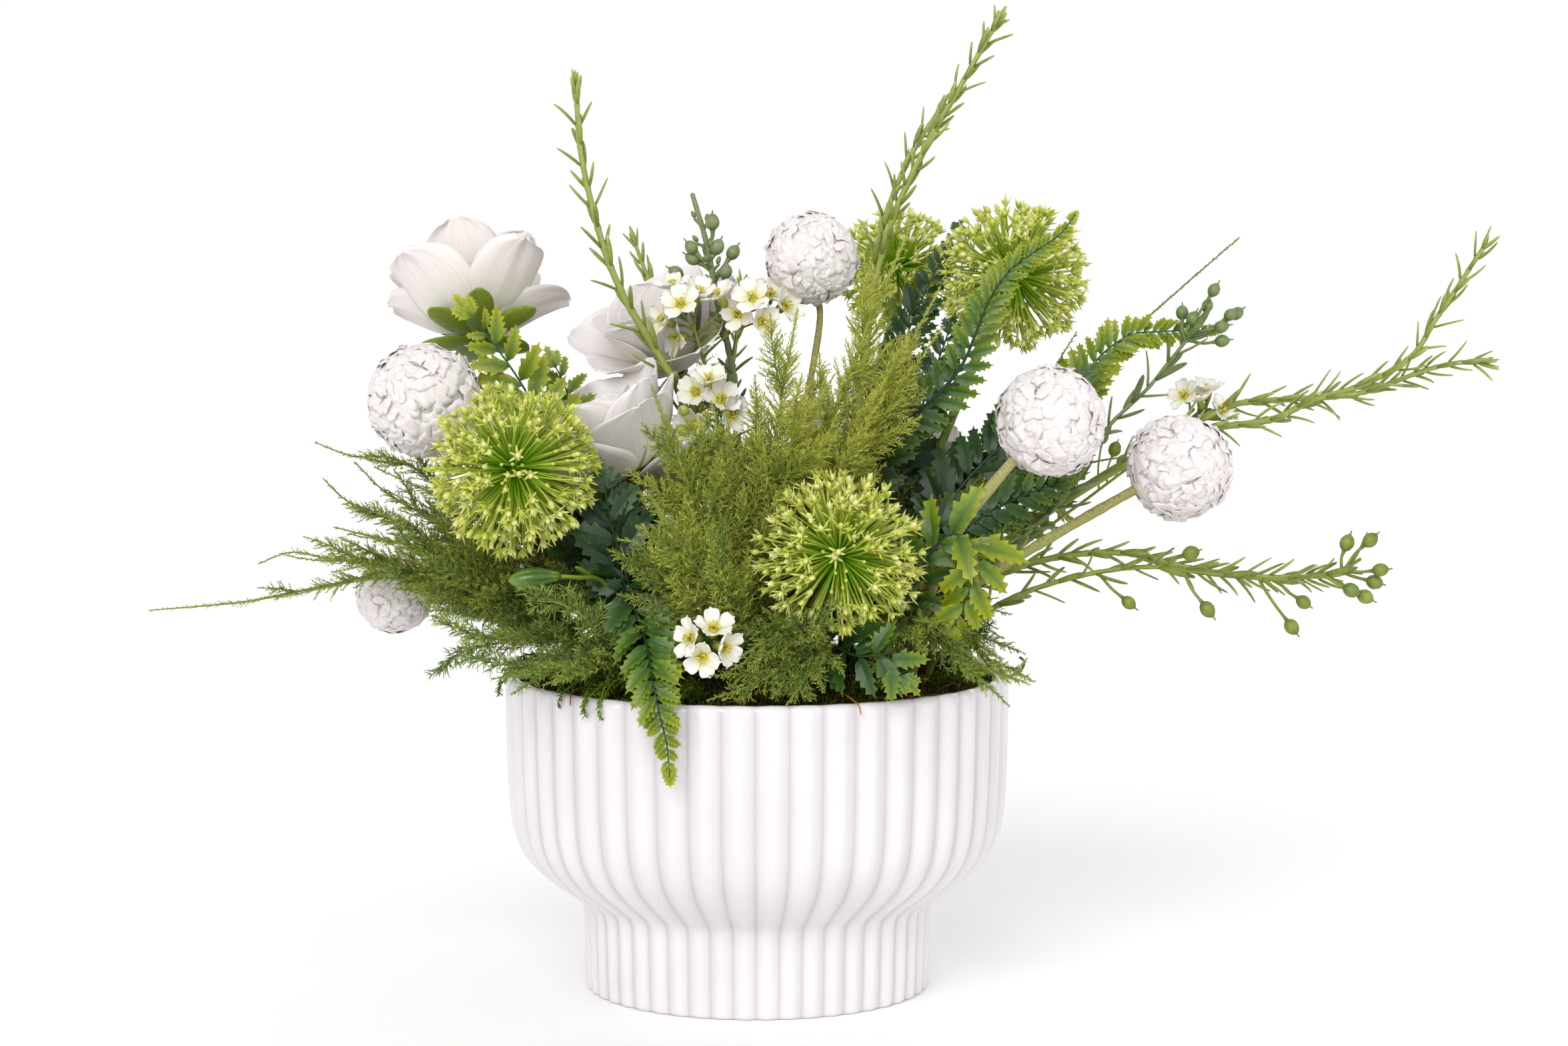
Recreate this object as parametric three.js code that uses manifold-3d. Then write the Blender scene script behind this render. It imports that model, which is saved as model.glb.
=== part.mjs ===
// Artificial flower arrangement in a fluted white ceramic footed pot.
// Millimetres, +Z up. The origin is the centre of the pot's flat base.
import * as THREE from "three";
import { mergeVertices } from "three/addons/utils/BufferGeometryUtils.js";
import Module from "manifold-3d";

const wasm = await Module();
wasm.setup();

// ---- driving dimensions -------------------------------------------------
const RIM_RADIUS = 120.1; // over the crests of the ribs, near the rim
const POT_HEIGHT = 151;
const FOOT_RADIUS = 83;
const FOOT_HEIGHT = 41; // where the bowl meets the foot
const RIBS = 48; // convex ribs round the pot, rim to base
const BOWL_GROOVE = 2.0; // depth of the grooves between ribs on the bowl
const FOOT_GROOVE = 1.5;
const INNER_RADIUS = 113;
const FLOOR_TOP = 9; // thickness of the pot's floor
const FOAM_TOP = 135.7;
const MOSS_BOTTOM = 136.1;
const MOSS_EDGE = 147;
const MOSS_CROWN = 157.5;
const LEAFY_LENGTH = 190; // leafy end of a rosemary sprig
const WHORL_STEP = 22;
const GAP = 0.35; // clearance kept between neighbouring pieces
const FERN_SHARE = 0.72; // solid blade width over the leafy frond's width
const PLUME_SHARE = 0.38; // the same for the feathery asparagus plumes

const COLOURS = {
  glaze: [0xf4f2f4, 0.22],
  foam: [0x2f4a2a, 0.95],
  moss: [0x4c4f22, 0.95],
  pompom: [0xf2f0ee, 0.85],
  pompom_stem: [0x96965a, 0.6],
  allium: [0xb9cf5a, 0.6],
  allium_stem: [0x7d9a3a, 0.6],
  bloom: [0xf1efee, 0.7],
  bloom_stem: [0x7f9e35, 0.6],
  rosemary: [0x8c9b3c, 0.6],
  berry: [0x74906a, 0.5],
  wax: [0xefeddc, 0.6],
  fern: [0x2c5a2e, 0.4],
  asparagus: [0x6e8232, 0.8],
  bud: [0x5c9a2c, 0.35],
};

// ---- every stem, frond and head, in millimetres --------------------------
// r: stem radius. R, head, axis: a flower head's radius, centre and outward direction.
// paths: the stem or rachis lines, each from its foot in the foam to its tip.
// hw: half width of the frond on each path. berries, br, flowers: centres and radius.
const PLANTS = [
  { name: "pompom_1", kind: "pompom", r: 1.6, R: 26.5, head: [-155.8,-22,281.9], axis: [-0.352,-0.755,0.553],
    paths: [[[-55.6,-13.7,114],[-56.7,-14.1,157.9],[-90,-7.6,210.7],[-144.2,3,263.6],[-148.4,-6,270.2]]] },
  { name: "pompom_2", kind: "pompom", r: 1.6, R: 22, head: [26,18,347.3], axis: [-0.148,-0.098,0.984],
    paths: [[[7.9,13.7,114],[8.1,14,160.8],[16.5,16.6,240.5],[30.1,20.7,320.2],[28.6,19.7,329.9]]] },
  { name: "pompom_3", kind: "pompom", r: 2.6, R: 25, head: [134.9,-60,274.6], axis: [0.684,0.076,0.726],
    paths: [[[71.4,-41.2,114],[72.3,-43,154.6],[78.3,-52.3,188.2],[91.9,-62,222.9],[116.9,-62,255.4],[121.2,-61.5,260.1]]] },
  { name: "pompom_4", kind: "pompom", r: 2.4, R: 24.5, head: [198.8,-20,250.4], axis: [0.887,0.162,0.432],
    paths: [[[63.5,-27.5,114],[64.8,-28.1,156.5],[81,-29.7,178.1],[103.1,-38.6,197.8],[176.9,-24,239.7],[181.5,-23.2,241.9]]] },
  { name: "pompom_5", kind: "pompom", r: 1.8, R: 18, head: [-174.6,10,186.2], axis: [-0.994,0.0,-0.111],
    paths: [[[-79.4,0,114],[-81,0,155],[-98.2,1,170.3],[-123.8,10.1,189.1],[-160.2,10,187.8],[-160.3,10,187.8]]] },
  { name: "allium_1", kind: "allium", r: 2.2, R: 38.5, head: [-109.9,-78,254.2], axis: [-0.318,-0.848,0.424],
    paths: [[[-47.6,-27.5,114],[-48.6,-28.1,158.1],[-66.1,-31.5,196],[-94.6,-37.2,233.8],[-105.7,-66.6,248.5]]] },
  { name: "allium_2", kind: "allium", r: 2.2, R: 38, head: [37.7,-84,215.2], axis: [0.208,-0.885,0.416],
    paths: [[[15.9,-27.5,114],[16.2,-28.1,160],[27.8,-42,195.5],[35,-72.2,209.7]]] },
  { name: "allium_3", kind: "allium", r: 2.2, R: 36, head: [124.2,42,339.1], axis: [0.404,-0.101,0.909],
    paths: [[[55.6,13.7,114],[57.5,13.9,157.9],[77.9,23.7,228.2],[106.4,45.3,298.4],[119.1,43.3,327.6]]] },
  { name: "allium_4", kind: "allium", r: 2.2, R: 30, head: [69.3,96,341.9], axis: [0.101,0.504,0.858],
    paths: [[[23.8,41.2,114],[24.3,42.1,158.9],[39,55.4,234.8],[65,77.1,310],[68.2,90.7,332.9]]] },
  { name: "allium_5", kind: "allium", r: 2.2, R: 35, head: [52,128,218], axis: [0.342,0.831,0.44],
    paths: [[[15.9,55,114],[16.2,56.1,157.9],[24.1,69.6,178.3],[37,91.7,198.8],[47.8,117.8,212.6]]] },
  { name: "bloom_1", kind: "bloom", r: 2, R: 34, head: [-139.7,16,331.4], axis: [-0.215,-0.049,0.975],
    paths: [[[-71.4,13.7,114],[-72.9,14,156],[-96.2,14.8,230.6],[-134.2,16,305.3],[-133.5,17.4,303.2]]] },
  { name: "bloom_2", kind: "bloom", r: 2, R: 30.5, head: [-64.4,-20,269.2], axis: [-0.098,-0.541,0.836],
    paths: [[[-23.8,-13.7,114],[-24.3,-14,160.3],[-38.1,-8.5,198.8],[-60.6,0.6,237.4],[-61.8,-6,247.6]]] },
  { name: "bloom_3", kind: "bloom", r: 2, R: 26, head: [-43.1,44,306.7], axis: [-0.197,-0.295,0.935],
    paths: [[[-23.8,13.7,114],[-24.3,14,160.3],[-29,29.1,218.3],[-36.8,53.6,276.3],[-38.8,50.5,286]]] },
  { name: "bloom_4", kind: "bloom", r: 2, R: 29, head: [77.4,62,247.5], axis: [0.309,-0.206,0.928],
    paths: [[[23.8,13.7,114],[24.3,14,160.3],[40.5,34.3,187.6],[66.1,68.8,214.5],[69.8,67.1,224.6]]] },
  { name: "bloom_5", kind: "bloom", r: 2, R: 31, head: [-48,122,238], axis: [-0.342,0.734,0.587],
    paths: [[[-15.9,55,114],[-16.2,56.1,157.9],[-23.2,70.3,186.6],[-34.7,93.6,215.3],[-39,102.7,222.5]]] },
  { name: "rosemary_1", kind: "rosemary", r: 1.5,
    paths: [[[-31.8,0,114],[-32.4,0,160],[-32.7,-3,204.8],[-33,-7.9,249.5],[-35,-5.9,280.4],[-44.8,-4,299.5],[-61.6,0,327.1],[-70.8,2,347.6],[-78.3,4,373.4],[-83.7,6,399.5],[-85.5,8,425.2]]] },
  { name: "rosemary_2", kind: "rosemary", r: 1.5,
    paths: [[[39.7,13.7,114],[40.5,14,159.3],[45.8,18.6,240.1],[54.3,26,320.9],[63.5,26,362.1],[80.4,28,399.7],[97.4,30,429.6],[113.9,32,458.6]],
      [[39.7,13.7,114],[40.5,14,159.3],[45.8,18.6,240.1],[54.3,26,320.9],[59.2,32,359.2],[74.1,38,397],[86.7,42,416.9]]] },
  { name: "rosemary_3", kind: "rosemary", r: 1.5,
    paths: [[[63.5,0,114],[64.8,0,157.2],[114,9.1,207.8],[194.3,24,258.3],[219.7,22,265.9],[247.9,20,270.5],[265.8,18,279.3],[286.5,16,285.8],[302.9,14,293.9],[314.3,12,302.9],[322.6,10,317.3],[332.4,8,332.9],[344.7,6,352.9]],
      [[63.5,0,114],[64.8,0,157.2],[114,9.2,207.8],[194.3,24,258.3],[228.2,30,276.3],[254.9,32,279.1],[278.4,32,280.4],[294.4,33,282.9],[307.7,34,287.4],[322.3,35,292.9],[338.3,36,296.7],[349.7,37,297]]] },
  { name: "rosemary_4", kind: "rosemary", r: 1.5,
    paths: [[[71.4,-13.7,114],[72.9,-14,156],[84,-13.3,174.1],[102,-12,192.1],[135,-14,205.7],[172,-16,209.4],[205.2,-18,202.3],[234.6,-20,198.7],[267.6,-22,198.9]]] },
  { name: "rosemary_5", kind: "rosemary", r: 1.5,
    paths: [[[-7.9,41.2,114],[-8.1,42.1,159.3],[-12.6,48.9,197.2],[-20,60,235],[-42,92,300],[-62,116,352]],
      [[-7.9,41.2,114],[-8.1,42.1,159.3],[-12.6,48.9,197.2],[-20,60,235],[-12,98,300],[-8,118,330]]] },
  { name: "berry_sprig_1", kind: "berry", r: 1.2,
    paths: [[[0,27.5,114],[0,28.1,160.3],[-3.8,28.8,211.5],[-9.9,30,262.8],[-11.8,28,290.9],[-14.6,26,306.8],[-20.3,24,331.2],[-23.5,24,351],[-31.1,24,378.1]]],
    berries: [[-20.5,17.5,363.2],[-19.9,21.1,351.4],[-12,24.7,349.1],[-31,18.4,351.4],[-29.9,22,346.9],[-38.3,25.6,339.8],[-14.5,19.3,339.6]], br: 2.9 },
  { name: "berry_sprig_2", kind: "berry", r: 1.2,
    paths: [[[79.4,0,114],[81,0,155],[106.6,3.8,195.2],[148.3,10,235.3],[167.6,14,266.4],[187.4,16,285.8],[199,18,300.1],[213.4,20,317.6]]],
    berries: [[217.5,15.5,331.7],[215.8,19.1,323.7],[203.5,22.7,320.7],[206.6,16.4,318],[226.2,20,319.5],[229.5,23.6,320],[221.1,17.3,314.8],[222,20.9,307.3]], br: 2.6 },
  { name: "berry_sprig_3", kind: "berry", r: 1.3,
    paths: [[[79.4,-27.5,114],[81,-28.1,154.3],[93.5,-30.3,170.8],[114,-34,187.3],[145.1,-34,198.9],[182.5,-34,204.6],[216.6,-36,201],[250.6,-38,199.4],[275,-40,205.2],[281.2,-40,209]]],
    berries: [[200.5,-42.5,212],[209.2,-38.9,186],[274.4,-35.3,215],[284.2,-41.6,217.5],[289.7,-38,203.1],[287.6,-34.4,197.7],[275.7,-40.7,194.7],[282.9,-37.1,191.4],[254.8,-33.5,188.2],[248.7,-39.8,178],[172.8,-36.2,188.5]], br: 2.9 },
  { name: "waxflower_sprig_1", kind: "wax", r: 1,
    paths: [[[-7.9,13.7,114],[-8.1,14,160.8],[-6.9,16.3,194.4],[-5,20,228],[-16.1,14,260.6],[-24,10,292.8],[-31.8,8,321.5]]],
    berries: [[-33.6,-34.5,277.3],[-23.7,-30.9,274.3],[-34.4,-27.3,267.8],[-17.8,-33.6,267.9],[-29.1,-30,257.1]], br: 2.4,
    flowers: [[-43.4,4,318.1],[-39.8,12,333.4],[-27.9,6,330.7],[-8.6,2,321.4],[6,8,329.7],[-28.3,-22,285.6],[-16.7,-26,282.1],[-29.1,-28,270.7],[24.9,-18,276.3]] },
  { name: "waxflower_sprig_2", kind: "wax", r: 1,
    paths: [[[0,-55,114],[0.6,-56.4,158.1],[-6.5,-80.3,162.4],[-15.9,-96,173.2],[-21.8,-103,179.3]]],
    flowers: [[-18,-110,186.1],[-24,-112,170.8],[-30.3,-110,181],[-12.7,-111,176]] },
  { name: "waxflower_sprig_3", kind: "wax", r: 1,
    paths: [[[79.4,27.5,114],[81,28.1,154.3],[112.1,28.8,194],[162.8,30,233.6],[188.9,34,252.8],[214.8,36,273.7]]],
    berries: [[165.7,21.5,260.8],[171.6,25.1,254.7],[175.8,28.7,248.6]], br: 2.6,
    flowers: [[213.7,30,278.6],[222.9,28,273.6]] },
  { name: "leather_fern_1", kind: "fern", r: 1.1,
    paths: [[[-63.5,0,114],[-64.8,0,157.2],[-74.6,-7.5,199.1],[-90.9,-20,241],[-100,-22,269.4],[-110.1,-22,289.4],[-123,-24,308.5],[-135.1,-26,323.9]],
      [[-63.5,0,114],[-64.8,0,157.2],[-73.2,-2.3,200.1],[-88.5,-4.8,242.3],[-89.6,2.7,267.4],[-90.9,4.4,285.2],[-97.5,6,299.4]]], hw: [15,10] },
  { name: "leather_fern_2", kind: "fern", r: 1.1,
    paths: [[[-39.7,-41.2,114],[-40.5,-42.1,157.9],[-48.1,-52.7,180],[-60.6,-70,202.2],[-51.5,-92,183.3],[-47.3,-109,170.4],[-44.9,-120.5,159.3],[-42.1,-124.5,146.8],[-39.2,-125,134.6],[-38,-125.5,120.3]],
      [[-39.7,-41.2,114],[-40.5,-42.1,157.9],[-53,-70,183.8],[-60.4,-72,208.5],[-66.5,-70,229.8],[-69.7,-66,249.3]]], hw: [14,15] },
  { name: "leather_fern_3", kind: "fern", r: 1.3,
    paths: [[[31.8,0,114],[32.4,0,160],[38.8,0.8,191.6],[49.2,2,223.2],[57,0,248.9],[67.4,-2,268.1],[85,-4,282.8],[97.2,-4,297.9],[104.7,-4,315.6],[110.9,-4,330.1],[120.6,-4,343],[131.9,-4,351.4],[143.5,-4,359.6],[150,-4,368.4]]], hw: [12] },
  { name: "leather_fern_4", kind: "fern", r: 1.1,
    paths: [[[71.4,13.7,114],[72.9,14,156],[98.2,16.3,198.5],[139.4,20,240.9],[149.8,24,276],[163.3,26,298.4],[179.1,28,310.2],[195,30,312.1],[221.6,32,312.6]]], hw: [13] },
  { name: "leather_fern_5", kind: "fern", r: 1.1,
    paths: [[[31.8,-55,114],[32.3,-56,157.2],[47.1,-59.8,175.5],[71.7,-66.4,192.9],[79.5,-74,214.9],[90.6,-78,224.4],[99.6,-80,215.5],[96.6,-82,197.4],[88.4,-82,179.7]],
      [[31.8,-55,114],[32.3,-56,157.2],[31.6,-84.5,174.7],[45.7,-100.1,171.2],[57.5,-106,171.5],[68.1,-111,161]]], hw: [10,12] },
  { name: "leather_fern_6", kind: "fern", r: 1.3,
    paths: [[[47.6,0,114],[48.5,0,158.9],[60.1,20.3,196.2],[67.4,26,234],[76.3,34,265.7],[85.5,40,291.3],[93.7,44,313.8]],
      [[47.6,0,114],[48.5,0,158.9],[59.8,2.3,179.6],[78.1,6,200.4],[94,8,233.9],[116.3,10,257.7],[141.8,12,276.8],[157.8,14,292.6]],
      [[47.6,0,114],[48.5,0,158.9],[60.8,-2.3,178.7],[80.8,-6,198.5],[99.8,-4,220.6],[125.3,0,234.6],[147.6,2,242.4]]], hw: [15,17,13] },
  { name: "leather_fern_7", kind: "fern", r: 1.3,
    paths: [[[-47.6,27.5,114],[-48.6,28.1,158.1],[-60,30,190],[-88,66,238],[-108,104,262],[-124,140,258]],
      [[-47.6,27.5,114],[-48.6,28.1,158.1],[-52,40,190],[-72.7,89.4,231.7],[-87.2,138.9,236.2],[-88.6,176.3,212.5]]], hw: [17,15] },
  { name: "leather_fern_8", kind: "fern", r: 1.3,
    paths: [[[31.8,27.5,114],[32.4,28.1,159.3],[40.2,43.8,189.8],[65.5,90.6,235.4],[92,130,250],[112,166,236]],
      [[31.8,27.5,114],[32.4,28.1,159.3],[50.2,29.9,189.4],[95.2,61.8,220.9],[128.3,92.1,231.7],[158,116,214]]], hw: [17,15] },
  { name: "asparagus_left", kind: "asparagus", r: 1.2,
    paths: [[[-71.4,-13.7,114],[-72.9,-14,156],[-92.5,-14.8,170.6],[-124.5,-16,185.3],[-149.5,-18,193.4],[-173.6,-18,200.4],[-190.7,-18,196.6],[-217.2,-18,191.2],[-241.5,-18,186.5],[-287.2,-18,182.3]],
      [[-71.4,-13.7,114],[-72.9,-14,156],[-93.1,-21.6,173],[-126,-35.9,189.2],[-146.9,-44,199.4],[-170.1,-50,208.7],[-195.8,-54,210.4],[-214.2,-56,213.7],[-229.4,-58,208.6]],
      [[-71.4,-13.7,114],[-72.9,-14,156],[-93.1,-6.8,173.5],[-126.1,3.6,191.3],[-139.2,10,216.1],[-148.5,12,230.3],[-160.8,12,245.1],[-176.4,12,252.5],[-193.6,12,253.1],[-211.8,12,259.8]],
      [[-71.4,-13.7,114],[-72.9,-14,156],[-93,-16.3,173.2],[-125.7,-20,190.5],[-139.4,-24,203.5],[-154.6,-28,218.1],[-176.8,-32,229.4],[-190.8,-34,235.5],[-201.7,-36,246]],
      [[-71.4,-13.7,114],[-72.9,-14,156],[-91.8,1,174.8],[-125.4,20.7,189.9],[-141,30,207.7],[-160.9,36,221.8],[-182.3,40,234.4],[-196.6,42,248.3]],
      [[-71.4,-13.7,114],[-72.9,-14,156],[-92.9,-24,175.1],[-123.2,-48.3,194.5],[-136.2,-60,204.2],[-156.9,-66,217.1],[-180.8,-70,223.6],[-192.7,-72,226.9]]], hw: [9,12,11,12,11,12] },
  { name: "asparagus_lower_left", kind: "asparagus", r: 1.2,
    paths: [[[-55.6,-41.2,114],[-56.7,-42.1,156.5],[-87.9,-50,172],[-102.2,-66,175.6],[-123.2,-78,177.1],[-144,-86,185.4]],
      [[-55.6,-41.2,114],[-56.7,-42.1,156.5],[-84.2,-60,168.6],[-95.2,-80,166.6],[-109.5,-92,165.7],[-128.5,-98,170.5]],
      [[-55.6,-41.2,114],[-56.7,-42.1,156.5],[-88.5,-40,173.9],[-106.5,-48.2,184],[-127.6,-55.1,191.2],[-148.7,-58,196.6]],
      [[-55.6,-41.2,114],[-56.7,-42.1,156.5],[-61.4,-58,162.6],[-69.2,-84,168.7],[-85,-98,165.9],[-99.6,-104,163.7],[-118.6,-106,161.6]],
      [[-55.6,-41.2,114],[-56.7,-42.1,156.5],[-62,-58.8,165.7],[-70.5,-86,175],[-75.8,-100,187.3],[-87.2,-108,195.8],[-101.8,-112,197.7]],
      [[-55.6,-41.2,114],[-56.7,-42.1,156.5],[-91.5,-33.9,174.6],[-117.4,-28.5,168.8],[-136.6,-24,164.1],[-149.6,-20,155.6]]], hw: [13,12,13,9,13,12] },
  { name: "asparagus_centre", kind: "asparagus", r: 1.3,
    paths: [[[-7.9,-41.2,114],[-8.1,-42.1,159.3],[-5.5,-65.9,166.6],[-14.8,-72,205.5],[-31.4,-74,248.4],[-47.7,-72,292]],
      [[-7.9,-41.2,114],[-8.1,-42.1,159.3],[-3.7,-60,165.5],[-7.2,-64,207.7],[-12.7,-62,247.4],[-20.7,-58,283.9]],
      [[-7.9,-41.2,114],[-8.1,-42.1,159.3],[-1.8,-56,165],[2.5,-52,221.9],[10.5,-44,277],[19.1,-36,325.4]],
      [[-7.9,-41.2,114],[-8.1,-42.1,159.3],[0,-52,164.5],[15.7,-42,221],[43.8,-26,294.6],[71.7,-14,362.5]],
      [[-7.9,-41.2,114],[-8.1,-42.1,159.3],[1.9,-56,165],[25.1,-40,223.9],[57.9,-26,282.1],[86.1,-18,334.8]],
      [[-7.9,-41.2,114],[-8.1,-42.1,159.3],[-6.8,-71.9,167.4],[-22.2,-84,185.4],[-40.1,-90,204.3],[-53.5,-92,221.2],[-62.5,-92,223.3]],
      [[-7.9,-41.2,114],[-8.1,-42.1,159.3],[-2,-61.5,166.4],[-2,-67.5,210.3],[14.1,-66.3,258.3],[36.2,-60,296.3]],
      [[-7.9,-41.2,114],[-8.1,-42.1,159.3],[-5.1,-73.9,168.3],[-17.5,-92,195.5],[-35.3,-98,224.8],[-47.2,-98,242.8]]], hw: [18,20,22,22,19,13,21,16] },
  { name: "asparagus_right", kind: "asparagus", r: 1.2,
    paths: [[[55.6,-41.2,114],[56.7,-42.1,156.5],[68.3,-58.7,182.6],[81,-78,177.1],[99.3,-90,161.8],[114.9,-94.8,147.6]],
      [[55.6,-41.2,114],[56.7,-42.1,156.5],[71.7,-41.5,185.9],[89.9,-49.7,177.5],[106.7,-56,165],[117.1,-56.3,156.4],[125.2,-56.6,164.4]],
      [[55.6,-41.2,114],[56.7,-42.1,156.5],[72,-30,188.4],[83.6,-39.3,186.3],[99.3,-40.7,181.1],[115.2,-42,171.7]],
      [[55.6,-41.2,114],[56.7,-42.1,156.5],[64.9,-72.6,182.9],[61,-88,175.3],[53.2,-99,166.1],[47.1,-104,160.7]]], hw: [15,14,12,12] },
  { name: "asparagus_front", kind: "asparagus", r: 1.2,
    paths: [[[23.8,-68.7,114],[24.2,-70.2,156],[17.2,-92,177.3],[9.7,-104,165.2],[-3.8,-110,158.5],[-21.9,-113,152.9]],
      [[23.8,-68.7,114],[24.2,-70.2,156],[27,-92.2,175.5],[21.6,-108,161.2],[15.6,-118,153.6],[6.7,-124.5,145]],
      [[23.8,-68.7,114],[24.2,-70.2,156],[20,-96.1,180.4],[5.2,-106,179],[-6.7,-110,172]],
      [[23.8,-68.7,114],[24.2,-70.2,156],[23.1,-100.5,180],[34.1,-118.6,187.9],[38.4,-122,187]]], hw: [12,11,10,9] },
  { name: "asparagus_back_left", kind: "asparagus", r: 1.2,
    paths: [[[-39.7,41.2,114],[-40.5,42.1,157.9],[-50,50,185],[-88,82,226],[-128,112,236],[-168,138,214]],
      [[-39.7,41.2,114],[-40.5,42.1,157.9],[-46,53.9,185],[-74,99.9,223],[-86.1,149.5,223.8],[-85.7,187.9,195.8]],
      [[-39.7,41.2,114],[-40.5,42.1,157.9],[-38,56,190],[-30,100,262],[-28,128,300],[-34,150,326]],
      [[-39.7,41.2,114],[-40.5,42.1,157.9],[-40,58,180],[-50,100,190],[-58,134,172],[-62,158,142]]], hw: [16,17,17,14] },
  { name: "asparagus_back_right", kind: "asparagus", r: 1.2,
    paths: [[[39.7,41.2,114],[40.5,42.1,157.9],[46,50.7,184.3],[84,92.3,221.6],[118,130,226],[150,160,200]],
      [[39.7,41.2,114],[40.5,42.1,157.9],[36,56,190],[30,112,246],[24,150,262],[18,186,246]],
      [[39.7,41.2,114],[40.5,42.1,157.9],[38.6,51.2,189.8],[57.7,89.8,261.9],[72,112,306],[88,128,338]],
      [[39.7,41.2,114],[40.5,42.1,157.9],[44,54,180],[66,104,188],[80,134,168],[88,156,140]],
      [[39.7,41.2,114],[40.5,42.1,157.9],[70,39.8,185.8],[118.1,36,213.6],[137.2,36,260.8],[166.7,36,298],[198.1,36,327],[232.6,36,357.2]]], hw: [16,17,17,14,5] },
  { name: "bud_sprig", kind: "bud", r: 1.2,
    paths: [[[-47.6,-55,114],[-48.6,-56.1,156],[-56.7,-62.9,179],[-69.8,-74,202],[-80.3,-92,205.8],[-89,-98,207],[-100.2,-100,206.3]]] },
];

// ---- helpers --------------------------------------------------------------
const V = (a) => new THREE.Vector3(a[0], a[1], a[2]);
const UP = new THREE.Vector3(0, 0, 1);

// A repeatable number from 0 to 1.
function noise(i, seed = 0) {
  const s = Math.sin(i * 127.1 + seed * 311.7 + 17.3) * 43758.5453;
  return s - Math.floor(s);
}

function bare(geometry) {
  const g = geometry.clone();
  g.deleteAttribute("normal");
  g.deleteAttribute("uv");
  return mergeVertices(g, 1e-4);
}

function solid(geometry) {
  const g = bare(geometry);
  return new wasm.Manifold(
    new wasm.Mesh({
      numProp: 3,
      vertProperties: new Float32Array(g.attributes.position.array),
      triVerts: new Uint32Array(g.index.array),
    }),
  );
}

function geometryOf(body) {
  const m = body.getMesh();
  const n = m.numProp;
  const position = new Float32Array(m.numVert * 3);
  for (let i = 0; i < m.numVert; i++)
    position.set(m.vertProperties.subarray(i * n, i * n + 3), i * 3);
  const g = new THREE.BufferGeometry();
  g.setAttribute("position", new THREE.BufferAttribute(position, 3));
  g.setIndex(new THREE.BufferAttribute(new Uint32Array(m.triVerts), 1));
  return g;
}

// Stations along a smooth line, as few as keep it within tol of the true curve.
function stations(points, tol = 0.35, longest = 1e9) {
  const curve = new THREE.CatmullRomCurve3(points.map(V));
  const dense = curve.getPoints(10 * (points.length - 1));
  const keep = new Set([0, dense.length - 1]);
  const split = (a, b) => {
    let far = 0,
      at = -1;
    const line = new THREE.Line3(dense[a], dense[b]);
    const q = new THREE.Vector3();
    for (let i = a + 1; i < b; i++) {
      line.closestPointToPoint(dense[i], true, q);
      const d = q.distanceTo(dense[i]);
      if (d > far) [far, at] = [d, i];
    }
    if (far > tol || (at > 0 && dense[a].distanceTo(dense[b]) > longest)) {
      if (far <= tol) at = Math.round((a + b) / 2);
      keep.add(at);
      split(a, at);
      split(at, b);
    }
  };
  split(0, dense.length - 1);
  return [...keep].sort((a, b) => a - b).map((i) => dense[i]);
}

// Unit tangent, width direction and face direction at each station.
function frames(line, facing) {
  return line.map((p, i) => {
    const a = line[Math.max(i - 1, 0)];
    const b = line[Math.min(i + 1, line.length - 1)];
    const t = b.clone().sub(a).normalize();
    const n = facing.clone().addScaledVector(t, -facing.dot(t));
    if (n.length() < 0.05) n.set(0.3, 0.8, 0.1).addScaledVector(t, -0.1);
    n.normalize();
    const w = new THREE.Vector3().crossVectors(t, n).normalize();
    n.crossVectors(w, t).normalize();
    return { p, t, n, w };
  });
}

// A bent bar: a cylinder whose rings follow the stations. wide(u) and thick(u) are half sizes.
function bar(line, facing, wide, thick, sides, lengthen = 0) {
  const f = frames(line, facing);
  const count = line.length - 1;
  const total = line.slice(1).reduce((s, p, i) => s + p.distanceTo(line[i]), 0);
  let run = 0;
  const at = line.map((p, i) => {
    if (i) run += p.distanceTo(line[i - 1]);
    return run / total;
  });
  const g = bare(new THREE.CylinderGeometry(1, 1, 1, sides, count));
  const pos = g.attributes.position;
  for (let i = 0; i < pos.count; i++) {
    const k = Math.round((pos.getY(i) + 0.5) * count);
    const s = f[k];
    const x = pos.getX(i),
      z = pos.getZ(i);
    const q = s.p
      .clone()
      .addScaledVector(s.w, -x * wide(at[k], k))
      .addScaledVector(s.n, z * thick(at[k], k));
    if (k === 0) q.addScaledVector(s.t, -lengthen);
    if (k === count) q.addScaledVector(s.t, lengthen);
    pos.setXYZ(i, q.x, q.y, q.z);
  }
  return outward(solid(g), g);
}

// Turns a closed body the right way out.
function outward(body, g) {
  if (body.volume() >= 0) return body;
  const index = g.index.array;
  for (let i = 0; i < index.length; i += 3)
    [index[i + 1], index[i + 2]] = [index[i + 2], index[i + 1]];
  return solid(g);
}

function turnTo(g, direction, place) {
  const q = new THREE.Quaternion().setFromUnitVectors(
    UP,
    direction.clone().normalize(),
  );
  return g.applyQuaternion(q).translate(place.x, place.y, place.z);
}

function ball(radius, detail, place, shape) {
  const g = bare(new THREE.IcosahedronGeometry(1, detail));
  const pos = g.attributes.position;
  for (let i = 0; i < pos.count; i++) {
    const p = new THREE.Vector3().fromBufferAttribute(pos, i).normalize();
    const s = shape ? shape(p, i) : p;
    pos.setXYZ(i, s.x * radius, s.y * radius, s.z * radius);
  }
  g.translate(place.x, place.y, place.z);
  return solid(g);
}

const join = (list) => list.reduce((a, b) => a.add(b));

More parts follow.
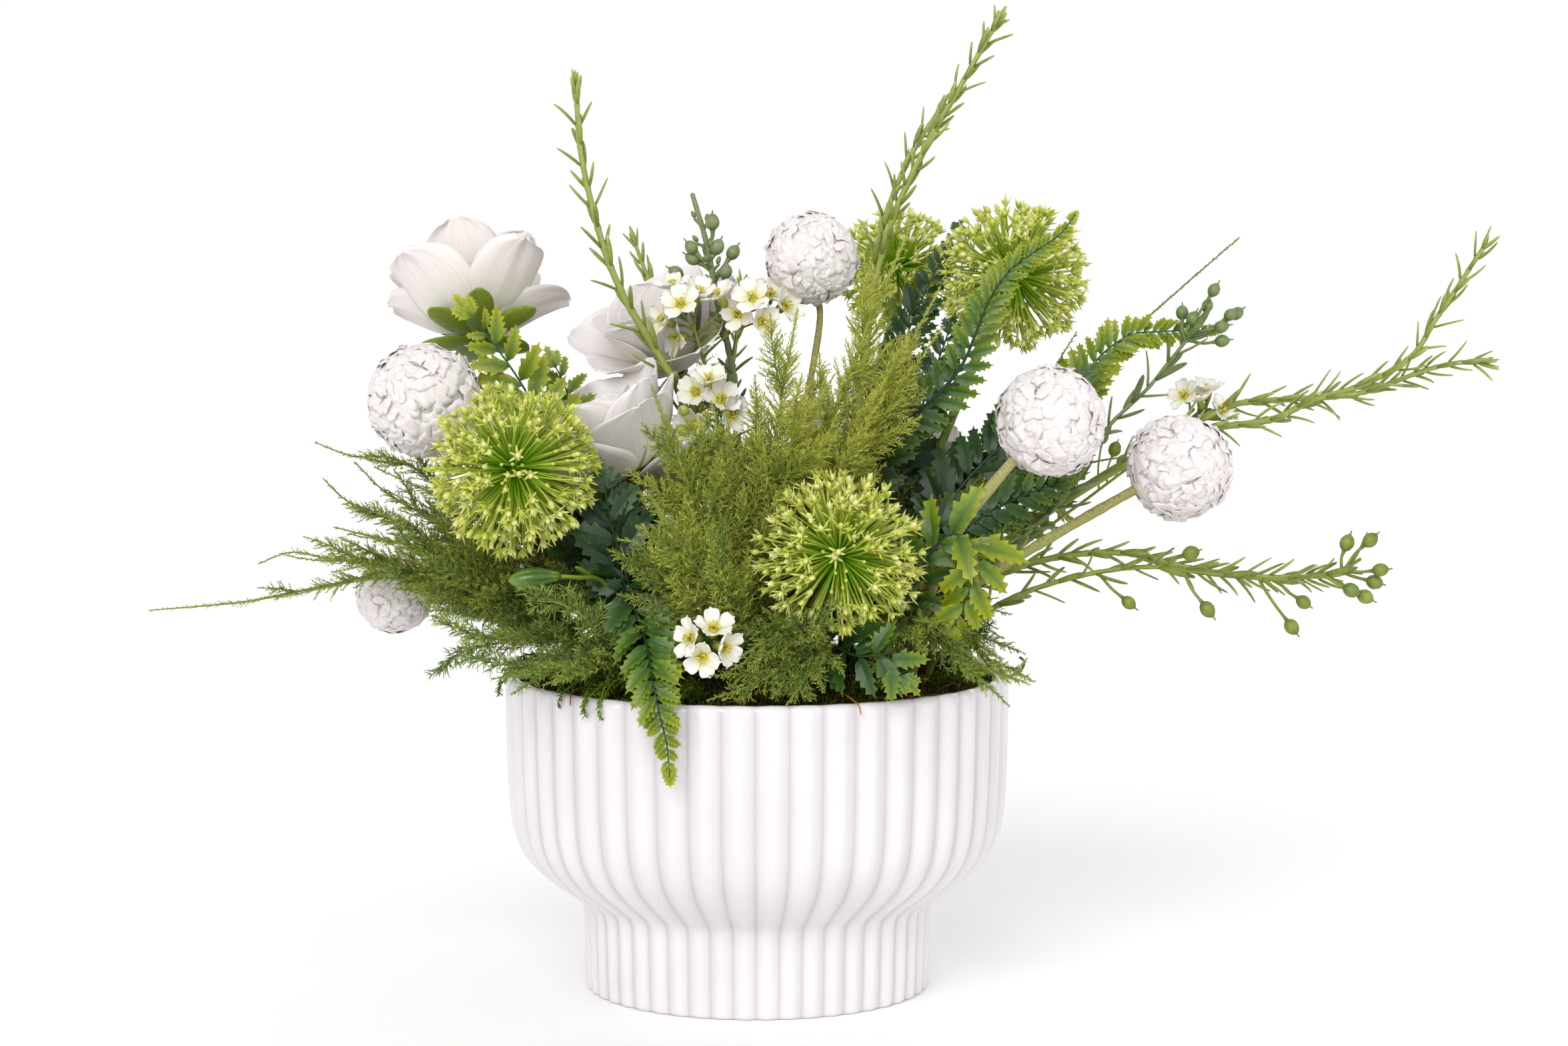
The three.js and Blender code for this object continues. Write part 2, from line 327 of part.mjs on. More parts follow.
// ---- the pot ---------------------------------------------------------------
function pot() {
  const outline = [
    [0, 0],
    [82.2, 0],
    [FOOT_RADIUS + 0.6, FOOT_HEIGHT - 1],
    [95.5, 50.4],
    [107.6, 60.4],
    [114.4, 70.3],
    [118.1, 85],
    [RIM_RADIUS, 138],
    [119.2, 148],
    [116.6, POT_HEIGHT],
    [INNER_RADIUS, 146],
    [104, 64],
    [77, 46],
    [76, 10],
    [0, FLOOR_TOP],
  ].map((p) => new THREE.Vector2(p[0], p[1]));
  const g = bare(new THREE.LatheGeometry(outline, RIBS * 2));
  g.rotateX(Math.PI / 2);
  const pos = g.attributes.position;
  const step = Math.PI / RIBS;
  for (let i = 0; i < pos.count; i++) {
    const x = pos.getX(i),
      y = pos.getY(i),
      z = pos.getZ(i);
    const r = Math.hypot(x, y);
    const groove = Math.abs(Math.round(Math.atan2(y, x) / step)) % 2;
    const outside =
      (z < 0.1 && r > 80) ||
      (z > 0.1 && z < 45 && r > 80) ||
      (z > 45 && z < 62 && r > 94) ||
      (z > 62 && z < 149 && r > 114.25);
    if (!groove || !outside) continue;
    const depth = z < 45 ? FOOT_GROOVE : z > 147 ? 1.1 : BOWL_GROOVE;
    pos.setXY(i, (x * (r - depth)) / r, (y * (r - depth)) / r);
  }
  return outward(solid(g), g);
}

function turned(outline, segments) {
  const g = bare(
    new THREE.LatheGeometry(
      outline.map((p) => new THREE.Vector2(p[0], p[1])),
      segments,
    ),
  );
  g.rotateX(Math.PI / 2);
  return outward(solid(g), g);
}

// ---- the plants --------------------------------------------------------------
// Every plant gives a core (stems and heads, never cut by a neighbour's blades) and blades
// (fronds, leaves, berries), each also in a version grown by GAP that clears its neighbours.
function facingOf(plant, path) {
  const tip = V(path[path.length - 1]);
  if (plant.kind === "fern" && tip.y < 70) return new THREE.Vector3(0, -1, 0.35);
  const out = new THREE.Vector3(tip.x, tip.y, 0).normalize();
  return out.multiplyScalar(0.8).add(new THREE.Vector3(0, 0, 0.6));
}

// The straight foot of a plant, from inside the foam up to its neck above the moss.
function trunkOf(plant, grow) {
  const a = V(plant.paths[0][0]),
    b = V(plant.paths[0][1]);
  const r = (plant.paths.length > 1 ? plant.r + 0.4 : plant.r) + grow;
  return bar([a, b], new THREE.Vector3(1, 0, 0), () => r, () => r, 4, 0.6 + grow);
}

// A stem from the neck to its tip, or only as far as the first stations.
function stemOf(plant, path, grow, upTo = 1e9) {
  let line = stations(path.slice(1), plant.head ? 0.6 : 0.85);
  const r = plant.r;
  // a second branch starts where it leaves the first
  if (path !== plant.paths[0] && plant.kind === "rosemary") {
    const fork = V(path[path.length > 4 ? 3 : 2]);
    const shared = V(plant.paths[0][path.length > 4 ? 3 : 2]);
    if (fork.distanceTo(shared) < 3) {
      const at = line.findIndex((p) => p.distanceTo(fork) < 2.5 || p.z > fork.z);
      if (at > 0) line = line.slice(Math.max(0, at - 1));
    }
  }
  const last = line.length - 1;
  const taper = plant.head ? () => r + grow : (u) => r * (1 - 0.5 * u) + grow;
  const cut = Math.min(last, upTo);
  return bar(line.slice(0, cut + 1), facingOf(plant, path), taper, taper, plant.head ? 4 : 3, grow);
}

// The station where a frond's blade starts: above the moss, once the stem is clear of the pot.
function bladeStart(path) {
  const line = stations(path.slice(1), 0.85);
  const at = line.findIndex((p) => p.z > 172 || Math.hypot(p.x, p.y) > 96);
  return [line, Math.max(at, 0)];
}

function frondOf(plant, path, half, grow) {
  const [coarse, from] = bladeStart(path);
  if (coarse.length - from < 2) return null;
  // more stations where the coarse ones are far apart
  const longest = plant.kind === "fern" ? 18 : 60;
  const line = [coarse[from]];
  for (let i = from + 1; i < coarse.length; i++) {
    const a = coarse[i - 1],
      b = coarse[i];
    const parts = Math.ceil(a.distanceTo(b) / longest);
    for (let k = 1; k <= parts; k++) line.push(a.clone().lerp(b, k / parts));
  }
  if (line.length < 3) line.splice(1, 0, line[0].clone().lerp(line[1], 0.5));
  const shape = (u, k) => {
    const body = Math.pow(Math.sin(Math.PI * Math.min(1, 0.12 + 0.9 * u)), 0.6);
    const tooth = plant.kind === "fern" ? (k % 2 ? 0.62 : 1) : 1;
    return Math.max(0.9, half * (plant.kind === "fern" ? FERN_SHARE : PLUME_SHARE) * body * tooth) + grow;
  };
  const thin = (u) => (plant.kind === "fern" ? 1.3 : 2.6) * (1 - 0.5 * u) + grow;
  return bar(line, facingOf(plant, path), shape, thin, plant.kind === "fern" ? 4 : 3, grow);
}

// A leafy sprig as one notched bar: wide at each whorl of leaves, narrow between.
function sprigOf(plant, path, grow) {
  const curve = new THREE.CatmullRomCurve3(path.map(V));
  const length = curve.getLength();
  const first = Math.max(0.46, 1 - (LEAFY_LENGTH / length));
  const count = Math.max(4, Math.round(((1 - first) * length) / WHORL_STEP) * 2);
  const line = [];
  for (let i = 0; i <= count; i++) line.push(curve.getPointAt(first + ((1 - first) * i) / count));
  const wide = (u, k) => (k % 2 ? 5.2 * (1 - 0.5 * u) : 1.5) + grow;
  const thick = (u, k) => (k % 2 ? 4.2 * (1 - 0.5 * u) : 1.3) + grow;
  return bar(line, facingOf(plant, path), wide, thick, 4, grow);
}

function nearest(plant, q, below = 8) {
  let best = null,
    far = 1e9;
  for (const path of plant.paths) {
    const pts = new THREE.CatmullRomCurve3(path.map(V)).getPoints(60);
    pts.forEach((p, i) => {
      const d = p.distanceTo(q);
      if (d < far && p.z > 165) {
        far = d;
        best = pts[Math.max(0, i - Math.round(below / 4))];
      }
    });
  }
  return best;
}

function coreOf(plant, grow) {
  const out = {
    trunk: trunkOf(plant, grow),
    stem: join([trunkOf(plant, grow), ...plant.paths.map((p) => stemOf(plant, p, grow))]),
  };
  if (!plant.head) return out;
  const c = V(plant.head),
    a = V(plant.axis).normalize(),
    R = plant.R;
  if (plant.kind === "bloom") {
    // the green cup of sepals under the petals
    const g = bare(
      new THREE.CylinderGeometry(R * 0.4 + grow, 1.4 + grow, R * 0.34 + 2 * grow, 8, 1),
    );
    g.rotateX(Math.PI / 2);
    turnTo(g, a, c.clone().addScaledVector(a, -R * 0.8));
    out.stem = out.stem.add(outward(solid(g), g));
  }
  const q = new THREE.Quaternion().setFromUnitVectors(UP, a);
  const shapes = {
    pompom: (p, i) => p.multiplyScalar((1 + grow / R) * (0.95 + 0.05 * noise(i, 1))),
    allium: (p, i) => p.multiplyScalar((1 + grow / R) * (0.93 + 0.07 * noise(i, 2))),
    bloom: (p) => {
      // wide at the top, drawn in to the sepals, with five shallow lobes
      const phi = Math.atan2(p.y, p.x);
      const up = (p.z + 1) / 2;
      const round = (0.62 + 0.42 * up) * (1 + 0.06 * Math.cos(5 * phi));
      return new THREE.Vector3(p.x * round, p.y * round, p.z * 0.8)
        .multiplyScalar(1 + grow / R)
        .applyQuaternion(q);
    },
  };
  out.head = ball(R, plant.R < 28 ? 1 : 2, c, shapes[plant.kind]);
  return out;
}

function bladesOf(plant, grow) {
  const list = [];
  plant.paths.forEach((path, i) => {
    if (plant.hw) {
      const b = frondOf(plant, path, plant.hw[i], grow);
      if (b) list.push(b);
    }
    if (plant.kind === "rosemary") list.push(sprigOf(plant, path, grow));
    if (plant.kind === "bud") {
      const tip = V(path[path.length - 1]);
      const before = V(path[path.length - 2]);
      const d = tip.clone().sub(before).normalize();
      list.push(
        ball(1, 1, tip.clone().addScaledVector(d, -1), (p) => {
          const q = new THREE.Quaternion().setFromUnitVectors(UP, d);
          return new THREE.Vector3(
            p.x * (5.1 + grow),
            p.y * (5.1 + grow),
            p.z * (11.5 + grow),
          ).applyQuaternion(q);
        }),
      );
    }
  });
  (plant.berries || []).forEach((b) => {
    const c = V(b),
      from = nearest(plant, c);
    const d = c.clone().sub(from).normalize();
    const at = (s) => c.clone().addScaledVector(d, s * plant.br);
    const sizes = [0.6, 0.6, plant.br, plant.br * 0.95, 0.5];
    list.push(
      bar([from, at(-1), at(-0.35), at(0.35), at(1)], new THREE.Vector3(0.2, -0.9, 0.4),
        (u, k) => sizes[k] + grow, (u, k) => sizes[k] + grow, 4, grow),
    );
  });
  (plant.flowers || []).forEach((b, i) => {
    const c = V(b),
      from = nearest(plant, c);
    const d = c.clone().sub(from).normalize();
    const at = (s) => c.clone().addScaledVector(d, s);
    const sizes = [0.6, 0.9, 8.2, 8.2];
    list.push(
      bar([from, at(-3.5), at(-0.6), at(1.6)], new THREE.Vector3(0.2, -0.9, 0.4),
        (u, k) => sizes[k] + grow, (u, k) => sizes[k] + grow, 5, grow),
    );
  });
  return list.length ? join(list) : null;
}

// ---- assembly -----------------------------------------------------------------
const group = new THREE.Group();

function mesh(name, body, look) {
  const parts = body.decompose();
  const largest = parts.reduce((a, b) => (a.volume() > b.volume() ? a : b));
  const [colour, roughness] = COLOURS[look];
  const m = new THREE.Mesh(
    geometryOf(largest),
    new THREE.MeshStandardMaterial({ color: colour, roughness, metalness: 0 }),
  );
  m.name = name;
  group.add(m);
  return m;
}

const near = (a, b) => {
  const p = a.boundingBox(),
    q = b.boundingBox();
  return [0, 1, 2].every((i) => p.min[i] < q.max[i] && q.min[i] < p.max[i]);
};

const potBody = pot();
const plants = PLANTS.map((plant) => {
  const core = coreOf(plant, 0);
  const wide = coreOf(plant, GAP);
  return {
    plant,
    core,
    wideCore: wide.head ? wide.stem.add(wide.head) : wide.stem,
    wideStem: wide.stem,
    wideTrunk: wide.trunk,
    blades: bladesOf(plant, 0),
    wideBlades: bladesOf(plant, GAP),
  };
});

let foam = turned(
  [[0, 9.9], [74.6, 11], [75.2, 44.8], [101, 63], [104.5, 74], [111.4, FOAM_TOP], [0, FOAM_TOP]],
  28,
);
let moss = turned(
  [[0, MOSS_BOTTOM], [111.6, MOSS_BOTTOM], [112.1, MOSS_EDGE - 2], [0, MOSS_CROWN]],
  24,
);
for (const p of plants) {
  foam = foam.subtract(p.wideTrunk);
  moss = moss.subtract(p.wideTrunk);
}
for (const p of plants)
  if (moss.intersect(p.core.stem).volume() > 0.001) moss = moss.subtract(p.wideStem);
const potWide = turned(
  [[112.6, 100], [121.2, 100], [121.2, 149], [117.2, 151.8], [113, 149], [112.6, 140], [112.6, 100]],
  48,
);

mesh("pot", potBody, "glaze");
mesh("floral_foam", foam, "foam");
mesh("moss_bed", moss, "moss");

plants.forEach((p, i) => {
  const { plant } = p;
  let body = p.core.stem;
  if (p.blades) {
    let blades = p.blades;
    if (near(blades, potWide)) blades = blades.subtract(potWide);
    plants.forEach((o, j) => {
      if (j === i) return;
      if (near(blades, o.wideCore)) blades = blades.subtract(o.wideCore);
      if (j < i && o.wideBlades && near(blades, o.wideBlades))
        blades = blades.subtract(o.wideBlades);
    });
    // nothing of a blade dips into the moss
    blades = blades.subtract(
      turned([[0, 120], [112.6, 120], [112.6, 147.4], [0, 158.2]], 24),
    );
    // a plain frond carries its own midrib, so only the stalk below it is joined on
    const short = join([
      p.core.trunk,
      ...plant.paths.map((path) => stemOf(plant, path, 0, plant.hw ? bladeStart(path)[1] + 1 : 1e9)),
    ]).add(blades);
    const whole = short.decompose().filter((b) => b.volume() > 8).length === 1;
    body = whole ? short : body.add(blades);
  }
  const named = plant.head ? plant.name.replace("_", "_stem_") : plant.name;
  const look =
    plant.head ? plant.kind + "_stem" : plant.kind;
  mesh(named, body, look);
  if (plant.head) {
    const head = p.core.head.subtract(p.wideStem);
    mesh(plant.name.replace("_", "_head_"), head, plant.kind);
  }
});

export default group;
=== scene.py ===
import math
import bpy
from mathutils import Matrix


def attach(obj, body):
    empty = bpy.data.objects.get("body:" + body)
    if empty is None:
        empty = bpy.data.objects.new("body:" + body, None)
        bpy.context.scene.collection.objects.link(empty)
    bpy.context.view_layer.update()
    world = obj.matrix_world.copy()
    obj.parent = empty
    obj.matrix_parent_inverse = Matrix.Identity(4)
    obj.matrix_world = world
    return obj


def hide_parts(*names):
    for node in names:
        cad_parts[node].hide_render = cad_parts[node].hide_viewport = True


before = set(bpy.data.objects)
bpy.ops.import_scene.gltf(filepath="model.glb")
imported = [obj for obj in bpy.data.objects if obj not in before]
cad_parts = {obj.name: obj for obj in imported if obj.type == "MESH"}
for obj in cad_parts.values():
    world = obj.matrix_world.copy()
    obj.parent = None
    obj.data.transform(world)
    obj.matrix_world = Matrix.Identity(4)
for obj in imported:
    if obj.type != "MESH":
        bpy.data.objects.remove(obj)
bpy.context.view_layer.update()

import zlib

import bpy
import numpy as np

MM = 0.001

# Every stem, frond and head, in millimetres, as the CAD part has them.
PLANTS = [
    {"name": "pompom_1", "kind": "pompom", "r": 1.6, "R": 26.5, "head": (-155.8, -22, 281.9), "axis": (-0.352, -0.755, 0.553),
     "paths": [[(-55.6, -13.7, 114), (-56.7, -14.1, 157.9), (-90, -7.6, 210.7), (-144.2, 3, 263.6), (-148.4, -6, 270.2)]]},
    {"name": "pompom_2", "kind": "pompom", "r": 1.6, "R": 22, "head": (26, 18, 347.3), "axis": (-0.148, -0.098, 0.984),
     "paths": [[(7.9, 13.7, 114), (8.1, 14, 160.8), (16.5, 16.6, 240.5), (30.1, 20.7, 320.2), (28.6, 19.7, 329.9)]]},
    {"name": "pompom_3", "kind": "pompom", "r": 2.6, "R": 25, "head": (134.9, -60, 274.6), "axis": (0.684, 0.076, 0.726),
     "paths": [[(71.4, -41.2, 114), (72.3, -43, 154.6), (78.3, -52.3, 188.2), (91.9, -62, 222.9), (116.9, -62, 255.4), (121.2, -61.5, 260.1)]]},
    {"name": "pompom_4", "kind": "pompom", "r": 2.4, "R": 24.5, "head": (198.8, -20, 250.4), "axis": (0.887, 0.162, 0.432),
     "paths": [[(63.5, -27.5, 114), (64.8, -28.1, 156.5), (81, -29.7, 178.1), (103.1, -38.6, 197.8), (176.9, -24, 239.7), (181.5, -23.2, 241.9)]]},
    {"name": "pompom_5", "kind": "pompom", "r": 1.8, "R": 18, "head": (-174.6, 10, 186.2), "axis": (-0.994, 0, -0.111),
     "paths": [[(-79.4, 0, 114), (-81, 0, 155), (-98.2, 1, 170.3), (-123.8, 10.1, 189.1), (-160.2, 10, 187.8), (-160.3, 10, 187.8)]]},
    {"name": "allium_1", "kind": "allium", "r": 2.2, "R": 38.5, "head": (-109.9, -78, 254.2), "axis": (-0.318, -0.848, 0.424),
     "paths": [[(-47.6, -27.5, 114), (-48.6, -28.1, 158.1), (-66.1, -31.5, 196), (-94.6, -37.2, 233.8), (-105.7, -66.6, 248.5)]]},
    {"name": "allium_2", "kind": "allium", "r": 2.2, "R": 38, "head": (37.7, -84, 215.2), "axis": (0.208, -0.885, 0.416),
     "paths": [[(15.9, -27.5, 114), (16.2, -28.1, 160), (27.8, -42, 195.5), (35, -72.2, 209.7)]]},
    {"name": "allium_3", "kind": "allium", "r": 2.2, "R": 36, "head": (124.2, 42, 339.1), "axis": (0.404, -0.101, 0.909),
     "paths": [[(55.6, 13.7, 114), (57.5, 13.9, 157.9), (77.9, 23.7, 228.2), (106.4, 45.3, 298.4), (119.1, 43.3, 327.6)]]},
    {"name": "allium_4", "kind": "allium", "r": 2.2, "R": 30, "head": (69.3, 96, 341.9), "axis": (0.101, 0.504, 0.858),
     "paths": [[(23.8, 41.2, 114), (24.3, 42.1, 158.9), (39, 55.4, 234.8), (65, 77.1, 310), (68.2, 90.7, 332.9)]]},
    {"name": "allium_5", "kind": "allium", "r": 2.2, "R": 35, "head": (52, 128, 218), "axis": (0.342, 0.831, 0.44),
     "paths": [[(15.9, 55, 114), (16.2, 56.1, 157.9), (24.1, 69.6, 178.3), (37, 91.7, 198.8), (47.8, 117.8, 212.6)]]},
    {"name": "bloom_1", "kind": "bloom", "r": 2, "R": 34, "head": (-139.7, 16, 331.4), "axis": (-0.215, -0.049, 0.975),
     "paths": [[(-71.4, 13.7, 114), (-72.9, 14, 156), (-96.2, 14.8, 230.6), (-134.2, 16, 305.3), (-133.5, 17.4, 303.2)]]},
    {"name": "bloom_2", "kind": "bloom", "r": 2, "R": 30.5, "head": (-64.4, -20, 269.2), "axis": (-0.098, -0.541, 0.836),
     "paths": [[(-23.8, -13.7, 114), (-24.3, -14, 160.3), (-38.1, -8.5, 198.8), (-60.6, 0.6, 237.4), (-61.8, -6, 247.6)]]},
    {"name": "bloom_3", "kind": "bloom", "r": 2, "R": 26, "head": (-43.1, 44, 306.7), "axis": (-0.197, -0.295, 0.935),
     "paths": [[(-23.8, 13.7, 114), (-24.3, 14, 160.3), (-29, 29.1, 218.3), (-36.8, 53.6, 276.3), (-38.8, 50.5, 286)]]},
    {"name": "bloom_4", "kind": "bloom", "r": 2, "R": 29, "head": (77.4, 62, 247.5), "axis": (0.309, -0.206, 0.928),
     "paths": [[(23.8, 13.7, 114), (24.3, 14, 160.3), (40.5, 34.3, 187.6), (66.1, 68.8, 214.5), (69.8, 67.1, 224.6)]]},
    {"name": "bloom_5", "kind": "bloom", "r": 2, "R": 31, "head": (-48, 122, 238), "axis": (-0.342, 0.734, 0.587),
     "paths": [[(-15.9, 55, 114), (-16.2, 56.1, 157.9), (-23.2, 70.3, 186.6), (-34.7, 93.6, 215.3), (-39, 102.7, 222.5)]]},
    {"name": "rosemary_1", "kind": "rosemary", "r": 1.5,
     "paths": [[(-31.8, 0, 114), (-32.4, 0, 160), (-32.7, -3, 204.8), (-33, -7.9, 249.5), (-35, -5.9, 280.4), (-44.8, -4, 299.5), (-61.6, 0, 327.1), (-70.8, 2, 347.6), (-78.3, 4, 373.4), (-83.7, 6, 399.5), (-85.5, 8, 425.2)]]},
    {"name": "rosemary_2", "kind": "rosemary", "r": 1.5,
     "paths": [[(39.7, 13.7, 114), (40.5, 14, 159.3), (45.8, 18.6, 240.1), (54.3, 26, 320.9), (63.5, 26, 362.1), (80.4, 28, 399.7), (97.4, 30, 429.6), (113.9, 32, 458.6)],
               [(39.7, 13.7, 114), (40.5, 14, 159.3), (45.8, 18.6, 240.1), (54.3, 26, 320.9), (59.2, 32, 359.2), (74.1, 38, 397), (86.7, 42, 416.9)]]},
    {"name": "rosemary_3", "kind": "rosemary", "r": 1.5,
     "paths": [[(63.5, 0, 114), (64.8, 0, 157.2), (114, 9.1, 207.8), (194.3, 24, 258.3), (219.7, 22, 265.9), (247.9, 20, 270.5), (265.8, 18, 279.3), (286.5, 16, 285.8), (302.9, 14, 293.9), (314.3, 12, 302.9), (322.6, 10, 317.3), (332.4, 8, 332.9), (344.7, 6, 352.9)],
               [(63.5, 0, 114), (64.8, 0, 157.2), (114, 9.2, 207.8), (194.3, 24, 258.3), (228.2, 30, 276.3), (254.9, 32, 279.1), (278.4, 32, 280.4), (294.4, 33, 282.9), (307.7, 34, 287.4), (322.3, 35, 292.9), (338.3, 36, 296.7), (349.7, 37, 297)]]},
    {"name": "rosemary_4", "kind": "rosemary", "r": 1.5,
     "paths": [[(71.4, -13.7, 114), (72.9, -14, 156), (84, -13.3, 174.1), (102, -12, 192.1), (135, -14, 205.7), (172, -16, 209.4), (205.2, -18, 202.3), (234.6, -20, 198.7), (267.6, -22, 198.9)]]},
    {"name": "rosemary_5", "kind": "rosemary", "r": 1.5,
     "paths": [[(-7.9, 41.2, 114), (-8.1, 42.1, 159.3), (-12.6, 48.9, 197.2), (-20, 60, 235), (-42, 92, 300), (-62, 116, 352)],
               [(-7.9, 41.2, 114), (-8.1, 42.1, 159.3), (-12.6, 48.9, 197.2), (-20, 60, 235), (-12, 98, 300), (-8, 118, 330)]]},
    {"name": "berry_sprig_1", "kind": "berry", "r": 1.2,
     "paths": [[(0, 27.5, 114), (0, 28.1, 160.3), (-3.8, 28.8, 211.5), (-9.9, 30, 262.8), (-11.8, 28, 290.9), (-14.6, 26, 306.8), (-20.3, 24, 331.2), (-23.5, 24, 351), (-31.1, 24, 378.1)]],
     "berries": [(-20.5, 17.5, 363.2), (-19.9, 21.1, 351.4), (-12, 24.7, 349.1), (-31, 18.4, 351.4), (-29.9, 22, 346.9), (-38.3, 25.6, 339.8), (-14.5, 19.3, 339.6)], "br": 2.9},
    {"name": "berry_sprig_2", "kind": "berry", "r": 1.2,
     "paths": [[(79.4, 0, 114), (81, 0, 155), (106.6, 3.8, 195.2), (148.3, 10, 235.3), (167.6, 14, 266.4), (187.4, 16, 285.8), (199, 18, 300.1), (213.4, 20, 317.6)]],
     "berries": [(217.5, 15.5, 331.7), (215.8, 19.1, 323.7), (203.5, 22.7, 320.7), (206.6, 16.4, 318), (226.2, 20, 319.5), (229.5, 23.6, 320), (221.1, 17.3, 314.8), (222, 20.9, 307.3)], "br": 2.6},
    {"name": "berry_sprig_3", "kind": "berry", "r": 1.3,
     "paths": [[(79.4, -27.5, 114), (81, -28.1, 154.3), (93.5, -30.3, 170.8), (114, -34, 187.3), (145.1, -34, 198.9), (182.5, -34, 204.6), (216.6, -36, 201), (250.6, -38, 199.4), (275, -40, 205.2), (281.2, -40, 209)]],
     "berries": [(200.5, -42.5, 212), (209.2, -38.9, 186), (274.4, -35.3, 215), (284.2, -41.6, 217.5), (289.7, -38, 203.1), (287.6, -34.4, 197.7), (275.7, -40.7, 194.7), (282.9, -37.1, 191.4), (254.8, -33.5, 188.2), (248.7, -39.8, 178), (172.8, -36.2, 188.5)], "br": 2.9},
    {"name": "waxflower_sprig_1", "kind": "wax", "r": 1,
     "paths": [[(-7.9, 13.7, 114), (-8.1, 14, 160.8), (-6.9, 16.3, 194.4), (-5, 20, 228), (-16.1, 14, 260.6), (-24, 10, 292.8), (-31.8, 8, 321.5)]],
     "berries": [(-33.6, -34.5, 277.3), (-23.7, -30.9, 274.3), (-34.4, -27.3, 267.8), (-17.8, -33.6, 267.9), (-29.1, -30, 257.1)], "br": 2.4,
     "flowers": [(-43.4, 4, 318.1), (-39.8, 12, 333.4), (-27.9, 6, 330.7), (-8.6, 2, 321.4), (6, 8, 329.7), (-28.3, -22, 285.6), (-16.7, -26, 282.1), (-29.1, -28, 270.7), (24.9, -18, 276.3)]},
    {"name": "waxflower_sprig_2", "kind": "wax", "r": 1,
     "paths": [[(0, -55, 114), (0.6, -56.4, 158.1), (-6.5, -80.3, 162.4), (-15.9, -96, 173.2), (-21.8, -103, 179.3)]],
     "flowers": [(-18, -110, 186.1), (-24, -112, 170.8), (-30.3, -110, 181), (-12.7, -111, 176)]},
    {"name": "waxflower_sprig_3", "kind": "wax", "r": 1,
     "paths": [[(79.4, 27.5, 114), (81, 28.1, 154.3), (112.1, 28.8, 194), (162.8, 30, 233.6), (188.9, 34, 252.8), (214.8, 36, 273.7)]],
     "berries": [(165.7, 21.5, 260.8), (171.6, 25.1, 254.7), (175.8, 28.7, 248.6)], "br": 2.6,
     "flowers": [(213.7, 30, 278.6), (222.9, 28, 273.6)]},
    {"name": "leather_fern_1", "kind": "fern", "r": 1.1,
     "paths": [[(-63.5, 0, 114), (-64.8, 0, 157.2), (-74.6, -7.5, 199.1), (-90.9, -20, 241), (-100, -22, 269.4), (-110.1, -22, 289.4), (-123, -24, 308.5), (-135.1, -26, 323.9)],
               [(-63.5, 0, 114), (-64.8, 0, 157.2), (-73.2, -2.3, 200.1), (-88.5, -4.8, 242.3), (-89.6, 2.7, 267.4), (-90.9, 4.4, 285.2), (-97.5, 6, 299.4)]], "hw": [15, 10]},
    {"name": "leather_fern_2", "kind": "fern", "r": 1.1,
     "paths": [[(-39.7, -41.2, 114), (-40.5, -42.1, 157.9), (-48.1, -52.7, 180), (-60.6, -70, 202.2), (-51.5, -92, 183.3), (-47.3, -109, 170.4), (-44.9, -120.5, 159.3), (-42.1, -124.5, 146.8), (-39.2, -125, 134.6), (-38, -125.5, 120.3)],
               [(-39.7, -41.2, 114), (-40.5, -42.1, 157.9), (-53, -70, 183.8), (-60.4, -72, 208.5), (-66.5, -70, 229.8), (-69.7, -66, 249.3)]], "hw": [14, 15]},
    {"name": "leather_fern_3", "kind": "fern", "r": 1.3,
     "paths": [[(31.8, 0, 114), (32.4, 0, 160), (38.8, 0.8, 191.6), (49.2, 2, 223.2), (57, 0, 248.9), (67.4, -2, 268.1), (85, -4, 282.8), (97.2, -4, 297.9), (104.7, -4, 315.6), (110.9, -4, 330.1), (120.6, -4, 343), (131.9, -4, 351.4), (143.5, -4, 359.6), (150, -4, 368.4)]], "hw": [12]},
    {"name": "leather_fern_4", "kind": "fern", "r": 1.1,
     "paths": [[(71.4, 13.7, 114), (72.9, 14, 156), (98.2, 16.3, 198.5), (139.4, 20, 240.9), (149.8, 24, 276), (163.3, 26, 298.4), (179.1, 28, 310.2), (195, 30, 312.1), (221.6, 32, 312.6)]], "hw": [13]},
    {"name": "leather_fern_5", "kind": "fern", "r": 1.1,
     "paths": [[(31.8, -55, 114), (32.3, -56, 157.2), (47.1, -59.8, 175.5), (71.7, -66.4, 192.9), (79.5, -74, 214.9), (90.6, -78, 224.4), (99.6, -80, 215.5), (96.6, -82, 197.4), (88.4, -82, 179.7)],
               [(31.8, -55, 114), (32.3, -56, 157.2), (31.6, -84.5, 174.7), (45.7, -100.1, 171.2), (57.5, -106, 171.5), (68.1, -111, 161)]], "hw": [10, 12]},
    {"name": "leather_fern_6", "kind": "fern", "r": 1.3,
     "paths": [[(47.6, 0, 114), (48.5, 0, 158.9), (60.1, 20.3, 196.2), (67.4, 26, 234), (76.3, 34, 265.7), (85.5, 40, 291.3), (93.7, 44, 313.8)],
               [(47.6, 0, 114), (48.5, 0, 158.9), (59.8, 2.3, 179.6), (78.1, 6, 200.4), (94, 8, 233.9), (116.3, 10, 257.7), (141.8, 12, 276.8), (157.8, 14, 292.6)],
               [(47.6, 0, 114), (48.5, 0, 158.9), (60.8, -2.3, 178.7), (80.8, -6, 198.5), (99.8, -4, 220.6), (125.3, 0, 234.6), (147.6, 2, 242.4)]], "hw": [15, 17, 13]},
    {"name": "leather_fern_7", "kind": "fern", "r": 1.3,
     "paths": [[(-47.6, 27.5, 114), (-48.6, 28.1, 158.1), (-60, 30, 190), (-88, 66, 238), (-108, 104, 262), (-124, 140, 258)],
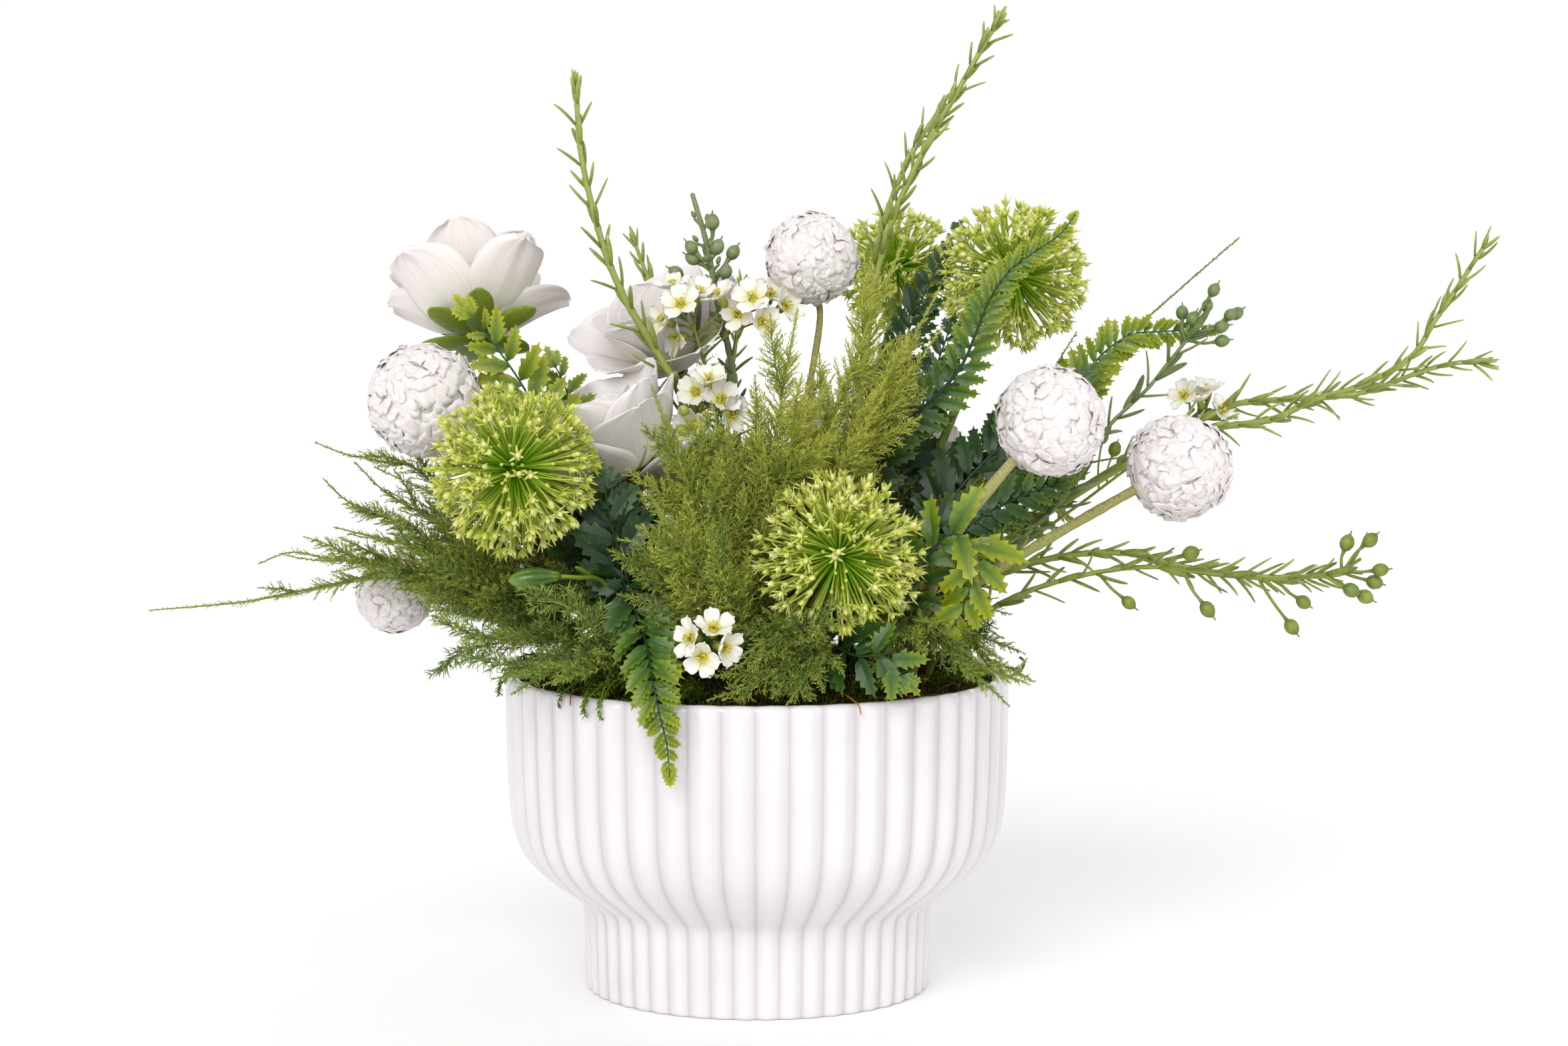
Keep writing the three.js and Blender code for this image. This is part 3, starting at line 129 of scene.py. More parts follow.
               [(-47.6, 27.5, 114), (-48.6, 28.1, 158.1), (-52, 40, 190), (-72.7, 89.4, 231.7), (-87.2, 138.9, 236.2), (-88.6, 176.3, 212.5)]], "hw": [17, 15]},
    {"name": "leather_fern_8", "kind": "fern", "r": 1.3,
     "paths": [[(31.8, 27.5, 114), (32.4, 28.1, 159.3), (40.2, 43.8, 189.8), (65.5, 90.6, 235.4), (92, 130, 250), (112, 166, 236)],
               [(31.8, 27.5, 114), (32.4, 28.1, 159.3), (50.2, 29.9, 189.4), (95.2, 61.8, 220.9), (128.3, 92.1, 231.7), (158, 116, 214)]], "hw": [17, 15]},
    {"name": "asparagus_left", "kind": "asparagus", "r": 1.2,
     "paths": [[(-71.4, -13.7, 114), (-72.9, -14, 156), (-92.5, -14.8, 170.6), (-124.5, -16, 185.3), (-149.5, -18, 193.4), (-173.6, -18, 200.4), (-190.7, -18, 196.6), (-217.2, -18, 191.2), (-241.5, -18, 186.5), (-287.2, -18, 182.3)],
               [(-71.4, -13.7, 114), (-72.9, -14, 156), (-93.1, -21.6, 173), (-126, -35.9, 189.2), (-146.9, -44, 199.4), (-170.1, -50, 208.7), (-195.8, -54, 210.4), (-214.2, -56, 213.7), (-229.4, -58, 208.6)],
               [(-71.4, -13.7, 114), (-72.9, -14, 156), (-93.1, -6.8, 173.5), (-126.1, 3.6, 191.3), (-139.2, 10, 216.1), (-148.5, 12, 230.3), (-160.8, 12, 245.1), (-176.4, 12, 252.5), (-193.6, 12, 253.1), (-211.8, 12, 259.8)],
               [(-71.4, -13.7, 114), (-72.9, -14, 156), (-93, -16.3, 173.2), (-125.7, -20, 190.5), (-139.4, -24, 203.5), (-154.6, -28, 218.1), (-176.8, -32, 229.4), (-190.8, -34, 235.5), (-201.7, -36, 246)],
               [(-71.4, -13.7, 114), (-72.9, -14, 156), (-91.8, 1, 174.8), (-125.4, 20.7, 189.9), (-141, 30, 207.7), (-160.9, 36, 221.8), (-182.3, 40, 234.4), (-196.6, 42, 248.3)],
               [(-71.4, -13.7, 114), (-72.9, -14, 156), (-92.9, -24, 175.1), (-123.2, -48.3, 194.5), (-136.2, -60, 204.2), (-156.9, -66, 217.1), (-180.8, -70, 223.6), (-192.7, -72, 226.9)]], "hw": [9, 12, 11, 12, 11, 12]},
    {"name": "asparagus_lower_left", "kind": "asparagus", "r": 1.2,
     "paths": [[(-55.6, -41.2, 114), (-56.7, -42.1, 156.5), (-87.9, -50, 172), (-102.2, -66, 175.6), (-123.2, -78, 177.1), (-144, -86, 185.4)],
               [(-55.6, -41.2, 114), (-56.7, -42.1, 156.5), (-84.2, -60, 168.6), (-95.2, -80, 166.6), (-109.5, -92, 165.7), (-128.5, -98, 170.5)],
               [(-55.6, -41.2, 114), (-56.7, -42.1, 156.5), (-88.5, -40, 173.9), (-106.5, -48.2, 184), (-127.6, -55.1, 191.2), (-148.7, -58, 196.6)],
               [(-55.6, -41.2, 114), (-56.7, -42.1, 156.5), (-61.4, -58, 162.6), (-69.2, -84, 168.7), (-85, -98, 165.9), (-99.6, -104, 163.7), (-118.6, -106, 161.6)],
               [(-55.6, -41.2, 114), (-56.7, -42.1, 156.5), (-62, -58.8, 165.7), (-70.5, -86, 175), (-75.8, -100, 187.3), (-87.2, -108, 195.8), (-101.8, -112, 197.7)],
               [(-55.6, -41.2, 114), (-56.7, -42.1, 156.5), (-91.5, -33.9, 174.6), (-117.4, -28.5, 168.8), (-136.6, -24, 164.1), (-149.6, -20, 155.6)]], "hw": [13, 12, 13, 9, 13, 12]},
    {"name": "asparagus_centre", "kind": "asparagus", "r": 1.3,
     "paths": [[(-7.9, -41.2, 114), (-8.1, -42.1, 159.3), (-5.5, -65.9, 166.6), (-14.8, -72, 205.5), (-31.4, -74, 248.4), (-47.7, -72, 292)],
               [(-7.9, -41.2, 114), (-8.1, -42.1, 159.3), (-3.7, -60, 165.5), (-7.2, -64, 207.7), (-12.7, -62, 247.4), (-20.7, -58, 283.9)],
               [(-7.9, -41.2, 114), (-8.1, -42.1, 159.3), (-1.8, -56, 165), (2.5, -52, 221.9), (10.5, -44, 277), (19.1, -36, 325.4)],
               [(-7.9, -41.2, 114), (-8.1, -42.1, 159.3), (0, -52, 164.5), (15.7, -42, 221), (43.8, -26, 294.6), (71.7, -14, 362.5)],
               [(-7.9, -41.2, 114), (-8.1, -42.1, 159.3), (1.9, -56, 165), (25.1, -40, 223.9), (57.9, -26, 282.1), (86.1, -18, 334.8)],
               [(-7.9, -41.2, 114), (-8.1, -42.1, 159.3), (-6.8, -71.9, 167.4), (-22.2, -84, 185.4), (-40.1, -90, 204.3), (-53.5, -92, 221.2), (-62.5, -92, 223.3)],
               [(-7.9, -41.2, 114), (-8.1, -42.1, 159.3), (-2, -61.5, 166.4), (-2, -67.5, 210.3), (14.1, -66.3, 258.3), (36.2, -60, 296.3)],
               [(-7.9, -41.2, 114), (-8.1, -42.1, 159.3), (-5.1, -73.9, 168.3), (-17.5, -92, 195.5), (-35.3, -98, 224.8), (-47.2, -98, 242.8)]], "hw": [18, 20, 22, 22, 19, 13, 21, 16]},
    {"name": "asparagus_right", "kind": "asparagus", "r": 1.2,
     "paths": [[(55.6, -41.2, 114), (56.7, -42.1, 156.5), (68.3, -58.7, 182.6), (81, -78, 177.1), (99.3, -90, 161.8), (114.9, -94.8, 147.6)],
               [(55.6, -41.2, 114), (56.7, -42.1, 156.5), (71.7, -41.5, 185.9), (89.9, -49.7, 177.5), (106.7, -56, 165), (117.1, -56.3, 156.4), (125.2, -56.6, 164.4)],
               [(55.6, -41.2, 114), (56.7, -42.1, 156.5), (72, -30, 188.4), (83.6, -39.3, 186.3), (99.3, -40.7, 181.1), (115.2, -42, 171.7)],
               [(55.6, -41.2, 114), (56.7, -42.1, 156.5), (64.9, -72.6, 182.9), (61, -88, 175.3), (53.2, -99, 166.1), (47.1, -104, 160.7)]], "hw": [15, 14, 12, 12]},
    {"name": "asparagus_front", "kind": "asparagus", "r": 1.2,
     "paths": [[(23.8, -68.7, 114), (24.2, -70.2, 156), (17.2, -92, 177.3), (9.7, -104, 165.2), (-3.8, -110, 158.5), (-21.9, -113, 152.9)],
               [(23.8, -68.7, 114), (24.2, -70.2, 156), (27, -92.2, 175.5), (21.6, -108, 161.2), (15.6, -118, 153.6), (6.7, -124.5, 145)],
               [(23.8, -68.7, 114), (24.2, -70.2, 156), (20, -96.1, 180.4), (5.2, -106, 179), (-6.7, -110, 172)],
               [(23.8, -68.7, 114), (24.2, -70.2, 156), (23.1, -100.5, 180), (34.1, -118.6, 187.9), (38.4, -122, 187)]], "hw": [12, 11, 10, 9]},
    {"name": "asparagus_back_left", "kind": "asparagus", "r": 1.2,
     "paths": [[(-39.7, 41.2, 114), (-40.5, 42.1, 157.9), (-50, 50, 185), (-88, 82, 226), (-128, 112, 236), (-168, 138, 214)],
               [(-39.7, 41.2, 114), (-40.5, 42.1, 157.9), (-46, 53.9, 185), (-74, 99.9, 223), (-86.1, 149.5, 223.8), (-85.7, 187.9, 195.8)],
               [(-39.7, 41.2, 114), (-40.5, 42.1, 157.9), (-38, 56, 190), (-30, 100, 262), (-28, 128, 300), (-34, 150, 326)],
               [(-39.7, 41.2, 114), (-40.5, 42.1, 157.9), (-40, 58, 180), (-50, 100, 190), (-58, 134, 172), (-62, 158, 142)]], "hw": [16, 17, 17, 14]},
    {"name": "asparagus_back_right", "kind": "asparagus", "r": 1.2,
     "paths": [[(39.7, 41.2, 114), (40.5, 42.1, 157.9), (46, 50.7, 184.3), (84, 92.3, 221.6), (118, 130, 226), (150, 160, 200)],
               [(39.7, 41.2, 114), (40.5, 42.1, 157.9), (36, 56, 190), (30, 112, 246), (24, 150, 262), (18, 186, 246)],
               [(39.7, 41.2, 114), (40.5, 42.1, 157.9), (38.6, 51.2, 189.8), (57.7, 89.8, 261.9), (72, 112, 306), (88, 128, 338)],
               [(39.7, 41.2, 114), (40.5, 42.1, 157.9), (44, 54, 180), (66, 104, 188), (80, 134, 168), (88, 156, 140)],
               [(39.7, 41.2, 114), (40.5, 42.1, 157.9), (70, 39.8, 185.8), (118.1, 36, 213.6), (137.2, 36, 260.8), (166.7, 36, 298), (198.1, 36, 327), (232.6, 36, 357.2)]], "hw": [16, 17, 17, 14, 5]},
    {"name": "bud_sprig", "kind": "bud", "r": 1.2,
     "paths": [[(-47.6, -55, 114), (-48.6, -56.1, 156), (-56.7, -62.9, 179), (-69.8, -74, 202), (-80.3, -92, 205.8), (-89, -98, 207), (-100.2, -100, 206.3)]]},
]
P = {p["name"]: p for p in PLANTS}


# ------------------------------------------------------------------ numbers
def gen(*key):
    return np.random.default_rng(zlib.crc32("|".join(map(str, key)).encode()))


def unit(v):
    v = np.asarray(v, float)
    return v / np.maximum(np.linalg.norm(v, axis=-1, keepdims=True), 1e-12)


def rough_curve(pts, n=14):
    """Centripetal Catmull-Rom line through the points."""
    q = np.asarray(pts, float)
    q = np.vstack([2 * q[0] - q[1], q, 2 * q[-1] - q[-2]])
    out = []
    for i in range(1, len(q) - 2):
        p0, p1, p2, p3 = q[i - 1 : i + 3]
        d = lambda a, b: max(np.linalg.norm(b - a), 1e-6) ** 0.5
        t0 = 0.0
        t1 = t0 + d(p0, p1)
        t2 = t1 + d(p1, p2)
        t3 = t2 + d(p2, p3)
        t = np.linspace(t1, t2, n, endpoint=False)[:, None]
        a1 = (t1 - t) / (t1 - t0) * p0 + (t - t0) / (t1 - t0) * p1
        a2 = (t2 - t) / (t2 - t1) * p1 + (t - t1) / (t2 - t1) * p2
        a3 = (t3 - t) / (t3 - t2) * p2 + (t - t2) / (t3 - t2) * p3
        b1 = (t2 - t) / (t2 - t0) * a1 + (t - t0) / (t2 - t0) * a2
        b2 = (t3 - t) / (t3 - t1) * a2 + (t - t1) / (t3 - t1) * a3
        out.append((t2 - t) / (t2 - t1) * b1 + (t - t1) / (t2 - t1) * b2)
    out.append(q[-2][None])
    return np.vstack(out)


def curve(pts, step):
    """Points every step along the smooth line, and their distance along it."""
    q = rough_curve(pts)
    d = np.r_[0, np.cumsum(np.linalg.norm(np.diff(q, axis=0), axis=1))]
    n = max(3, int(round(d[-1] / step)) + 1)
    s = np.linspace(0, d[-1], n)
    return np.stack([np.interp(s, d, q[:, k]) for k in range(3)], 1), s


def transport(x):
    t = unit(np.gradient(x, axis=0))
    a = np.array([1.0, 0, 0]) if abs(t[0, 0]) < 0.8 else np.array([0, 1.0, 0])
    n = unit(a - a @ t[0] * t[0])
    out = np.zeros_like(t)
    out[0] = n
    for i in range(1, len(t)):
        n = n - (n @ t[i]) * t[i]
        n = n / max(np.linalg.norm(n), 1e-9)
        out[i] = n
    return t, out, np.cross(t, out)


def facing(x, hint):
    """Tangent, face direction and width direction of a flat frond that looks towards hint."""
    t = unit(np.gradient(x, axis=0))
    h = unit(hint)
    n = h - (t @ h)[:, None] * t
    keep = np.linalg.norm(n, axis=1) > 0.25
    if keep.any() and not keep.all():
        i = np.arange(len(t))
        for k in range(3):
            n[:, k] = np.interp(i, i[keep], n[keep, k])
        n = n - (n * t).sum(1, keepdims=True) * t
    elif not keep.any():
        return transport(x)
    n = unit(n)
    return t, n, np.cross(t, n)


def at(s, row, q):
    """Rows of an array given along s, at the distances q."""
    return np.stack([np.interp(q, s, row[:, k]) for k in range(3)], 1)


def fib(n):
    i = np.arange(n) + 0.5
    z = 1 - 2 * i / n
    a = i * math.pi * (3 - math.sqrt(5))
    r = np.sqrt(1 - z * z)
    return np.stack([r * np.cos(a), r * np.sin(a), z], 1)


def across(x, hint):
    """Y and Z directions for things that point along x and face hint."""
    x = unit(x)
    h = np.broadcast_to(np.asarray(hint, float), x.shape)
    z = h - (h * x).sum(-1, keepdims=True) * x
    bad = np.linalg.norm(z, axis=-1) < 0.08
    if np.any(bad):
        alt = np.broadcast_to([0.37, 0.71, 0.6], x.shape)
        z = np.where(bad[..., None], alt - (alt * x).sum(-1, keepdims=True) * x, z)
    z = unit(z)
    return np.cross(z, x), z


def wobble(x, y, z, seed=0.0):
    """Smooth made-up relief between about -1 and 1."""
    return (
        np.sin(x * 1.0 + y * 0.7 + seed)
        + np.sin(y * 1.3 - z * 0.8 + 2.1 * seed + 1.7)
        + np.sin(z * 1.1 + x * 0.6 - 1.3 * seed + 0.4)
    ) / 3


# ------------------------------------------------------------------ meshes
class Build:
    """One piece's mesh, gathered from many closed bodies, with the UV map OFBake."""

    def __init__(self):
        self.v, self.l, self.c, self.u, self.m, self.s, self.n = [], [], [], [], [], [], 0
        self.crease = []

    def add(self, v, faces, uv, mat=0, smooth=True):
        v = np.asarray(v, float).reshape(-1, 3)
        for k, f in enumerate(faces):
            f = np.asarray(f, int)
            if not len(f):
                continue
            self.l.append((f + self.n).ravel())
            self.c.append(np.full(len(f), f.shape[1]))
            u = uv[k] if isinstance(uv, list) else np.asarray(uv, float)[f]
            self.u.append(np.asarray(u, float).reshape(-1, 2))
            self.m.append(np.full(len(f), mat))
            self.s.append(np.full(len(f), smooth[k] if isinstance(smooth, (list, tuple)) else smooth))
        self.v.append(v)
        self.n += len(v)

    def make(self, name, mats, nodes=()):
        me = bpy.data.meshes.new(name)
        v = (np.concatenate(self.v) * MM).astype(np.float32)
        l = np.concatenate(self.l).astype(np.int32)
        c = np.concatenate(self.c).astype(np.int32)
        me.vertices.add(len(v))
        me.vertices.foreach_set("co", v.ravel())
        me.loops.add(len(l))
        me.loops.foreach_set("vertex_index", l)
        me.polygons.add(len(c))
        me.polygons.foreach_set("loop_start", np.r_[0, np.cumsum(c)[:-1]].astype(np.int32))
        me.polygons.foreach_set("material_index", np.concatenate(self.m).astype(np.int32))
        me.polygons.foreach_set("use_smooth", np.concatenate(self.s))
        me.update(calc_edges=True)
        uv = me.uv_layers.new(name="OFBake")
        uv.data.foreach_set("uv", np.concatenate(self.u).astype(np.float32).ravel())
        if self.crease:
            ends = np.empty(len(me.edges) * 2, np.int64)
            me.edges.foreach_get("vertices", ends)
            ends = np.sort(ends.reshape(-1, 2), 1)
            want = np.sort(np.concatenate(self.crease), 1)
            sharp = np.isin(ends[:, 0] * len(v) + ends[:, 1], want[:, 0] * len(v) + want[:, 1])
            me.attributes.new("sharp_edge", "BOOLEAN", "EDGE").data.foreach_set("value", sharp)
        for m in mats:
            me.materials.append(m)
        o = bpy.data.objects.new(name, me)
        bpy.context.scene.collection.objects.link(o)
        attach(o, "root")
        if nodes:
            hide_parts(*nodes)
        return o


def tube(b, x, r, sides=8, v=0.5, mat=0, u=None, fr=None, flat=1.0, dome=0.6, smooth=True):
    x = np.asarray(x, float)
    n = len(x)
    r = np.broadcast_to(np.asarray(r, float), (n,))
    t, nn, bb = fr if fr is not None else transport(x)
    a = np.arange(sides) * 2 * math.pi / sides
    ring = x[:, None] + r[:, None, None] * (
        np.cos(a)[None, :, None] * nn[:, None] * flat + np.sin(a)[None, :, None] * bb[:, None]
    )
    verts = np.concatenate([ring.reshape(-1, 3), [x[0] - t[0] * r[0] * 0.3, x[-1] + t[-1] * r[-1] * dome]])
    u = np.linspace(0.01, 0.985, n) if u is None else np.asarray(u, float)
    uv = np.zeros((len(verts), 2))
    uv[: n * sides, 0] = np.repeat(u, sides)
    uv[: n * sides, 1] = v + 0.004 * np.tile(np.sin(a + 0.7), n)
    uv[-2] = (u[0] - 0.004, v + 0.0005)
    uv[-1] = (u[-1] + 0.004, v + 0.0005)
    i = np.arange(n - 1)[:, None] * sides
    j = np.arange(sides)[None]
    k = (j + 1) % sides
    quads = np.stack([i + j, i + k, i + sides + k, i + sides + j], -1).reshape(-1, 4)
    j = np.arange(sides)
    k = (j + 1) % sides
    c0, c1 = n * sides, n * sides + 1
    caps = np.concatenate(
        [
            np.stack([np.full(sides, c0), k, j], 1),
            np.stack([np.full(sides, c1), (n - 1) * sides + j, (n - 1) * sides + k], 1),
        ]
    )
    b.add(verts, [quads, caps], uv, mat, smooth)


def turned_body(xs, ws, hs, sides=4, us=None, lift=None):
    """A closed body along x from 0 to 1: half widths in y, half thicknesses in z, and pointed ends."""
    xs, ws, hs = (np.asarray(q, float) for q in (xs, ws, hs))
    lift = np.zeros(len(xs)) if lift is None else np.asarray(lift, float)
    us = xs if us is None else np.asarray(us, float)
    a = np.arange(sides) * 2 * math.pi / sides
    v, u = [[xs[0], 0, lift[0]]], [[us[0], 0.5]]
    for i in range(1, len(xs) - 1):
        for q in a:
            v.append([xs[i], ws[i] * math.cos(q), hs[i] * math.sin(q) + lift[i] * abs(math.cos(q))])
            u.append([us[i], 0.5 + 0.5 * math.sin(q + 0.7)])
    v.append([xs[-1], 0, lift[-1]])
    u.append([us[-1], 0.52])
    n = len(xs) - 2
    tri, quad = [], []
    for j in range(sides):
        k = (j + 1) % sides
        tri.append([0, 1 + k, 1 + j])
        tri.append([len(v) - 1, 1 + (n - 1) * sides + j, 1 + (n - 1) * sides + k])
        for i in range(n - 1):
            o = 1 + i * sides
            quad.append([o + j, o + k, o + sides + k, o + sides + j])
    return np.array(v), [np.array(quad).reshape(-1, 4), np.array(tri)], np.array(u)


NEEDLE = (
    np.array([[0, 0.5, -0.29], [0, 0, 0.58], [0, -0.5, -0.29], [1, 0, 0]], float),
    [np.array([[0, 3, 1], [1, 3, 2], [2, 3, 0], [0, 1, 2]])],
    np.array([[0.02, 0.1], [0.05, 0.5], [0.03, 0.95], [0.98, 0.45]]),
)
_x = np.linspace(0, 1, 6)
ROD = turned_body(np.r_[-0.01, _x, 1.01], np.r_[0, np.ones(6) * 0.5, 0], np.r_[0, np.ones(6) * 0.5, 0], 3, np.clip(np.r_[0.0, _x * 0.98 + 0.01, 1.0], 0, 1))
LEAF = turned_body([0, 0.06, 0.25, 0.5, 0.75, 0.93, 1], [0, 0.3, 0.44, 0.5, 0.44, 0.26, 0], [0, 0.5, 0.55, 0.5, 0.42, 0.3, 0], 6)
TEPAL = turned_body([0, 0.12, 0.4, 0.75, 1], [0, 0.34, 0.5, 0.3, 0], [0, 0.4, 0.5, 0.4, 0], 4)
STRAND = turned_body([0, 0.3, 0.75, 1], [0, 0.46, 0.34, 0], [0, 0.5, 0.4, 0], 3)
OVOID = turned_body([0, 0.05, 0.16, 0.34, 0.54, 0.74, 0.89, 0.96, 1.03], [0, 0.2, 0.36, 0.48, 0.5, 0.41, 0.24, 0.1, 0], [0, 0.2, 0.36, 0.48, 0.5, 0.41, 0.24, 0.1, 0], 10)


def serrated(teeth, seed, fold=0.5):
    """A pointed leaflet with forward teeth and a folded midrib: edge, rib top, edge and rib bottom at each station."""
    g = gen("leaflet", seed)
    xs, ws, tips = [0.03], [0.06], [False]
    for i in range(teeth):
        x = 0.06 + 0.76 * (i + 0.45) / teeth
        env = 0.5 * min(1.0, (x + 0.03) / 0.3) ** 0.75 * (1 - x) ** 0.62 * 1.3
        xs += [x, x + 0.76 / teeth * 0.42]
        ws += [env * 0.82, env * 1.14]
        tips += [False, True]
    xs.append(0.9)
    ws.append(0.085)
    tips.append(False)
    v = [[0, 0, 0]]
    u = [[0.02, 0.5]]
    for x, w0, tip in zip(xs, ws, tips):
        row = []
        for side in (1, -1):
            w = w0 * g.uniform(0.92, 1.08)
            row.append([x + (0.10 if tip else 0.0) * (1 - 0.5 * x), side * w, fold * w * 2])
        v += [row[0], [x, 0, 0.2], row[1], [x, 0, -0.24]]
        e = 0.54 + 0.45 * x if tip else 0.30 + 0.44 * x
        u += [[e, 0.1], [0.04 + 0.5 * x, 0.52], [e, 0.95], [0.05 + 0.5 * x, 0.45]]
    v.append([1.04, 0, 0.1])
    u.append([0.99, 0.5])
    m = len(xs)
    tri, quad = [], []
    for j in range(4):
        k = (j + 1) % 4
        tri.append([0, 1 + k, 1 + j])
        tri.append([len(v) - 1, 1 + (m - 1) * 4 + j, 1 + (m - 1) * 4 + k])
        for i in range(m - 1):
            o = 1 + i * 4
            quad.append([o + j, o + k, o + 4 + k, o + 4 + j])
    crease = [[0, 1], [0, 2], [0, 3]] + [[1 + 4 * (m - 1) + j, len(v) - 1] for j in (0, 1, 2)]
    crease += [[1 + 4 * i + j, 5 + 4 * i + j] for i in range(m - 1) for j in (0, 1, 2)]
    return np.array(v, float), [np.array(quad), np.array(tri)], np.array(u, float), np.array(crease)


SERRATED = [serrated(4, 1), serrated(5, 2), serrated(4, 3)]


def copies(b, shape, o, x, hint, length, width, height, tone, bend=0.0, mat=0, smooth=True, u0=0.0, u1=1.0, yz=None):
    """Many copies of one closed shape: o origins, x directions, facing hint, bent by bend radians along their length."""
    tv, tf, tu = shape[:3]
    o = np.asarray(o, float).reshape(-1, 3)
    n = len(o)
    if not n:
        return
    x = unit(np.asarray(x, float).reshape(-1, 3))
    y, z = across(x, hint) if yz is None else yz
    full = lambda q: np.broadcast_to(np.asarray(q, float), (n,))
    length, width, height, tone, bend = map(full, (length, width, height, tone, bend))
    bend = np.where(np.abs(bend) < 1e-3, 1e-3, bend)
    a = bend[:, None] * tv[None, :, 0]
    along = length[:, None] * np.sin(a) / bend[:, None]
    down = -length[:, None] * (1 - np.cos(a)) / bend[:, None]
    lift = tv[None, :, 2] * height[:, None]
    px = along + np.sin(a) * lift
    pz = down + np.cos(a) * lift
    py = tv[None, :, 1] * width[:, None]
    v = o[:, None] + x[:, None] * px[..., None] + y[:, None] * py[..., None] + z[:, None] * pz[..., None]
    k = len(tv)
    base = (np.arange(n) * k)[:, None, None]
    faces = [(f[None] + base).reshape(-1, f.shape[1]) for f in tf if len(f)]
    uv = np.zeros((n, k, 2))
    uv[..., 0] = u0 + (u1 - u0) * tu[None, :, 0]
    uv[..., 1] = np.clip(tone, 0, 1)[:, None] * 0.96 + 0.02 + (tu[None, :, 1] - 0.5) * 0.012
    if len(shape) > 3:
        b.crease.append((shape[3][None] + base).reshape(-1, 2) + b.n)
    b.add(v.reshape(-1, 3), faces, uv.reshape(-1, 2), mat, smooth)


def far_end(o, x, z, length, bend):
    """Where a copy bent by bend ends, and its direction there."""
    bend = np.where(np.abs(bend) < 1e-3, 1e-3, bend)[:, None]
    length = np.broadcast_to(length, (len(o),))[:, None]
    p = o + x * length * np.sin(bend) / bend - z * length * (1 - np.cos(bend)) / bend
    return p, x * np.cos(bend) - z * np.sin(bend)


def sheet(b, grid, thick, u, v, mat=0, wrap=False):
    """A closed thin body on a grid of points. u and v are given at each grid point."""
    g = np.asarray(grid, float)
    nu, nv = g.shape[:2]
    if wrap:
        gv = np.roll(g, -1, 1) - np.roll(g, 1, 1)
    else:
        gv = np.gradient(g, axis=1)
    nrm = unit(np.cross(np.gradient(g, axis=0), gv))
    th = np.broadcast_to(np.asarray(thick, float), (nu, nv))[..., None]
    top = (g + nrm * th / 2).reshape(-1, 3)
    bot = (g - nrm * th / 2).reshape(-1, 3)
    idx = np.arange(nu * nv).reshape(nu, nv)
    m = nu * nv
    if wrap:
        a, c = idx[:-1], np.roll(idx, -1, 1)[:-1]
        d, e = np.roll(idx, -1, 1)[1:], idx[1:]
    else:
        a, c, d, e = idx[:-1, :-1], idx[:-1, 1:], idx[1:, 1:], idx[1:, :-1]
    q = np.stack([a, e, d, c], -1).reshape(-1, 4)
    if wrap:
        r0, r1 = idx[0], idx[-1]
        n0, n1 = np.roll(r0, -1), np.roll(r1, -1)
        rim = [np.stack([r0, n0, n0 + m, r0 + m], -1), np.stack([n1, r1, r1 + m, n1 + m], -1)]
    else:
        loop = np.concatenate([idx[0, :-1], idx[:-1, -1], idx[-1, :0:-1], idx[:0:-1, 0]])
        nx = np.roll(loop, -1)
        rim = [np.stack([loop, nx, nx + m, loop + m], -1)]
    rim = np.concatenate(rim)
    uu = np.broadcast_to(u, (nu, nv)).ravel()
    vv = np.broadcast_to(v, (nu, nv)).ravel()
    uv = np.stack([np.r_[uu, uu * 0.995 + 0.002], np.r_[vv, vv + 0.003]], 1)
    b.add(np.concatenate([top, bot]), [q, q[:, ::-1] + m, rim], uv, mat, (True, True, False))


# ------------------------------------------------------------------ materials
def lin(c):
    c = np.asarray(c, float) / 255
    return tuple(np.where(c <= 0.04045, c / 12.92, ((c + 0.055) / 1.055) ** 2.4)) + (1.0,)


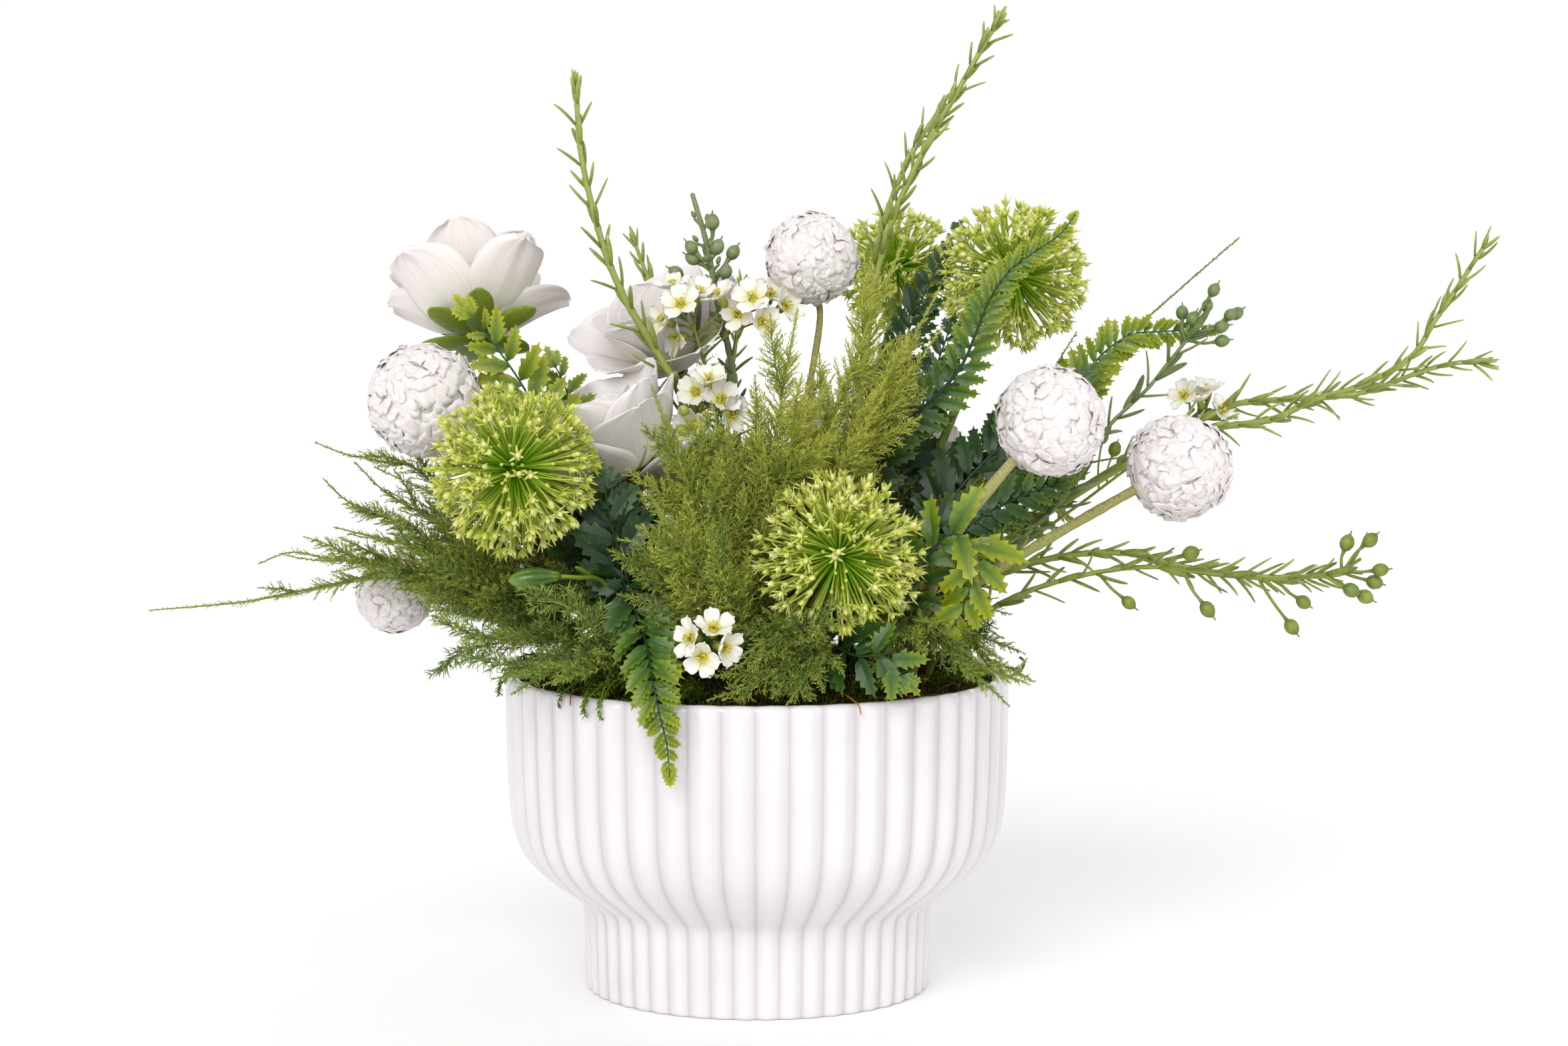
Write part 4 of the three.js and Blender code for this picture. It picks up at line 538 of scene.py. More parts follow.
class Mat:
    def __init__(self, name, rough=0.5, spec=0.5, coat=0.0, sheen=0.0, coat_rough=0.1):
        self.m = bpy.data.materials.new(name)
        self.m.use_nodes = True
        self.t = self.m.node_tree
        self.p = self.t.nodes["Principled BSDF"]
        self.out = self.t.nodes["Material Output"]
        self.p.inputs["Roughness"].default_value = rough
        self.p.inputs["Specular IOR Level"].default_value = spec
        self.p.inputs["Coat Weight"].default_value = coat
        self.p.inputs["Coat Roughness"].default_value = coat_rough
        self.p.inputs["Sheen Weight"].default_value = sheen
        uv = self.node("ShaderNodeUVMap", uv_map="OFBake")
        sep = self.node("ShaderNodeSeparateXYZ")
        self.link(uv.outputs["UV"], sep.inputs[0])
        self.uv = uv.outputs["UV"]
        self.u, self.v = sep.outputs["X"], sep.outputs["Y"]

    def node(self, kind, **k):
        n = self.t.nodes.new(kind)
        for a, b in k.items():
            setattr(n, a, b)
        return n

    def link(self, a, b):
        self.t.links.new(a, b)

    def math(self, op, *a, clamp=False):
        n = self.node("ShaderNodeMath", operation=op, use_clamp=clamp)
        for i, x in enumerate(a):
            if hasattr(x, "is_output"):
                self.link(x, n.inputs[i])
            else:
                n.inputs[i].default_value = x
        return n.outputs[0]

    def ramp(self, fac, stops, smooth=False):
        n = self.node("ShaderNodeValToRGB")
        n.color_ramp.interpolation = "EASE" if smooth else "LINEAR"
        e = n.color_ramp.elements
        while len(e) < len(stops):
            e.new(0.5)
        for i, (p, c) in enumerate(stops):
            e[i].position = p
            e[i].color = lin(c) if len(c) == 3 else c
        self.link(fac, n.inputs[0])
        return n.outputs[0]

    def mix(self, fac, a, b, blend="MIX"):
        n = self.node("ShaderNodeMix", data_type="RGBA", blend_type=blend)
        for i, x in ((0, fac), (6, a), (7, b)):
            if hasattr(x, "is_output"):
                self.link(x, n.inputs[i])
            else:
                n.inputs[i].default_value = x
        return n.outputs[2]

    def noise(self, vec, scale, detail=3.0, rough=0.5):
        n = self.node("ShaderNodeTexNoise")
        n.inputs["Scale"].default_value = scale
        n.inputs["Detail"].default_value = detail
        n.inputs["Roughness"].default_value = rough
        self.link(vec, n.inputs["Vector"])
        return n.outputs[0]

    def stretch(self, x, y, z=1.0, src=None):
        n = self.node("ShaderNodeMapping")
        n.inputs["Scale"].default_value = (x, y, z)
        self.link(src if src is not None else self.uv, n.inputs["Vector"])
        return n.outputs[0]

    def object(self):
        return self.node("ShaderNodeTexCoord").outputs["Object"]

    def bump(self, height, strength, distance):
        n = self.node("ShaderNodeBump")
        n.inputs["Strength"].default_value = strength
        n.inputs["Distance"].default_value = distance
        self.link(height, n.inputs["Height"])
        self.link(n.outputs[0], self.p.inputs["Normal"])
        return n.outputs[0]

    def colour(self, c, through=0.0, normal=None):
        self.link(c, self.p.inputs["Base Color"])
        if through:
            t = self.node("ShaderNodeBsdfTranslucent")
            self.link(c, t.inputs["Color"])
            if normal is not None:
                self.link(normal, t.inputs["Normal"])
            m = self.node("ShaderNodeMixShader")
            m.inputs[0].default_value = through
            self.link(self.p.outputs[0], m.inputs[1])
            self.link(t.outputs[0], m.inputs[2])
            self.link(m.outputs[0], self.out.inputs["Surface"])
        return self.m


def leafy(name, tones, rough=0.5, spec=0.4, through=0.15, mottle=0.16, bump=0.25, grain=(6, 160), coat=0.0):
    """tones: [(v, [(u, colour), ...]), ...] colour along each leaf, one line of colour for each tone."""
    m = Mat(name, rough, spec, coat)
    c = m.ramp(m.u, tones[0][1])
    for (v0, _), (v1, stops) in zip(tones, tones[1:]):
        n = m.node("ShaderNodeMapRange")
        n.inputs["From Min"].default_value = v0
        n.inputs["From Max"].default_value = v1
        m.link(m.v, n.inputs["Value"])
        c = m.mix(n.outputs[0], c, m.ramp(m.u, stops))
    f = m.noise(m.stretch(grain[0], grain[1]), 1.0, 3.0)
    shade = m.ramp(f, [(0.28, tuple([255 * (1 - mottle)] * 3)), (0.5, (238, 238, 238)), (0.72, (255, 255, 255))])
    c = m.mix(1.0, c, shade, "MULTIPLY")
    nrm = None
    if bump:
        nrm = m.bump(m.noise(m.object(), 900.0, 2.0), bump, 0.0004)
    return m.colour(c, through, nrm)


def materials():
    g = {}
    # glaze: unique UVs, u round the pot and v along its outline
    m = Mat("white_glaze", rough=0.16, spec=0.5, coat=0.35, coat_rough=0.06)
    o = m.object()
    # painted shade: the glaze colour darkens towards the bottom of each of the 48 grooves
    ph = m.math("MULTIPLY", m.u, 48.0)
    fr = m.math("FRACT", ph)
    groove_shade = m.math("ABSOLUTE", m.math("SUBTRACT", m.math("MULTIPLY", fr, 2.0), 1.0))
    groove_shade = m.math("POWER", groove_shade, 2.2)
    c = m.ramp(groove_shade, [(0.0, (224, 221, 222)), (0.4, (220, 216, 218)), (0.8, (207, 202, 206)), (1.0, (197, 191, 196))])
    n = m.noise(o, 22.0, 4.0)
    c = m.mix(0.5, c, m.ramp(n, [(0.3, (240, 238, 240)), (0.7, (255, 255, 255))]), "MULTIPLY")
    sp = m.noise(o, 420.0, 2.0, 0.4)
    c = m.mix(0.35, c, m.ramp(sp, [(0.16, (120, 112, 108)), (0.21, (255, 255, 255))]), "MULTIPLY")
    m.bump(m.noise(o, 38.0, 2.0), 0.12, 0.0012)
    m.link(m.ramp(m.noise(o, 60.0, 3.0), [(0.3, (0.13, 0.13, 0.13, 1)), (0.7, (0.24, 0.24, 0.24, 1))]), m.p.inputs["Roughness"])
    g["white_glaze"] = m.colour(c)
    # foam
    m = Mat("foam", rough=0.95, spec=0.2)
    o = m.object()
    c = m.ramp(m.noise(o, 700.0, 4.0, 0.7), [(0.3, (30, 52, 30)), (0.7, (66, 96, 58))])
    m.bump(m.noise(o, 1400.0, 3.0), 0.7, 0.001)
    g["foam"] = m.colour(c)
    # moss ground and strands
    m = Mat("moss_ground", rough=0.95, spec=0.15)
    o = m.object()
    a = m.noise(o, 90.0, 6.0, 0.65)
    c = m.ramp(a, [(0.3, (22, 15, 8)), (0.45, (44, 33, 15)), (0.58, (58, 54, 20)), (0.75, (92, 88, 34))])
    m.bump(m.noise(o, 500.0, 5.0, 0.7), 0.9, 0.003)
    g["moss_ground"] = m.colour(c)
    g["moss"] = leafy("moss", [
        (0.0, [(0.0, (38, 24, 10)), (1.0, (92, 60, 26))]),
        (0.3, [(0.0, (36, 36, 12)), (1.0, (96, 92, 34))]),
        (0.62, [(0.0, (40, 54, 14)), (1.0, (118, 134, 40))]),
        (1.0, [(0.0, (52, 92, 20)), (1.0, (146, 190, 48))])], 0.8, 0.2, 0.15, 0.25, 0)
    g["roots"] = leafy("roots", [(0.0, [(0.0, (120, 58, 26)), (1.0, (176, 98, 40))]), (1.0, [(0.0, (92, 42, 20)), (1.0, (196, 120, 60))])], 0.6, 0.3, 0.0, 0.3, 0)
    # stems
    g["olive_stem"] = leafy("olive_stem", [
        (0.0, [(0.0, (98, 104, 48)), (0.5, (150, 150, 88)), (1.0, (168, 164, 100))]),
        (1.0, [(0.0, (112, 116, 58)), (0.5, (164, 162, 98)), (1.0, (184, 178, 118))])], 0.85, 0.2, 0.0, 0.3, 0.8, (260, 900))
    g["green_stem"] = leafy("green_stem", [
        (0.0, [(0.0, (70, 92, 30)), (0.6, (104, 134, 44)), (1.0, (132, 158, 62))]),
        (1.0, [(0.0, (88, 104, 36)), (0.6, (122, 150, 56)), (1.0, (150, 172, 76))])], 0.5, 0.35, 0.0, 0.22, 0.4, (60, 400))
    g["sepal"] = leafy("sepal", [
        (0.0, [(0.0, (86, 108, 24)), (0.5, (110, 134, 30)), (1.0, (132, 152, 44))]),
        (1.0, [(0.0, (104, 126, 30)), (0.5, (138, 160, 42)), (1.0, (162, 180, 70))])], 0.45, 0.35, 0.2, 0.2, 0.3, (9, 400))
    # pompom paper petals
    m = Mat("pompom_petals", rough=0.75, spec=0.2)
    c = m.ramp(m.u, [(0.0, (208, 204, 166)), (0.10, (228, 223, 206)), (0.24, (241, 235, 231)), (0.7, (246, 240, 238)), (1.0, (250, 246, 245))])
    f = m.noise(m.stretch(2.5, 420), 1.0, 2.0)
    c = m.mix(0.5, c, m.ramp(f, [(0.35, (236, 231, 234)), (0.6, (255, 255, 255))]), "MULTIPLY")
    nrm = m.bump(m.noise(m.object(), 420.0, 2.0), 0.08, 0.0006)
    g["pompom_petals"] = m.colour(c, 0.19, nrm)
    # bloom petals
    m = Mat("white_petals", rough=0.5, spec=0.3)
    c = m.ramp(m.u, [(0.0, (188, 198, 118)), (0.10, (226, 228, 182)), (0.28, (248, 246, 232)), (0.62, (252, 248, 246)), (1.0, (253, 249, 248))])
    c = m.mix(1.0, c, m.ramp(m.v, [(0.0, (234, 229, 226)), (1.0, (255, 255, 255))]), "MULTIPLY")
    f = m.noise(m.stretch(1.6, 520), 1.0, 3.0)
    c = m.mix(0.5, c, m.ramp(f, [(0.3, (234, 230, 233)), (0.62, (255, 255, 255))]), "MULTIPLY")
    # the ribs of the cloth run out towards the edge and the foot
    h = m.math("MULTIPLY", f, m.ramp(m.u, [(0.0, (0, 0, 0)), (0.22, (255, 255, 255)), (0.6, (255, 255, 255)), (0.86, (0, 0, 0))], True))
    nrm = m.bump(h, 0.3, 0.0011)
    g["white_petals"] = m.colour(c, 0.08, nrm)
    # alliums
    g["allium_green"] = leafy("allium_green", [
        (0.0, [(0.0, (112, 188, 12)), (0.35, (142, 204, 24)), (0.75, (184, 210, 66)), (1.0, (206, 218, 92))]),
        (1.0, [(0.0, (132, 200, 16)), (0.35, (176, 216, 44)), (0.75, (212, 224, 96)), (1.0, (228, 232, 124))])], 0.5, 0.3, 0.12, 0.1, 0)
    g["allium_florets"] = leafy("allium_florets", [
        (0.0, [(0.0, (160, 184, 44)), (0.6, (192, 206, 70)), (1.0, (216, 220, 106))]),
        (0.5, [(0.0, (186, 204, 60)), (0.6, (216, 222, 92)), (1.0, (232, 232, 130))]),
        (1.0, [(0.0, (212, 220, 94)), (0.6, (238, 240, 142)), (1.0, (250, 250, 196))])], 0.5, 0.3, 0.1, 0.08, 0)
    # rosemary
    g["rosemary_leaf"] = leafy("rosemary_leaf", [
        (0.0, [(0.0, (78, 100, 30)), (0.5, (106, 130, 42)), (1.0, (140, 156, 68))]),
        (0.5, [(0.0, (116, 134, 50)), (0.5, (148, 163, 74)), (1.0, (176, 184, 106))]),
        (1.0, [(0.0, (142, 154, 56)), (0.5, (172, 182, 82)), (1.0, (198, 200, 120))])], 0.5, 0.35, 0.08, 0.2, 0.35, (5, 300))
    # berries: blue-green to yellow-green by tone
    g["berries"] = leafy("berries", [
        (0.0, [(0.0, (104, 120, 66)), (0.5, (138, 150, 104)), (1.0, (128, 138, 92))]),
        (0.45, [(0.0, (86, 112, 50)), (0.5, (116, 140, 72)), (1.0, (108, 128, 62))]),
        (0.75, [(0.0, (112, 130, 38)), (0.5, (136, 150, 52)), (1.0, (104, 112, 40))]),
        (1.0, [(0.0, (140, 160, 44)), (0.5, (182, 194, 84)), (1.0, (206, 208, 120))])], 0.42, 0.45, 0.05, 0.14, 0.3, (14, 60))
    # waxflowers
    m = Mat("waxflower_petals", rough=0.42, spec=0.4, coat=0.1)
    c = m.ramp(m.u, [(0.0, (206, 206, 92)), (0.16, (228, 228, 160)), (0.36, (243, 241, 222)), (0.7, (249, 247, 242)), (1.0, (250, 247, 247))])
    f = m.noise(m.stretch(2, 260), 1.0, 2.0)
    c = m.mix(0.4, c, m.ramp(f, [(0.3, (236, 230, 226)), (0.65, (255, 255, 255))]), "MULTIPLY")
    nrm = m.bump(m.noise(m.object(), 500.0, 2.0), 0.1, 0.0006)
    g["waxflower_petals"] = m.colour(c, 0.1, nrm)
    g["stamens"] = leafy("stamens", [(0.0, [(0.0, (190, 186, 60)), (0.7, (218, 200, 60)), (1.0, (226, 190, 40))]), (1.0, [(0.0, (206, 206, 90)), (0.7, (232, 220, 90)), (1.0, (240, 214, 60))])], 0.55, 0.3, 0.1, 0.2, 0)
    # ferns
    g["fern_leaf"] = leafy("fern_leaf", [
        (0.0, [(0.0, (14, 36, 20)), (0.5, (27, 54, 28)), (1.0, (50, 80, 38))]),
        (0.28, [(0.0, (24, 58, 24)), (0.5, (50, 88, 28)), (1.0, (98, 130, 30))]),
        (0.55, [(0.0, (28, 68, 24)), (0.4, (70, 110, 22)), (0.7, (124, 146, 20)), (1.0, (172, 178, 24))]),
        (1.0, [(0.0, (52, 98, 24)), (0.3, (116, 142, 18)), (0.6, (172, 176, 18)), (1.0, (208, 200, 30))])],
        0.42, 0.4, 0.08, 0.16, 0.2, (7, 220), coat=0.05)
    # asparagus: dark and blue-green to yellow-green by tone
    g["asparagus_needles"] = leafy("asparagus_needles", [
        (0.0, [(0.0, (44, 72, 36)), (1.0, (80, 114, 62))]),
        (0.2, [(0.0, (78, 104, 46)), (1.0, (120, 150, 76))]),
        (0.45, [(0.0, (120, 138, 48)), (1.0, (168, 184, 82))]),
        (0.7, [(0.0, (156, 166, 52)), (1.0, (204, 210, 92))]),
        (1.0, [(0.0, (196, 198, 64)), (1.0, (238, 238, 130))])], 0.6, 0.3, 0.08, 0.1, 0)
    g["teal_needles"] = leafy("teal_needles", [(0.0, [(0.0, (14, 46, 40)), (1.0, (34, 84, 74))]), (1.0, [(0.0, (24, 62, 50)), (1.0, (62, 116, 96))])], 0.55, 0.35, 0.1, 0.12, 0)
    # bud
    m = Mat("green_bud", rough=0.28, spec=0.5, coat=0.3)
    c = m.ramp(m.u, [(0.0, (128, 144, 40)), (0.2, (70, 108, 24)), (0.6, (78, 122, 30)), (1.0, (120, 156, 66))])
    c = m.mix(1.0, c, m.ramp(m.noise(m.stretch(3, 60), 1.0, 2.0), [(0.3, (205, 205, 205)), (0.7, (255, 255, 255))]), "MULTIPLY")
    m.bump(m.noise(m.object(), 500.0, 2.0), 0.2, 0.0006)
    g["green_bud"] = m.colour(c, 0.1)
    # floor
    m = Mat("floor_paint", rough=0.6, spec=0.2)
    c = m.ramp(m.noise(m.object(), 3.0, 3.0), [(0.3, (250, 249, 249)), (0.7, (253, 252, 252))])
    g["floor"] = m.colour(c)
    return g


M = materials()


# ------------------------------------------------------------------ pot
def make_pot():
    crest = [
        (82.3, 1.6), (82.48, 6.4), (82.78, 11.3), (82.89, 21.1), (83.15, 30), (83.3, 36.5), (83.9, 40.4), (85.2, 42.7),
        (88.54, 45.5), (95.54, 50.4), (102.37, 55.5), (107.6, 60.4), (111.71, 65.5), (114.38, 70.3), (116.26, 75.2),
        (117.34, 80), (118.11, 84.9), (118.55, 89.7), (119.13, 99.4), (119.54, 109), (119.78, 121.9), (119.88, 131.5),
        (120.1, 139), (120.0, 144.5), (119.5, 147.6), (118.6, 149.6), (117.3, 150.8), (115.8, 150.9), (114.5, 150.2),
        (113.5, 148.8), (113.0, 146.6), (112.8, 140), (112.7, 120), (112.0, 90), (109.0, 72), (103.6, 63.6), (93, 54),
        (79.5, 47.5), (76.9, 43), (76.4, 24), (75, 13), (70, 9.6), (40, 9.1),
    ]
    line, s = curve([(r, 0, z) for r, z in crest], 2.0)
    r, z = line[:, 0], line[:, 2]
    outer = s < s[np.argmax(z)] + 1.0
    k = np.where(z < 42, 1.7, np.clip(1.7 + (z - 42) * 0.06, 1.7, 2.5))
    k = k * np.clip((151.3 - z) / 7.0, 0.0, 1.0) ** 0.55
    depth = np.where(outer, k, 0.0)
    inner_fade = (s >= s[np.argmax(z)] + 1.0) & (z > 140)
    depth = np.where(inner_fade, 0.0, depth)
    na = 48 * 10
    a = (np.arange(na) / na) * 2 * math.pi
    x = np.abs(((a / (2 * math.pi) * 48) % 1.0) * 2 - 1)
    shape = (0.5 - 0.5 * np.cos(math.pi * x)) ** 1.25
    # flat base ring
    r = np.r_[79.0, 81.4, r]
    z = np.r_[0.0, 0.25, z]
    depth = np.r_[0.0, 1.0, depth]
    n = len(r)
    rr = r[:, None] - depth[:, None] * shape[None]
    zz = np.broadcast_to(z[:, None], rr.shape)
    rim = np.clip(1 - np.abs(z - 150.2) / 3.0, 0, 1)[:, None] * (np.arange(n)[:, None] > 10)
    zz = zz - 0.35 * rim * shape[None] * (r[:, None] > 115)
    v = np.stack([rr * np.cos(a), rr * np.sin(a), zz], -1).reshape(-1, 3)
    v = np.concatenate([v, [[0, 0, 0], [0, 0, 9.0]]])
    i = np.arange(n - 1)[:, None] * na
    j = np.arange(na)[None]
    q = np.stack([i + j, i + (j + 1) % na, i + na + (j + 1) % na, i + na + j], -1).reshape(-1, 4)
    j = np.arange(na)
    c0 = n * na
    caps = np.concatenate([
        np.stack([np.full(na, c0), (j + 1) % na, j], 1),
        np.stack([np.full(na, c0 + 1), (n - 1) * na + j, (n - 1) * na + (j + 1) % na], 1)])
    # u round the pot; the outline takes v from 0.04 to 0.96
    d = np.r_[0, np.cumsum(np.hypot(np.diff(r), np.diff(z)))]
    vv = 0.04 + 0.92 * d / d[-1]
    uq = np.stack([np.stack([j, j + 1, j + 1, j], -1)] * (n - 1)).reshape(-1, 4) / na
    vq = np.stack([np.stack([np.full(na, vv[i]), np.full(na, vv[i]), np.full(na, vv[i + 1]), np.full(na, vv[i + 1])], -1) for i in range(n - 1)]).reshape(-1, 4)
    uvq = np.stack([uq, vq], -1)
    ub = np.stack([(j + 0.5), j + 1, j], -1) / na
    vb = np.stack([np.full(na, 0.0), np.full(na, vv[0]), np.full(na, vv[0])], -1)
    ut = np.stack([(j + 0.5), j, j + 1], -1) / na
    vt = np.stack([np.full(na, 1.0), np.full(na, vv[-1]), np.full(na, vv[-1])], -1)
    uvc = np.concatenate([np.stack([ub, vb], -1), np.stack([ut, vt], -1)])
    b = Build()
    b.add(v, [q, caps], [uvq, uvc])
    return b.make("look_pot", [M["white_glaze"]], ["pot"])


# ------------------------------------------------------------------ moss
def moss_height(x, y):
    r = np.hypot(x, y)
    return (
        146.6
        + 9.5 * np.maximum(0, 1 - (r / 106) ** 2)
        + 1.5 * wobble(x * 0.11, y * 0.11, 0.4)
        + 0.8 * wobble(x * 0.31, y * 0.31, 1.0, 2.0)
    )


def make_moss():
    b = Build()
    nr, na = 46, 150
    rr = np.linspace(0.0, 1.0, nr + 1)[1:] * 111.8
    a = np.arange(na) * 2 * math.pi / na
    x = rr[:, None] * np.cos(a)
    y = rr[:, None] * np.sin(a)
    z = moss_height(x, y) + 0.35 * wobble(x * 1.1, y * 1.1, 0.0, 4.0)
    top = np.stack([x, y, z], -1).reshape(-1, 3)
    low = np.stack([x[-1], y[-1], np.full(na, 137.0)], -1)
    v = np.concatenate([top, low, [[0, 0, 156.4], [0, 0, 137.0]]])
    j = np.arange(na)
    k = (j + 1) % na
    i = np.arange(nr)[:, None] * na
    q = np.stack([i + j, i + na + j, i + na + k, i + k], -1).reshape(-1, 4)
    c0, c1 = (nr + 1) * na, (nr + 1) * na + 1
    caps = np.concatenate([np.stack([np.full(na, c0), j, k], 1), np.stack([np.full(na, c1), nr * na + k, nr * na + j], 1)])
    uv = np.stack([v[:, 0] / 240 + 0.5, v[:, 1] / 240 + 0.5], 1)
    uv[nr * na : nr * na + na] *= 0.985
    uv[c1] = (0.5, 0.505)
    b.add(v, [q, caps], uv, 0)
    g = gen("moss")
    n = 11000
    r = np.sqrt(g.uniform(0, 1, n)) * 110.5
    r[:4200] = g.uniform(84, 111, 4200)
    t = g.uniform(0, 2 * math.pi, n)
    x, y = r * np.cos(t), r * np.sin(t)
    o = np.stack([x, y, moss_height(x, y) - 0.8], 1)
    d = np.stack([g.normal(0, 0.75, n), g.normal(0, 0.75, n), g.uniform(0.25, 1.3, n)], 1)
    patch = wobble(x * 0.06, y * 0.06, 0.3, 3.0)
    tone = np.clip(0.42 + 0.5 * patch + g.normal(0, 0.2, n), 0, 0.9)
    ln = g.uniform(2.5, 6.5, n)
    ln = np.where(r > 104, np.minimum(ln, 4.0), ln)
    d[:, :2] -= unit(np.stack([x, y], 1)) * (np.maximum(0, r - 100) / 14)[:, None]
    copies(b, STRAND, o, d, (0.2, 0.1, 1), ln, g.uniform(0.55, 1.1, n), 0.45, tone, g.uniform(-0.9, 1.2, n), 1)
    # brown threads and roots
    for i in range(110):
        t0 = g.uniform(0, 2 * math.pi)
        r0 = g.uniform(60, 107)
        p = np.array([r0 * math.cos(t0), r0 * math.sin(t0)])
        pts = []
        h = g.uniform(0, 2 * math.pi)
        for q in range(5):
            rad = np.hypot(*p)
            if rad > 109.5:
                p = p * 109.5 / rad
            pts.append([p[0], p[1], moss_height(*p) + g.uniform(0.5, 3.2)])
            h += g.uniform(-1.0, 1.0)
            p = p + np.array([math.cos(h), math.sin(h)]) * g.uniform(4, 8)
        c, _ = curve(pts, 1.6)
        tube(b, c, np.linspace(0.42, 0.2, len(c)), 4, g.uniform(0.05, 0.95), 2)
    # a few rust-coloured roots over the front of the rim
    for px, ph, up in ((40, -1.22, 4), (-78, -2.12, 3)):
        a0 = math.atan2(-math.sqrt(max(0.0, 108.0**2 - px**2)), px)
        e = np.array([math.cos(a0), math.sin(a0)])
        pts = [np.r_[e * 96, 151], np.r_[e * 106, 151.5 + up * 0.6], np.r_[e * 114.5, 153.0], np.r_[e * 119.6 + np.array([2.0, 0]), 150.2], np.r_[e * 120.6 + np.array([2.6, 0]), 146.5]]
        c, _ = curve(pts, 1.2)
        tube(b, c, np.linspace(0.5, 0.28, len(c)), 5, 0.4, 2)
    # bright moss twigs over the rim
    def twig(pts, tone, mat, length=5.5, wide=0.6, step=0.85):
        c, s = curve(pts, 1.0)
        t, nn, bb = transport(c)
        tube(b, c, np.linspace(0.6, 0.3, len(c)), 4, tone, mat)
        q = np.arange(1.0, s[-1], step / 2)
        m = len(q)
        ang = g.uniform(0, 2 * math.pi, m)
        lean = g.uniform(0.7, 1.15, m)
        T, N, B = at(s, t, q), at(s, nn, q), at(s, bb, q)
        d = T * np.cos(lean)[:, None] + (N * np.cos(ang)[:, None] + B * np.sin(ang)[:, None]) * np.sin(lean)[:, None]
        taper = 1 - 0.55 * (q / s[-1]) ** 2
        copies(b, STRAND, at(s, c, q), d, (0, 0, 1), length * taper * g.uniform(0.7, 1.15, m), wide, 0.45, np.clip(tone + g.normal(0, 0.12, m), 0, 1), g.uniform(-0.3, 0.6, m), mat)
    for i in range(34):
        a0 = g.uniform(3.28, 4.25) if i < 20 else g.uniform(4.3, 6.1)
        e = np.array([math.cos(a0), math.sin(a0)])
        side = np.array([-e[1], e[0]]) * g.uniform(-9, 9)
        r1 = g.uniform(82, 96)
        if i < 20:
            end = g.uniform(116, 125)
            drop = g.uniform(-7, 7)
            pts = [np.r_[e * r1, 149], np.r_[e * (r1 * 0.45 + end * 0.55) + side * 0.4, 157 + g.uniform(0, 7)], np.r_[e * end + side, 154 + drop]]
            if end > 119 and drop < -2:
                pts.append(np.r_[e * (end + 0.5) + side * 1.2, 145 + g.uniform(-4, 2)])
        else:
            pts = [np.r_[e * r1, 149], np.r_[e * (r1 + 9) + side * 0.4, 155 + g.uniform(0, 4)], np.r_[e * min(r1 + 20, 112) + side, 154 + g.uniform(-1, 4)]]
        twig(pts, g.uniform(0.78, 1.0) if i < 20 else g.uniform(0.62, 0.95), 1, 5.4 if i < 20 else 4.6)
    # dark blue-green moss at the right of the rim
    for i in range(13):
        a0 = -0.16 + 0.035 * i + g.uniform(-0.03, 0.03)
        e = np.array([math.cos(a0), math.sin(a0)])
        pts = [np.r_[e * 88, 150], np.r_[e * 96 + g.uniform(-3, 3, 2), 160], np.r_[e * g.uniform(98, 110) + g.uniform(-5, 5, 2), g.uniform(166, 178)]]
        twig(pts, g.uniform(0.2, 0.9), 3, 7.0, 0.7, 0.8)
    for i in range(26):
        a0 = g.uniform(0.3, 2.9)
        e = np.array([math.cos(a0), math.sin(a0)])
        r1 = g.uniform(70, 96)
        pts = [np.r_[e * r1, 149], np.r_[e * (r1 + 9) + g.uniform(-4, 4, 2), 157], np.r_[e * min(r1 + 22, 116) + g.uniform(-6, 6, 2), 155 + g.uniform(-1, 9)]]
        twig(pts, g.uniform(0.5, 0.95), 1 if i % 3 else 3, 5.0)
    return b.make("look_moss", [M["moss_ground"], M["moss"], M["roots"], M["teal_needles"]], ["moss_bed"])


# ------------------------------------------------------------------ heads
def stem(name, mat, extra=None, sides=10, taper=0.0, knob=0.0):
    p = P[name.replace("_stem", "")] if "_stem" in name else P[name]
    b = Build()
    x, s = curve(p["paths"][0], 2.0)
    g = gen(name)
    r = p["r"] * (1 + 0.05 * np.sin(s * 0.23 + 1.0) + 0.03 * np.sin(s * 0.9)) * (1 - taper * s / s[-1])
    if knob:
        r = r * (1 + knob * np.exp(-(((s - s[-1]) / 3.0) ** 2)))
    tube(b, x, r, sides, g.uniform(0.2, 0.8), 0)
    if extra:
        extra(b, p)
    return b.make("look_" + name, mat, [name])


